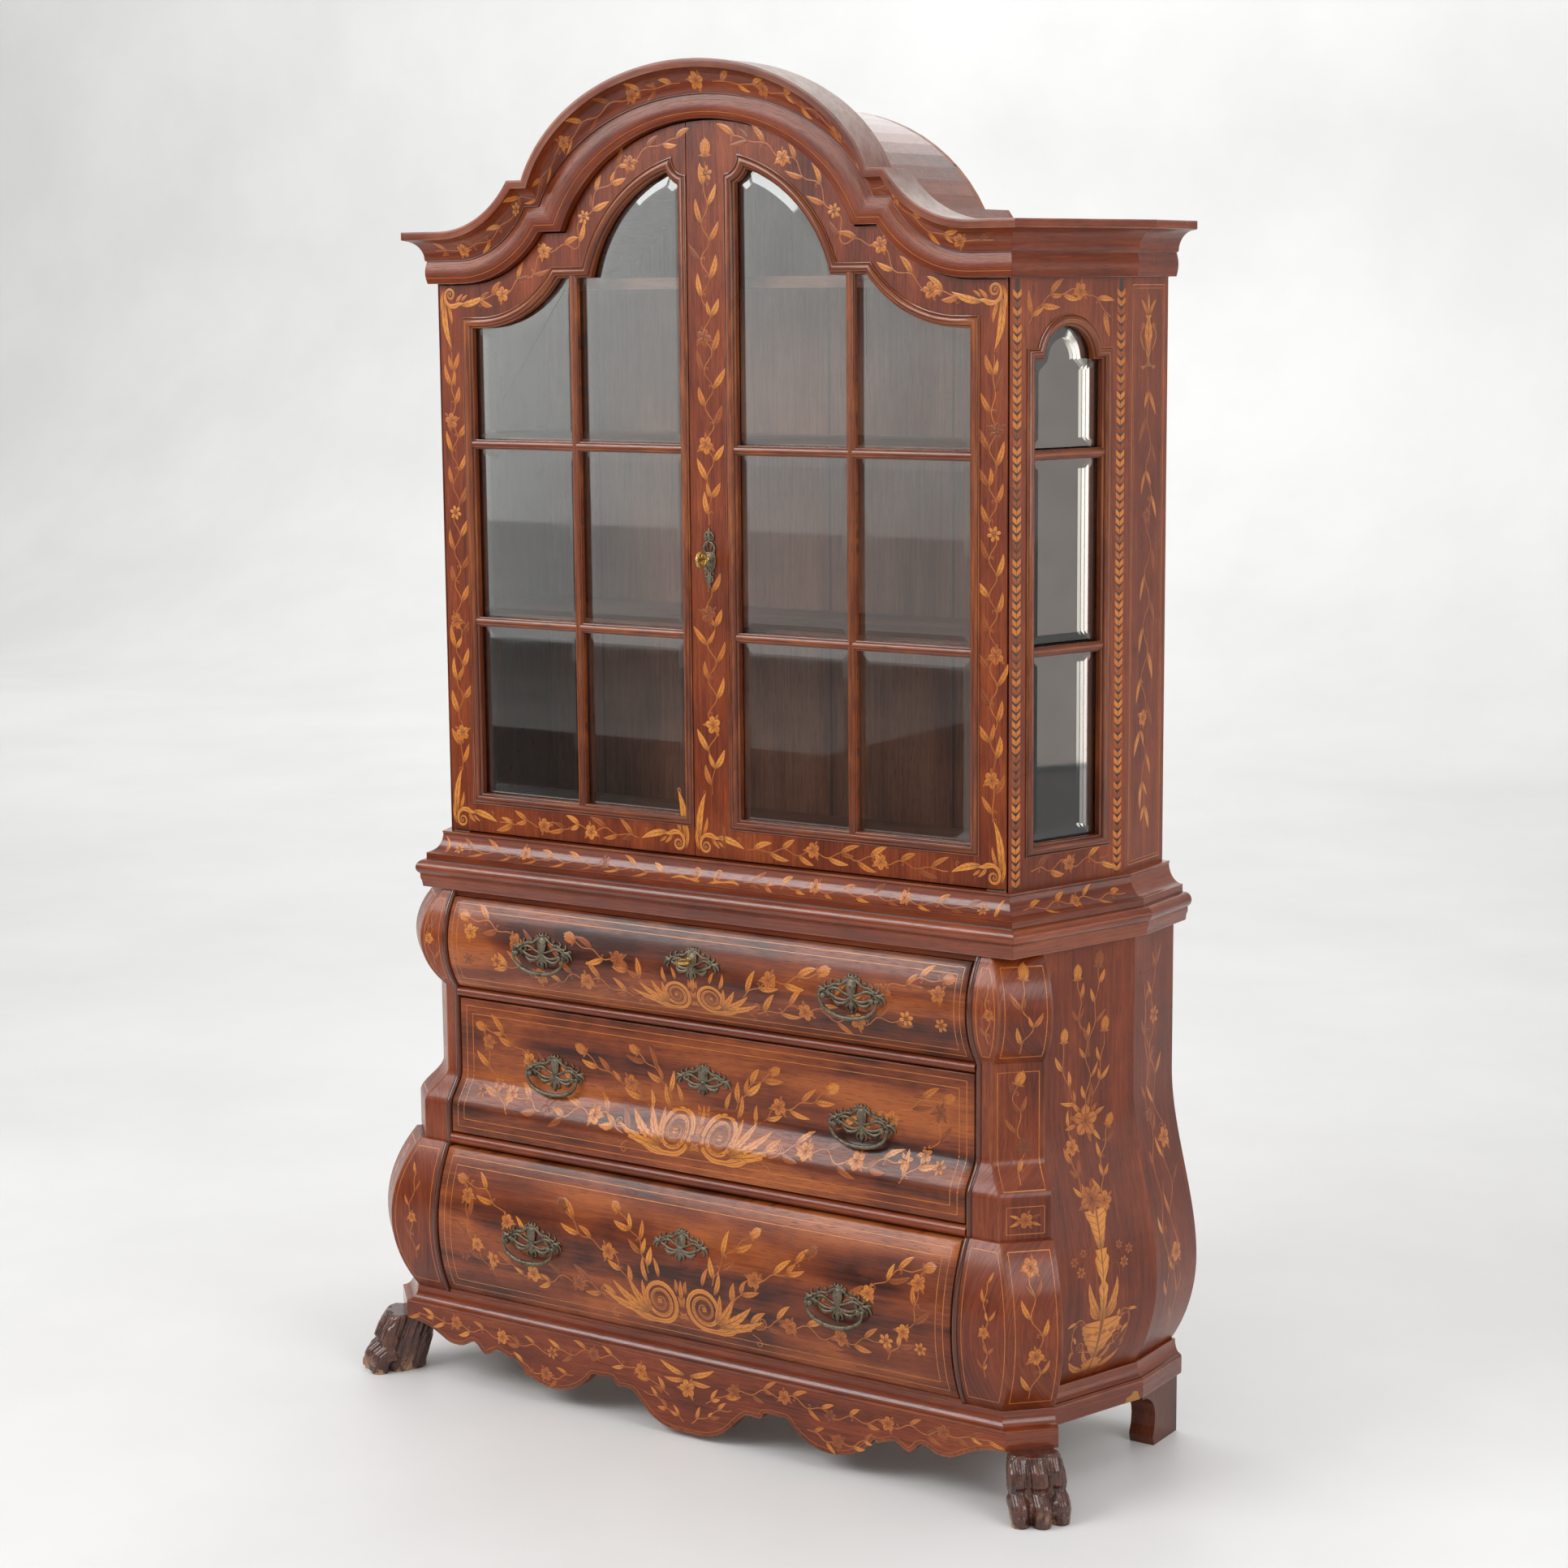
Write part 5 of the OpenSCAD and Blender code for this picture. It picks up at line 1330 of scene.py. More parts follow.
    def chevrons(self, u, v0, v1, half=8.5, pitch=12.6, drop=6.5):
        self.ribbon(even([(u, v0), (u, v1)], 20), half + 0.8, EBONY, laid=0.12, cuts=1)
        v = v0 + 1
        while v < v1 - pitch - drop:
            tone = self.tone(0.2) * 0.85
            for side in (-1, 1):
                self.patch(((u, v), (u + side * half, v + drop), (u + side * half, v + drop + pitch * 0.66),
                            (u, v + pitch * 0.66)), 0, tone)
            v += pitch

    def turned(self, heights, halves, tone=0.9, laid=0.24):
        """An upright turned body such as a vase, from its half width at each height."""
        line, half = [], []
        for (v0, w0), (v1, w1) in zip(zip(heights, halves), list(zip(heights, halves))[1:]):
            for f in steps(0, 1, 3)[:-1]:
                line.append((0, lerp(v0, v1, f)))
                half.append(lerp(w0, w1, smooth(f)))
        self.ribbon(line + [(0, heights[-1])], half + [halves[-1]], tone=tone, laid=laid)

    def urn(self, tone=0.88):
        """A footed two-handled urn, 100 high, with leaves in its mouth."""
        self.turned((0, 3, 7, 12, 22, 44, 58, 64, 69, 74), (11, 11, 4, 3.5, 9, 15, 13, 7, 6, 13), tone)
        for half in self.halves():
            half.volute((19, 60), 6, 1.2, 150, hand=-1, band=1.4, tail=[(24, 48), (20, 34), (11, 24)],
                        tail_half=(1.6, 1.8, 1.4, 0.5), tone=tone * 0.85)
            half.leaf((4, 74), 62, 30, 9, bend=-30, tone=tone * 0.9)
            half.leaf((3, 20), 75, 24, 7, bend=-14, tone=0.35, laid=0.3)
            half.leaf((9, 2), -30, 16, 6, bend=70, tone=tone * 0.7)
        self.leaf((0, 74), 90, 32, 9, tone=tone)

    def build(self, name, body):
        return self.shape.build(name, body, "marquetry_veneer", [inlay, vein_wood, string_wood, ebony],
                                crease=80)


def at_tip(at, total):
    return at > total - 5


def lay_door(side, name, meeting):
    """Corner scrolls and vines on a door; the right door also has the meeting stile."""
    face = case_front(side)
    work = Inlay(face, 21 + side)
    outer, low, mid_rail = 529, 5, 27
    work.local((outer, low), (-1, 0)).corner_scroll()
    work.local((meeting, low)).corner_scroll()
    work.vine([(meeting + 98, 22), (200, mid_rail), (310, mid_rail), (outer - 98, 22)], pitch=27, sway=5,
              flowers=(0.34, 0.67), size=12.5, leaf=(34, 12))
    work.vine([(508, 104), (509, 300), (507, 560), (509, 794)], pitch=27, flowers=(0.09, 0.36, 0.62, 0.84),
              size=13)
    work.local((outer, 902), (-1, 0), (0, -1)).corner_scroll()
    head = blend(HEAD_GLASS, HEAD_DOOR, 0.52)
    line = head_half(head, 430, 10, 16, to=48)[1:]
    work.vine(line, pitch=29, flowers=(0.12, 0.34, 0.56, 0.8), size=12.5, leaf=(33, 12))
    if side > 0:
        work.vine([(0, 104), (2, 300), (-3, 470)], pitch=28, sway=8, flowers=(0.30, 0.78), size=14)
        work.vine([(0, 530), (3, 700), (-2, 900), (0, 1085)], pitch=28, sway=8, flowers=(0.22, 0.52, 0.97),
                  size=14)
        work.local((-31, 5)).leaf((50, 8), 80, 44, 10, bend=24)
        work.tulip((0, 1092), 90, 30)
    work.build(f"{name}_marquetry", name)


def lay_case_sides():
    """Chevron bands and sprays on the side frames, and an urn with a vine on the rear stiles."""
    for side, word in SIDES:
        work = Inlay(case_side(side), 31 + side)
        for s in (14.5, SIDE_LEN - 16.5):
            work.chevrons(s, 3, 903)
        work.vine([(46, 26), (120, 30), (200, 24)], pitch=26, flowers=(0.5,), size=12)
        work.vine([(38, 838), (62, 868), (110, 884), (160, 880), (204, 846)], pitch=24, flowers=(0.62,),
                  size=13, sway=3)
        work.build(f"side_marquetry_{word}", "cabinet")
        rear = Inlay(case_rear(side), 35 + side)
        y0, y1 = TURN_Y + 12, CASE_D - 13
        rear.strings(y0, 10, y1, 893, 1.3)
        rear.strings(y0 + 5, 15, y1 - 5, 888, 0.7)
        mid = (y0 + y1) / 2
        rear.local((mid, 770), size=1.05).urn(0.75)
        rear.vine([(mid, 755), (mid + 6, 500), (mid - 6, 260), (mid, 60)], pitch=40, sway=9,
                  flowers=(0.3, 0.75), size=13, fade=0.3, leaf=(42, 12))
        rear.build(f"rear_marquetry_{word}", "cabinet")


COVE_N = 8


def cornice_surface():
    """u along the cornice's cove from its left end and v up it, 0 to 36."""
    top = inset(HEAD_TOP, FASCIA)
    sheets = [np.array(head_line(blend(HEAD_FRIEZE, top, k / COVE_N), 560)) for k in range(COVE_N + 1)]
    mid = sheets[COVE_N // 2][::-1]
    lengths = np.concatenate([[0], np.cumsum(np.hypot(*np.diff(mid, axis=0).T))])
    lanes = [s[::-1] for s in sheets]
    index = np.arange(len(lengths))

    def at(u, v, h):
        f = min(0.96, max(0.05, v / 36))
        a = math.degrees(math.asin(min(1, (f - 0.04) / 0.92)))
        nx, nz = 34 * cosd(a), 28 * sind(a)
        size = math.hypot(nx, nz)
        f -= h * nz / size / 34
        k = float(np.interp(u, lengths, index))
        j = min(int(k), len(lengths) - 2)
        g = k - j
        lane = min(COVE_N - 1, int(f * COVE_N))
        e = f * COVE_N - lane
        p = ((lanes[lane][j] * (1 - g) + lanes[lane][j + 1] * g) * (1 - e)
             + (lanes[lane + 1][j] * (1 - g) + lanes[lane + 1][j + 1] * g) * e)
        return (p[0], -17 - 28 * (1 - cosd(a)) - h * nx / size, p[1])
    return at, float(lengths[-1])


def lay_cornice():
    """Vines along the cornice from a rose at its top."""
    at, total = cornice_surface()
    work = Inlay(at, 41)
    for half in work.halves((total / 2, 0)):
        half.vine([(30, 17), (total * 0.2, 19), (total * 0.35, 17), (total / 2 - 40, 18)], pitch=30, sway=3.5,
                  leaf=(27, 9), flowers=(0.16, 0.42, 0.68, 0.9), size=11, fade=0.3)
    work.rose((total / 2, 18), 13)
    work.build("cornice_marquetry", "cabinet")


def waist_surface(side=0):
    """v is 0 at the cove's foot and 40 at its top; side 0 is the front."""
    def at(u, v, h):
        f = min(0.97, max(0.03, v / 40))
        out, z = cove_point(f)
        nx, nz = 24 * sind(90 * f), 32 * cosd(90 * f)
        size = math.hypot(nx, nz)
        out, z = out + h * nx / size, z + h * nz / size
        if side == 0:
            return (u, -out, z)
        return (side * (FRONT_HALF + u * SIDE_C + out * SIDE_S), u * SIDE_S - out * SIDE_C, z)
    return at


def lay_waist():
    """Vines along the cove of the waist moulding."""
    work = Inlay(waist_surface(), 51)
    for half in work.halves():
        half.vine([(70, 19), (230, 21), (400, 19), (515, 20)], pitch=28, sway=4, leaf=(27, 9),
                  flowers=(0.3, 0.66, 0.97), size=10.5, fade=0.3)
        half.volute((22, 24), 9, 1.5, -90, band=2.2, tail=[(32, 14), (50, 17), (66, 12)],
                    tail_half=(2.6, 3.4, 2.6, 0.3))
        half.leaf((8, 8), 30, 26, 8, bend=-40, tone=0.9)
        half.leaf((528, 8), 105, 30, 8, bend=-70, tone=0.8)
    work.build("waist_marquetry", "cabinet")
    for side, word in SIDES:
        work = Inlay(waist_surface(side), 53 + side)
        work.vine([(12, 20), (110, 21), (225, 19)], pitch=28, sway=4, leaf=(25, 9), flowers=(0.5,), size=10)
        work.build(f"waist_marquetry_{word}", "cabinet")


def lay_drawer(key):
    """Strings round a drawer front, a pair of volutes in its middle, and vines to both ends."""
    top, low = DRAWERS[key][:2]
    work = Inlay(drawer_face, 60 + len(key) + top % 7)
    high, half = top - low, DRAWER_HALF
    for border in (13, 26) if high > 170 else (9, 19):
        work.strings(-half + border, low + border, half - border, top - border)
    small = high < 170
    base = low + (46 if small else 66)
    work.local((0, base)).volute_pair(0.98 if small else 1.26, 0.86 if small else 1.08)
    reach = half - (34 if small else 46)
    peak = top - (30 if small else 48)
    for h in work.halves():
        h.vine([(120, base - 14), (210, base + 6), (290, base - 4), (reach - 60, base + 14)], pitch=27,
               sway=6, flowers=(0.32, 0.66, 0.97), size=14, fade=0.35)
        h.vine([(96, base + 10), (130, lerp(base, peak, 0.45)), (190, lerp(base, peak, 0.62)),
                (236, peak - 14)], pitch=25, sway=4, flowers=(0.4, 0.98), size=14, fade=0.25)
        h.vine([(250, lerp(base, peak, 0.35)), (330, lerp(base, peak, 0.5)), (385, lerp(base, peak, 0.85)),
                (reach - 6, peak)], pitch=27, sway=5, flowers=(0.5, 0.98), size=13, fade=0.4)
        if not small:
            h.vine([(62, base + 44), (84, lerp(base, peak, 0.7)), (130, peak)], pitch=22, sway=3,
                   flowers=(0.97,), size=12, fade=0.3)
            h.vine([(reach - 70, base - 20), (reach - 20, lerp(base, peak, 0.4)),
                    (reach - 12, lerp(base, peak, 0.75))], pitch=25, sway=4, flowers=(0.45,), size=12,
                   fade=0.3)
        h.daisy((reach - 8, base + 10), 11)
        h.rose((reach - 14, peak - 22), 13)
    work.build(f"drawer_{key}_marquetry", f"drawer_{key}")


def post_slant(side):
    """u 0 to 83 across the slanting face, v the height."""
    def at(u, v, h):
        s = 0.0 if v > SWELL_TOP else swell(v)
        d = u * DIAG + (math.sqrt(2) * s + h) * DIAG
        return (side * (POST_X + d), -POST_Y + u * DIAG - (math.sqrt(2) * s + h) * DIAG, v)
    return at


def lay_posts():
    """Strings and sprays on the slanting faces of the posts and on their fronts."""
    parts = ((-252, -100), (-452, -264), (-517, -461), (-770, -524))
    for side, word in SIDES:
        work = Inlay(post_slant(side), 71 + side)
        for k, (v0, v1) in enumerate(parts):
            edge = 9 if k != 2 else 12
            work.strings(edge, v0 + 7, POST_W - edge, v1 - 7)
            mid = POST_W / 2
            if k == 2:
                work.rose((mid, (v0 + v1) / 2), 12, tone=0.6)
                for a in (20, 160, 200, 340):
                    work.leaf(toward((mid, (v0 + v1) / 2), a, 10), a, 16, 6)
            else:
                work.vine([(mid - 4, v0 + 14), (mid + 6, lerp(v0, v1, 0.4)), (mid - 5, lerp(v0, v1, 0.7)),
                           (mid, v1 - 22)], pitch=30, sway=6,
                          flowers=(0.35, 0.97) if k else (0.97,), size=13, fade=0.45, leaf=(30, 9))
        front = Inlay(lambda u, v, h, s=side: (s * u, -POST_Y - swell(v) - h, v), 75 + side)
        for v0, v1 in (parts[0], parts[3]):
            cut = even([(0, v0 + 8), (0, v1 - 8)], 6)
            left = [(POST_IN + 16, p.y) for p in cut if swell(p.y) > 9]
            right = [(POST_X + swell(p.y) - 8, p.y) for p in cut if swell(p.y) > 9]
            for line in (left, right):
                front.ribbon(line, 0.95, STRING, cuts=1)
            for a, b in ((left[0], right[0]), (left[-1], right[-1])):
                front.ribbon(even([a, b], 5), 0.95, STRING, cuts=1)
            mid = lerp(v0, v1, 0.5)
            span = (v1 - v0) * 0.3
            x = POST_IN + 16 + (swell(mid) + POST_X - 8 - POST_IN - 16) / 2
            front.vine([(x, mid - span), (x + 4, mid), (x, mid + span)], pitch=26, sway=4, flowers=(0.5,),
                       size=9, fade=0.5, leaf=(20, 6))
        work.shape.points += front.shape.points
        shift = len(work.shape.grain)
        work.shape.grain += front.shape.grain
        work.shape.wear += front.shape.wear
        work.shape.leaf += front.shape.leaf
        work.shape.faces += [tuple(i + shift for i in f) for f in front.shape.faces]
        work.shape.slots += front.shape.slots
        work.build(f"pilaster_marquetry_{word}", "cabinet")


def base_side(side):
    def at(u, v, h):
        t = side_swell(v) + h
        return (side * (FRONT_HALF + u * SIDE_C + t * SIDE_S), u * SIDE_S - t * SIDE_C, v)
    return at


def base_rear(side):
    return lambda u, v, h: (side * (BACK_HALF + side_swell(v) + h), u, v)


def lay_base_sides():
    """A tall urn with a bunch of flowers on each side of the base, and sprays behind it."""
    for side, word in SIDES:
        work = Inlay(base_side(side), 81 + side)
        c = 138
        foot = work.local((c, -764))
        foot.turned((0, 8, 14, 22), (36, 20, 26, 8), 0.75)
        for flank in (-1, 1):
            half = foot.local((0, 0), (flank, 0))
            half.leaf((14, 2), 10, 48, 12, bend=50, tone=0.8)
            half.leaf((8, 14), 30, 40, 9, bend=60, tone=0.7)
            half.volute((40, 50), 9, 1.4, -90, band=1.0, tail=[(24, 38), (10, 34)], tail_half=(1.2, 0.8, 0.4),
                        tone=0.7)
            half.vine([(8, 62), (44, 96), (62, 74), (50, 40)], pitch=24, sway=2, leaf=(18, 7), fade=0.3)
            half.leaf((6, 96), 48, 62, 16, bend=44, tone=0.85)
            half.leaf((6, 92), 20, 36, 12, bend=70, tone=0.7)
            half.daisy((46, 172), 9, tone=0.5)
            half.daisy((58, 190), 8, tone=0.4)
            half.daisy((38, 200), 7, tone=0.4)
            half.tendril((34, 150), 80, 40, 200 * flank, 0.4)
        foot.turned((22, 28, 40, 62, 76, 82, 88), (6, 9, 22, 40, 47, 49, 46), 0.86)
        for k in range(5):
            foot.patch(((-32 + 16 * k, 66), (-24 + 16 * k, 72), (-16 + 16 * k, 66), (-24 + 16 * k, 60)), STEM,
                       0.3, laid=0.32)
        foot.turned((88, 100, 124, 140, 150, 170, 186, 192, 200), (8, 6, 9, 12, 5, 14, 18, 12, 15), 0.95)
        foot.turned((200, 204, 214, 240, 252, 260), (5, 8, 12, 20, 27, 30), 0.9)
        bunch = work.local((c, -764 + 262))
        bunch.rose((-6, 14), 22, tone=0.5)
        bunch.rose((20, 8), 15, tone=0.7)
        bunch.vine([(-18, 8), (-30, 60), (-34, 110), (-26, 150)], pitch=27, sway=3, leaf=(28, 10),
                   flowers=(0.62,), size=13, fade=0.3)
        bunch.vine([(18, 8), (26, 60), (40, 100), (48, 118)], pitch=25, sway=3, leaf=(26, 9), flowers=(0.97,),
                   size=13, fade=0.3)
        bunch.rose((2, 132), 24, tone=0.65)
        for a in (20, 75, 130, 190, 310):
            bunch.leaf(toward((2, 132), a, 20), a, 24, 9)
        bunch.vine([(4, 150), (10, 220), (-6, 290), (-14, 356)], pitch=32, sway=5, leaf=(28, 9),
                   flowers=(0.98,), size=14, fade=0.25)
        bunch.vine([(-8, 150), (-34, 190), (-44, 236), (-42, 262)], pitch=30, sway=3, leaf=(28, 10),
                   flowers=(0.97,), size=13, fade=0.3)
        bunch.vine([(14, 150), (34, 200), (40, 240), (44, 268)], pitch=30, sway=3, leaf=(28, 10),
                   flowers=(0.97,), size=14, fade=0.3)
        bunch.vine([(8, 240), (24, 300), (30, 370)], pitch=30, sway=3, leaf=(28, 10), flowers=(0.97,),
                   size=15, fade=0.3)
        work.build(f"base_marquetry_{word}", "cabinet")
        rear = Inlay(base_rear(side), 85 + side)
        rear.vine([(300, -745), (286, -600), (306, -440), (288, -280), (300, -120)], pitch=44, sway=8,
                  leaf=(36, 10), flowers=(0.22, 0.5, 0.82), size=16, fade=0.5)
        rear.vine([(262, -700), (258, -560), (272, -380), (262, -180)], pitch=52, sway=6, leaf=(30, 9),
                  fade=0.6, flowers=(0.6,), size=12)
        rear.build(f"base_rear_marquetry_{word}", "cabinet")


def lay_apron():
    """A string along the apron's edge, and vines from a rose in its middle."""
    work = Inlay(lambda u, v, h: (u, -POST_Y - PLINTH_SWELL - h, v), 91)
    edge = []
    half_line = even(eased(APRON_HALF, 3), 4)
    for k, p in enumerate(half_line[:-2]):
        edge.append(toward(p, heading(half_line, k) + 90, 7))
    for h in work.halves():
        h.ribbon(edge, 0.55, STRING, cuts=1)
        h.vine([(36, -866), (90, -838), (180, -824), (280, -838), (360, -832), (460, -829), (560, -821)],
               pitch=27, sway=5, leaf=(28, 9.5), flowers=(0.12, 0.3, 0.46, 0.66, 0.84), size=12, fade=0.3)
        h.vine([(8, -905), (50, -880), (86, -868)], pitch=24, sway=3, leaf=(22, 8), fade=0.3)
        h.vine([(230, -870), (290, -882), (340, -866)], pitch=24, sway=4, leaf=(22, 8), flowers=(0.5,),
               size=12, fade=0.3)
        h.leaf((6, -826), 10, 50, 12, bend=24, tone=0.9)
        h.leaf((6, -834), -16, 40, 11, bend=30, tone=0.8)
    work.rose((0, -848), 15, tone=0.9)
    work.build("apron_marquetry", "cabinet")


def lay_frieze():
    """Boxwood strings along the frieze."""
    s = Shape()
    for f in (0.26, 0.74):
        head = blend(HEAD_DOOR, HEAD_FRIEZE, f)
        y = -13.8 - 3.2 * sind(180 * f)
        line = [Vector(p) for p in head_line(head, 546)]
        rows = []
        for k, p in enumerate(line):
            row = []
            a = heading(line, k) + 90
            for w, h in ((-0.6, -0.15), (0, 0.22), (0.6, -0.15)):
                q = toward(p, a, w)
                row.append(s.point((q.x, y - h, q.y), (k * 6.0, w, 7.0)))
            rows.append(row)
        s.grid(rows)
    s.build("frieze_string", "cabinet", "marquetry_veneer", [string_wood])


# ---- Cast and chased brass ----
BAIL_HALF, PIN_UP, POST_OUT, BAIL_DROP = 44, -4, 12, 31


class Casting:
    """Rods, curls and buttons of metal laid on a face, in millimetres from its middle."""
    def __init__(self, shape, surface, up=(0, 1, 0)):
        self.shape, self.surface, self.up = shape, surface, up

    def flipped(self):
        return Casting(self.shape, lambda u, v, h: self.surface(-u, v, h), self.up)

    def rod(self, line, radii, lift=1.3, flat=0.62, n=4, sides=8):
        drawn = eased(line, n)
        centres, thick = [], []
        for k, (u, v) in enumerate(drawn):
            j = min(k // n, len(radii) - 2)
            r = lerp(radii[j], radii[j + 1], k / n - j)
            centres.append(self.surface(u, v, lift + r * 0.25))
            thick.append(r)
        self.shape.tube(centres, thick, sides, flat, self.up)

    def curl(self, centre, r, end, hand, turns=1.3, thick=1.4, lift=1.6):
        line, count = [], round(10 * turns)
        for k in range(count + 1):
            f = k / count
            line.append(tuple(toward(centre, end - hand * 360 * turns * (1 - f), r * (0.15 + 0.85 * f))))
        self.rod(line, [lerp(thick * 0.8, thick, k / count) for k in range(count + 1)], lift, n=1)
        self.knob(centre, thick * 1.2, lift)

    def knob(self, p, r, lift=1.5, tall=1.0):
        def around(reach, height):
            return [self.shape.point(self.surface(p[0] + reach * cosd(b), p[1] + reach * sind(b), height))
                    for b in range(0, 360, 45)]

        rows = [around(r * cosd(a), lift + tall * r * sind(a)) for a in (0, 35, 65)]
        rows.insert(0, around(r, lift - 0.9))
        self.shape.grid(rows, closed=True)
        self.shape.face(tuple(rows[-1]))
        self.shape.face(tuple(reversed(rows[0])))


def side_scrolls(c):
    """One half of a mount: arms out to the flower at its end, with curls and leaves."""
    c.rod([(0, -5), (12, -10), (25, -9), (36, -4), (44, -1)], (2.5, 2.1, 2.6, 2.2, 2.0))
    c.rod([(0, -3), (13, 1), (27, 7), (38, 5), (46, 0)], (2.3, 1.9, 2.4, 2.1, 1.8))
    c.rod([(0, -6), (14, -15), (26, -16), (34, -10)], (2.0, 2.4, 3.2, 0.9))
    c.rod([(16, -14), (24, -19), (31, -16)], (1.2, 1.9, 0.6))
    c.rod([(5, 23), (13, 18), (21, 13), (30, 13), (38, 9), (47, 6)], (2.0, 2.7, 2.0, 2.5, 2.0, 2.5))
    c.curl((12, 22.5), 4.4, 250, 1, 1.2, 1.4)
    c.curl((24, 18), 3.6, 250, 1, 1.1, 1.2)
    c.curl((34, 1), 3.0, 90, -1, 1.0, 1.1)
    c.rod([(34, 10), (38, 15), (35, 20)], (2.0, 1.7, 0.6))
    c.rod([(44, 6), (49, 11), (47, 17)], (2.2, 1.6, 0.5))
    c.rod([(46, 3), (54, 2), (59, -3), (61.5, -8)], (2.8, 3.3, 2.2, 0.5))
    c.rod([(49, -1), (54, -7), (52, -12)], (2.2, 1.8, 0.6))
    c.rod([(52, 4), (58, 6), (61, 4)], (2.0, 1.5, 0.5))
    for p, r in (((29, 13), 3.4), ((41, 8), 3.2), ((52, 2), 3.6), ((26, -9), 2.6)):
        c.knob(p, r)
    c.rod([(0, -12), (7, -17), (9, -23), (5, -26)], (2.2, 2.1, 1.6, 0.6))
    c.curl((7, -13), 2.6, 200, 1, 1.0, 1.0)
    c.rod([(2, 24), (7, 28), (5, 31)], (2.2, 1.7, 0.6))


def mount(c, keyhole):
    """A pierced backplate; keyhole opens its middle, which else is a shell."""
    side_scrolls(c)
    side_scrolls(c.flipped())
    c.rod([(0, -7), (0, -16), (0, -24), (0, -30.5)], (3.2, 4.4, 3.4, 0.6))
    c.rod([(0, 22), (0, 27), (0, 31)], (3.6, 3.9, 0.7))
    if keyhole:
        ring_line = [(8.5 * sind(a), 9 + 13.5 * cosd(a)) for a in range(0, 361, 20)]
        c.rod(ring_line, [2.4] * len(ring_line), n=1, lift=1.8)
        c.rod([(0, -3), (0, 4), (0, 12), (0, 20)], (4, 8, 8, 5), lift=0.5, flat=0.22)
    else:
        c.rod([(0, -5), (0, 4), (0, 13), (0, 21), (0, 25)], (3.5, 7.6, 9.0, 7.5, 3.5), lift=0.9, flat=0.34)
        for x in (-5.5, -2.0, 2.0, 5.5):
            c.rod([(x * 0.4, -3), (x, 5), (x * 1.15, 14), (x * 0.6, 22)], (1.0, 1.1, 1.1, 0.7), lift=3.1,
                  sides=6)


def keyhole_shade_plate(surface, name, body, size=1.0):
    """A dark plate standing in the keyhole: painted shade where the opening behind the plate would be in
    shadow.
    """
    s = Shape()
    ring_points = [(3.4 * cosd(a), 2.6 + 3.4 * sind(a))
                   for a in range(-50, 231, 20)] + [(-1.7, -1), (-2.2, -7), (2.2, -7), (1.7, -1)]
    top = [s.point(surface(u * size, v * size, 3.5)) for u, v in ring_points]
    low = [s.point(surface(u * size, v * size, -0.2)) for u, v in ring_points]
    s.plate(top, low)
    # The near-black plate stands in for the shadow inside the keyhole: painted shade
    s.build(name, body, "dark_wood", [ebony], crease=30)


def build_mounts(key):
    """Handle plates with their posts, and the keyhole plate, of one drawer."""
    s = Shape()
    handle, hole = DRAWERS[key][2:]
    for x in (-HANDLE_X, HANDLE_X):
        mount(Casting(s, lambda u, v, h, x=x: drawer_face(x + u, handle + v, h)), False)
        pivot_y = -POST_Y - swell(handle) - POST_OUT
        for side in (-1, 1):
            at, z = x + side * BAIL_HALF, handle + PIN_UP
            face_y = -POST_Y - swell(z)
            line = [(face_y + 0.5, 6.6), (face_y - 2.2, 6.8), (face_y - 3.4, 5.2), (face_y - 5.5, 3.4),
                    (pivot_y + 3.2, 3.3), (pivot_y + 2.4, 4.5),
                    (pivot_y - 2.2, 4.6), (pivot_y - 3.8, 3.4), (pivot_y - 4.4, 1.2)]
            s.tube([(at, y, z) for y, _ in line], [r for _, r in line], 14, 1.0, (0, 0, 1))
    size = 0.86
    mount(Casting(s, lambda u, v, h: drawer_face(u * size, hole - 7 + v * size, h)), True)
    keyhole_shade_plate(lambda u, v, h: drawer_face(u, hole + v, h), f"drawer_{key}_keyhole", f"drawer_{key}")
    s.build(f"drawer_{key}_castings", f"drawer_{key}", "aged_brass", [brass], [f"drawer_{key}_mounts"],
            crease=60)


def build_bails(key):
    """Drop handles: a swelling rod worked as a garland, with a scroll eye at each pivot."""
    handle = DRAWERS[key][2]
    pivot_y, pivot_z = -POST_Y - swell(handle) - POST_OUT, handle + PIN_UP
    for side, word in SIDES:
        s = Shape()
        x = side * HANDLE_X
        line, radii = [], []
        for a in steps(2, 178, 88):
            line.append((x - 51 * cosd(a), pivot_y, pivot_z - BAIL_DROP * sind(a) ** 0.85))
            worked = smooth((sind(a) - 0.35) * 4)
            radii.append(2.0 + 0.9 * sind(a) + worked * (0.35 + 0.55 * abs(math.sin(math.radians(a * 11)))))
        s.tube(line, radii, 10, 1.0, (0, 1, 0))
        for flank in (-1, 1):
            s.tube([(x + flank * 51, pivot_y, pivot_z + 1), (x + flank * 48, pivot_y, pivot_z),
                    (x + flank * 40.5, pivot_y, pivot_z)], [2.2, 1.8, 1.8], 10)
            s.blob((x + flank * 51, pivot_y, pivot_z), 3.8, (1, 0.8, 1), rings=6, sides=10)
            for d in (12, 24):
                a = 90 + flank * d
                s.blob((x - 51 * cosd(a), pivot_y - 1.2, pivot_z - BAIL_DROP * sind(a) ** 0.85), 3.2,
                       (1.25, 0.75, 0.9), rings=6, sides=8)
        s.blob((x, pivot_y - 1, pivot_z - BAIL_DROP), 4.2, (1.3, 0.75, 0.95), rings=6, sides=10)
        s.build(f"drawer_{key}_bail_{word}_cast", f"bail_{key}_{word}", "aged_brass", [brass],
                [f"drawer_{key}_bail_{word}"], crease=60)


KEY_Z = 477


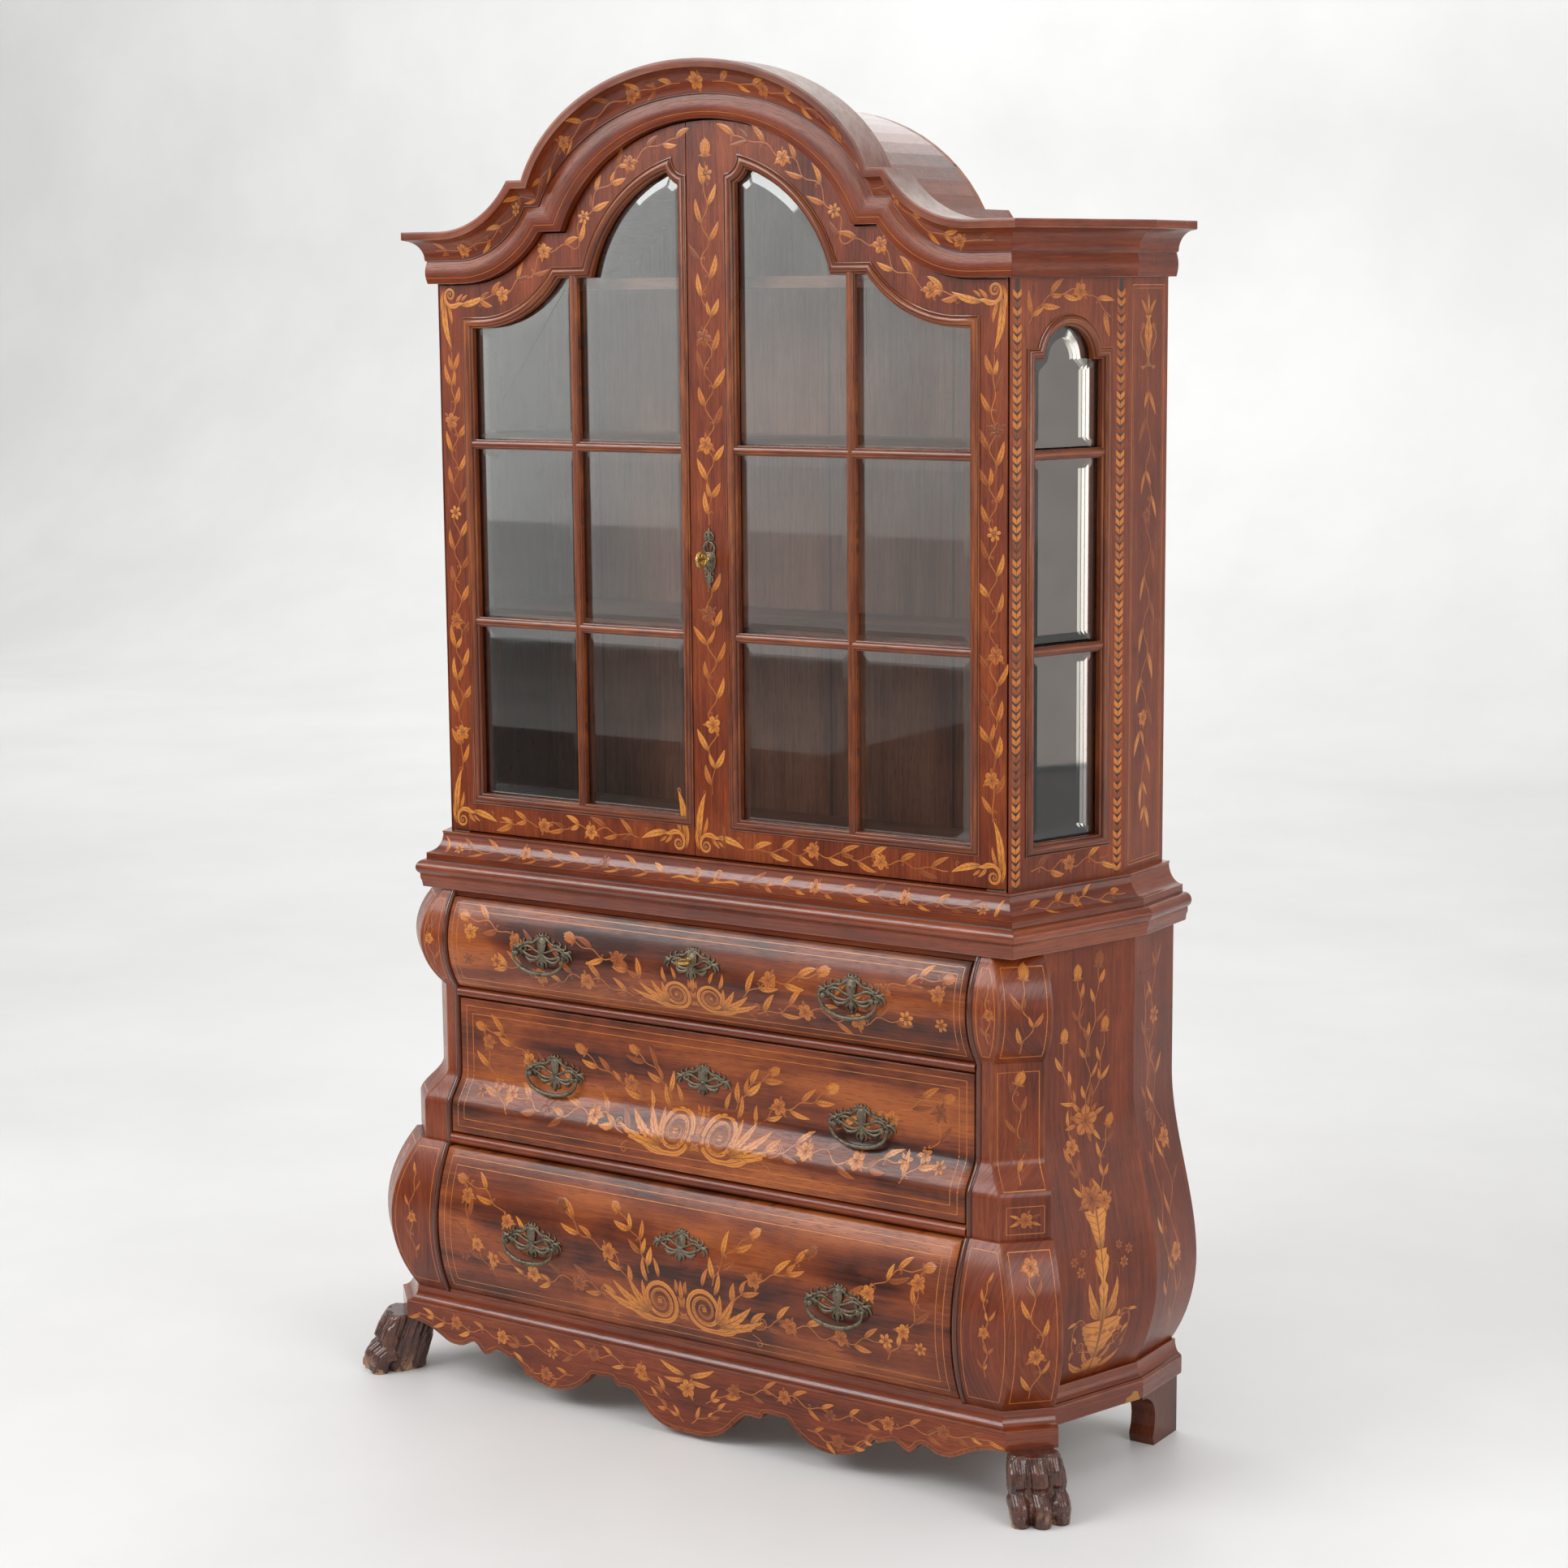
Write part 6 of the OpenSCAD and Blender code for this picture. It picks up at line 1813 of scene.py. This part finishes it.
def build_escutcheon():
    """The tall keyhole plate on the right door."""
    s = Shape()
    c = Casting(s, lambda u, v, h: (u, -h, KEY_Z + v))
    for half in (c, c.flipped()):
        half.rod([(0, 27), (6, 24), (9.5, 18), (9, 12), (5, 8)], (1.6, 2.0, 2.2, 2.0, 1.4))
        half.curl((5.5, 33), 3.6, 250, -1, 1.2, 1.3)
        half.rod([(2, 42), (6, 39), (8, 34), (6, 29)], (1.3, 1.9, 2.0, 1.2))
        half.rod([(0, 9), (8, 7), (10, 0), (9, -10), (5, -18), (0, -23)], (1.8, 2.2, 2.2, 2.1, 1.8, 1.4))
        half.rod([(2, 13), (4.5, 19), (3, 25)], (1.2, 1.6, 0.8))
        half.curl((6.5, -22), 2.8, 90, 1, 1.1, 1.1)
        half.rod([(0, -26), (5, -29), (6, -34), (2, -37)], (1.4, 1.9, 1.6, 0.8))
        half.knob((9.3, 9), 1.9)
        half.knob((6.5, -28), 2.0)
    c.rod([(0, 26), (0, 34), (0, 42), (0, 48.5)], (2.4, 3.6, 2.6, 0.6))
    c.rod([(0, -20), (0, -31), (0, -40), (0, -48.5)], (3.0, 3.8, 2.6, 0.6))
    c.rod([(0, -18), (0, -8), (0, 2), (0, 9)], (5, 8.5, 8.5, 5), lift=0.3, flat=0.16)
    s.build("door_escutcheon_cast", "door_right", "aged_brass", [brass], ["door_escutcheon"], crease=60)
    keyhole_shade_plate(lambda u, v, h: (u, -h, KEY_Z + v - 2), "door_keyhole", "door_right")


def build_key(name, middle, y0, y1, flat):
    """A key with a pierced scrolled bow at y0 and its end at y1; flat turns its bow level."""
    x0, z0 = middle

    def turned(u, v, h):
        return (x0 + v, y0 - u, z0 - h) if flat else (x0 + h, y0 - u, z0 + v)
    s = Shape()
    c = Casting(s, turned, (0, 0, 1) if flat else (1, 0, 0))
    for side in (-1, 1):
        h = Casting(s, lambda u, v, h, k=side: turned(u, k * v, h), c.up)
        h.rod([(0, 1), (3, 7), (9, 11.2), (16, 10.5), (21, 6), (24, 1)], (2.5, 2.9, 2.5, 2.7, 2.5, 1.9),
              lift=-0.6, flat=1.15)
        h.curl((8, 5.2), 3.2, 90, -1, 1.2, 1.6, lift=-0.4)
        h.curl((16.5, 4.6), 2.8, 250, 1, 1.1, 1.5, lift=-0.4)
        h.rod([(11, 11), (14, 12.2), (17, 9.5)], (1.0, 1.3, 0.9), lift=-0.3)
        h.knob((3.5, 8.5), 1.8, lift=-0.5)
        h.knob((20.5, 8.4), 1.8, lift=-0.5)
    c.rod([(-1, 0), (6, 0), (14, 0), (22, 0), (24.6, 0)], (2.4, 2.0, 2.6, 2.2, 1.3), lift=-0.6, flat=1.15)
    profile = [(0.5, 1.5), (-0.5, 3.2), (-2, 4.5), (-3.4, 3.1), (-5, 4.0), (-6.4, 2.7), (-9, 2.5),
               (y0 - y1 + 0.2, 2.5), (y0 - y1, 1.8)]
    s.tube([(x0, y0 - u, z0) for u, _ in profile], [r for _, r in profile], 14, 1.0, (0, 0, 1))
    bit = [turned(y0 - y1 + 2 + k * 0.1, -2 - d, 0) for k, d in ((0, 0), (0, 3), (0, 5.5))]
    s.tube(bit, [1.9, 1.9, 1.6], 4, 0.5, (0, 1, 0))
    s.build(f"{name}_cast", name, "gilt_brass", [gilt], [name], crease=60)


# ---- Feet ----
FOOT_H, FOOT_VOXEL = 98, 0.0019
FOOT_MID = (POST_X + PLINTH_SWELL + POST_W * DIAG / 2 - 10, -POST_Y - PLINTH_SWELL + POST_W * DIAG / 2 + 10)


def foot_form():
    """A paw pointing along x: three toes with knuckles, a fur-covered pad behind; floor at 0."""
    s = Shape()
    s.tube([(2, 0, 102), (3, 0, 84), (8, 0, 62), (12, 0, 40), (16, 0, 16), (17, 0, -4)],
           [33, 33, 36, 35, 33, 31], 24, 1.12, (1, 0, 0))
    s.tube([(26, 0, 96), (30, 0, 60), (30, 0, 18), (28, 0, -2)], [24, 33, 37, 36], 20, 0.9, (1, 0, 0))
    for y, reach in ((-31, 0), (0, 9), (31, 0)):
        s.tube([(20 + reach * 0.3, y * 0.72, 99), (30 + reach * 0.5, y * 0.80, 86),
                (40 + reach * 0.8, y * 0.9, 70), (45 + reach, y, 55), (44 + reach, y, 47)],
               [12, 16, 16.5, 15.5, 9], 16, 1.0, (0, 1, 0))
        s.blob((42 + reach, y, 56), 15.5, (1.0, 1.02, 1.05))
        s.tube([(34 + reach, y, 34), (48 + reach, y, 33), (58 + reach, y, 25), (63 + reach, y, 15),
                (62 + reach, y, -3)], [16, 17.5, 17.5, 16, 14.5], 16, 0.96, (0, 1, 0))
        s.blob((60 + reach, y, 20), 17, (1.05, 1.0, 1.25))
        s.tube([(70 + reach, y, 21), (77 + reach, y, 14), (79 + reach, y, 5)], [5.5, 4.6, 2.6], 8, 1.0,
               (0, 1, 0))
    return s


def carve_foot(p):
    """Fur lines down the flanks and heel, creases along the toes, and the floor and block cut flat."""
    x, y, z = p[:, 0], p[:, 1], p[:, 2]
    flank = np.clip((np.abs(y) - 24) / 10, 0, 1) * np.clip((46 - x) / 14, 0, 1) + np.clip((2 - x) / 12, 0, 1)
    fur = np.sin((x * 0.80 + z * 0.30) * 0.62
                 + 0.9 * np.sin(z * 0.075 + x * 0.05)) + 0.5 * np.sin((x + z * 0.42) * 1.15
                                                                      + np.sin(z * 0.11) * 1.6)
    toe = np.abs(np.mod(y + 15.5, 31) - 15.5)
    crease = np.cos(toe * 1.15) * np.clip((x - 26) / 12, 0, 1) * np.clip((z - 14) / 16, 0, 1)
    depth = 1.15 * np.clip(flank, 0, 1) * fur + 0.55 * crease
    side = np.sign(y) * np.clip(np.abs(y) / 30, 0, 1)
    p[:, 1] += side * depth
    p[:, 0] += np.where(x > 20, crease * 0.5, -np.clip((2 - x) / 12, 0, 1) * fur * 0.9)
    p[:, 2] = np.clip(p[:, 2], 0, FOOT_H + 1)
    return p


def build_feet():
    """Both paw feet from one fused, smoothed and carved form."""
    form = foot_form()
    mesh = bpy.data.meshes.new("foot_form")
    mesh.from_pydata([[c * MM for c in p] for p in form.points], [], form.faces)
    orient(mesh)
    blank = in_scene("foot_form", mesh)
    fused = blank.modifiers.new("fused", "REMESH")
    fused.mode, fused.voxel_size = "VOXEL", FOOT_VOXEL
    rubbed = blank.modifiers.new("rubbed", "SMOOTH")
    rubbed.factor, rubbed.iterations = 0.5, 3
    solid = bpy.data.meshes.new_from_object(blank.evaluated_get(bpy.context.evaluated_depsgraph_get()))
    bpy.data.objects.remove(blank)
    points = np.zeros(len(solid.vertices) * 3)
    solid.vertices.foreach_get("co", points)
    points = carve_foot(points.reshape(-1, 3) / MM)
    faces = [tuple(f.vertices) for f in solid.polygons]
    for side, word in SIDES:
        s = Shape()
        for x, y, z in points:
            s.point((side * (FOOT_MID[0] + (x + y) * DIAG), FOOT_MID[1] + (y - x) * DIAG, FLOOR_Z + z))
        s.faces, s.slots = list(faces), [0] * len(faces)
        s.build(f"paw_foot_{word}_carved", "cabinet", "dark_wood", [foot_wood], [f"paw_foot_{word}"],
                crease=180)


def build_patch():
    """Bare wood where a strip of veneer has come off the plinth, low at the right rear corner."""
    s = Shape()
    band = case_side()

    def lane(u, v, h):
        return band(u, v, PLINTH_SIDE + 0.12 + h)
    edge = [(206, -834), (212, -831), (213, -826), (224, -823), (229, -818), (238, -820), (243, -834)]
    face, back = ([s.point(lane(u, v, h), (u, v, 2.0)) for u, v in edge] for h in (0.0, -1.5))
    s.plate(face, back)
    s.build("plinth_bare_patch", "cabinet", "carcass_wood", [bare_wood], crease=30)


# ---- CAD nodes that show as they are: softened edges and their own finish ----
EDGE, FINE_EDGE, EDGE_ANGLE = 0.0008, 0.0003, math.radians(32)


def ease_node(name, width=EDGE):
    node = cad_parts[name]
    cut = node.modifiers.new("eased_edges", "BEVEL")
    cut.width, cut.segments, cut.limit_method, cut.angle_limit = width, 2, "ANGLE", EDGE_ANGLE
    cut.harden_normals = True
    return node


def paint(material, slot_name, *names, width=EDGE):
    """A finish for CAD nodes that keep their shape."""
    for name in names:
        node = ease_node(name, width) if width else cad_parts[name]
        node.data.materials.clear()
        node.data.materials.append(material)
        node.data.shade_smooth()
        node.data.set_sharp_from_angle(angle=EDGE_ANGLE)


def finish_nodes():
    paint(door_ground, "marquetry_veneer", "door_left_frame", "door_right_frame", "side_frame_left",
          "side_frame_right")
    paint(inner_z, "interior_wood", "vitrine_back")
    paint(inner_x, "interior_wood", "vitrine_floor", "shelves", "shelf_supports")
    paint(roof_wood, "moulding_wood", "roof_board")
    paint(pine_x, "carcass_wood", "base_top", "base_back", "base_bottom")
    paint(pine_y, "carcass_wood", "drawer_runners", "drawer_upper_box", "drawer_middle_box",
          "drawer_lower_box")
    paint(post_ground, "dark_wood", "rear_feet")
    paint(brass, "aged_brass", *[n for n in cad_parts
                                 if n.startswith(("door_pivot", "left_bolt", "door_left_fit",
                                                  "door_right_fit"))
                                or n.endswith(("_lock", "lock_bolt"))], width=FINE_EDGE)


# ---- Room ----
def build_stage():
    """A pale paper floor that curves up behind the object."""
    n = Nodes("studio_paper")
    here = n.coords()
    soft = n.noise(here, 1.1, 4.0, 0.6)
    made = n.finish(n.ramp(soft, (0.35, (0.72, 0.72, 0.715)), (0.65, (0.77, 0.77, 0.765))),
                    n.plus(n.times(soft, 0.10), 0.42), n.bump(n.noise(here, 260.0, 3.0, 0.7), 0.0002))
    turn_r, wall_y, wide, high, front = 2.5, 9.0, 18.0, 9.0, -16.0
    line = [(front, 0)] + [(wall_y - turn_r + turn_r * sind(a), turn_r - turn_r * cosd(a))
                           for a in steps(0, 90, 20)] + [(wall_y, high)]
    points, faces = [], []
    for y, z in line:
        points += [(-wide, y, z), (wide, y, z)]
    for k in range(len(line) - 1):
        faces.append((2 * k, 2 * k + 1, 2 * k + 3, 2 * k + 2))
    mesh = bpy.data.meshes.new("backdrop")
    mesh.from_pydata(points, [], faces)
    mesh.shade_smooth()
    mesh.materials.append(made)
    in_scene("backdrop", mesh)


def build_reflected(name, points, faces, material):
    """Something outside the picture that only the gloss of glass and lacquer sees."""
    mesh = bpy.data.meshes.new(name)
    mesh.from_pydata(points, [], faces)
    mesh.materials.append(material)
    made = in_scene(name, mesh)
    made.visible_camera = made.visible_diffuse = made.visible_shadow = made.visible_transmission = False


def build_flag():
    """A dark low table, front left."""
    n = Nodes("table_front")
    n.finish(n.ramp(n.noise(n.coords(), 3.0), (0.4, (0.020, 0.015, 0.012)), (0.6, (0.035, 0.028, 0.022))),
             0.6)
    x0, x1, y0, y1, top = -4.6, -1.15, -3.8, -2.2, 0.74
    points = [(x, y, z) for z in (0.01, top) for x, y in ((x0, y0), (x1, y0), (x1, y1), (x0, y1))]
    faces = [(0, 1, 5, 4), (1, 2, 6, 5), (2, 3, 7, 6), (3, 0, 4, 7), (4, 5, 6, 7)]
    build_reflected("reflected_table", points, faces, n.material)


def build_card():
    """A card on the right that glows with light of its own, though it is no lamp, for the glass of that side
    to mirror.
    """
    n = Nodes("glowing_card")
    n.finish((0.8, 0.8, 0.8, 1), 0.7, n.bump(n.noise(n.coords(), 40.0), 0.0005))
    # Emission makes the card glow: painted light, seen only in reflections
    n.shader.inputs["Emission Color"].default_value = (1, 0.83, 0.76, 1)
    n.shader.inputs["Emission Strength"].default_value = 1.4
    x, y0, y1, low, top = 7.0, 2.2, 4.2, 0.02, 2.1
    points = [(x, y0, low), (x, y1, low), (x, y1, top), (x, y0, top)]
    build_reflected("reflected_card", points, [(0, 1, 2, 3)], n.material)


def lamp(name, at, aim, size, power, tall=None):
    """A soft rectangular lamp that the camera doesn't see, in watts and metres."""
    light = bpy.data.lights.new(name, "AREA")
    light.shape, light.size, light.size_y = "RECTANGLE", size, tall or size
    light.energy = power
    made = in_scene(name, light)
    made.location = at
    made.rotation_mode = "QUATERNION"
    made.rotation_quaternion = (Vector(aim) - Vector(at)).to_track_quat("-Z", "Y")
    made.visible_camera = False


# Brightness from straight below, 0, to straight overhead, 1
SKY = ((0.0, (0.02, 0.018, 0.017)), (0.425, (0.03, 0.027, 0.025)), (0.45, (0.52, 0.51, 0.50)),
       (0.53, (0.95, 0.94, 0.93)), (0.62, 0.30), (1.0, 0.55))
SKY_STRENGTH = 1.3


def build_world():
    """A soft room: dark floor level, a bright band at eye height, and a paler ceiling."""
    world = bpy.data.worlds.new("studio")
    bpy.context.scene.world = world
    world.use_nodes = True
    tree = world.node_tree
    back = tree.nodes["Background"]
    way = tree.nodes.new("ShaderNodeTexCoord")
    parts = tree.nodes.new("ShaderNodeSeparateXYZ")
    tree.links.new(way.outputs["Generated"], parts.inputs[0])
    shift = tree.nodes.new("ShaderNodeMath")
    shift.operation = "MULTIPLY_ADD"
    shift.inputs[1].default_value, shift.inputs[2].default_value = 0.5, 0.5
    tree.links.new(parts.outputs[2], shift.inputs[0])
    ramp = tree.nodes.new("ShaderNodeValToRGB")
    set_stops(ramp.color_ramp.elements, SKY)
    tree.links.new(shift.outputs[0], ramp.inputs[0])
    tree.links.new(ramp.outputs[0], back.inputs["Color"])
    back.inputs["Strength"].default_value = SKY_STRENGTH


LENS, YAW, PITCH, ROLL = 70.93, 33.586, 9.0, -0.502
EYE = Vector((2.7587, -4.0600, 1.8149))


def build_camera():
    camera = bpy.data.cameras.new("camera")
    camera.lens, camera.sensor_width = LENS, 36
    camera.dof.use_dof = False
    made = in_scene("camera", camera)
    ahead = Vector((-sind(YAW) * cosd(PITCH), cosd(YAW) * cosd(PITCH), -sind(PITCH)))
    right = Vector((cosd(YAW), sind(YAW), 0))
    up = right.cross(ahead)
    x = right * cosd(ROLL) + up * sind(ROLL)
    y = up * cosd(ROLL) - right * sind(ROLL)
    made.matrix_world = Matrix((x, y, -ahead)).transposed().to_4x4()
    made.location = EYE
    bpy.context.scene.camera = made


build_cornice()
build_frieze()
build_waist()
build_door_glazing(1, RIGHT_M, "door_right")
build_door_glazing(-1, LEFT_M, "door_left")
build_side_glazing()
build_post(1, "pilaster_right")
build_post(-1, "pilaster_left")
build_base_sides()
build_rails()
build_plinth()
build_apron()
for key in DRAWERS:
    build_drawer_front(key)
    lay_drawer(key)
    build_mounts(key)
    build_bails(key)
build_escutcheon()
build_key("door_key", (0, KEY_Z), y0=-12, y1=17.5, flat=False)
lock_z = DRAWERS["upper"][3]
build_key("drawer_key", (0, lock_z), y0=-POST_Y - swell(lock_z) - 14, y1=-6.5, flat=True)
build_feet()
build_patch()
lay_door(1, "door_right", -33)
lay_door(-1, "door_left", 48)
lay_case_sides()
lay_cornice()
lay_frieze()
lay_waist()
lay_posts()
lay_base_sides()
lay_apron()
finish_nodes()
build_stage()
build_flag()
build_card()
build_world()
lamp("key", (-2.4, -3.4, 3.6), aim=(0, 0, 1.1), size=3.2, power=150, tall=2.4)
lamp("side", (3.6, -0.9, 2.6), aim=(0.4, 0, 1.0), size=1.8, power=45)
lamp("top", (-0.4, 1.3, 4.9), aim=(-0.2, 1.6, 0), size=5.0, power=88, tall=3.0)
lamp("wash", (-5.5, 4.6, 6.8), aim=(-7.5, 9.0, 2.6), size=9.0, power=330, tall=3.0)
build_camera()
bpy.context.scene.view_settings.view_transform = "Standard"
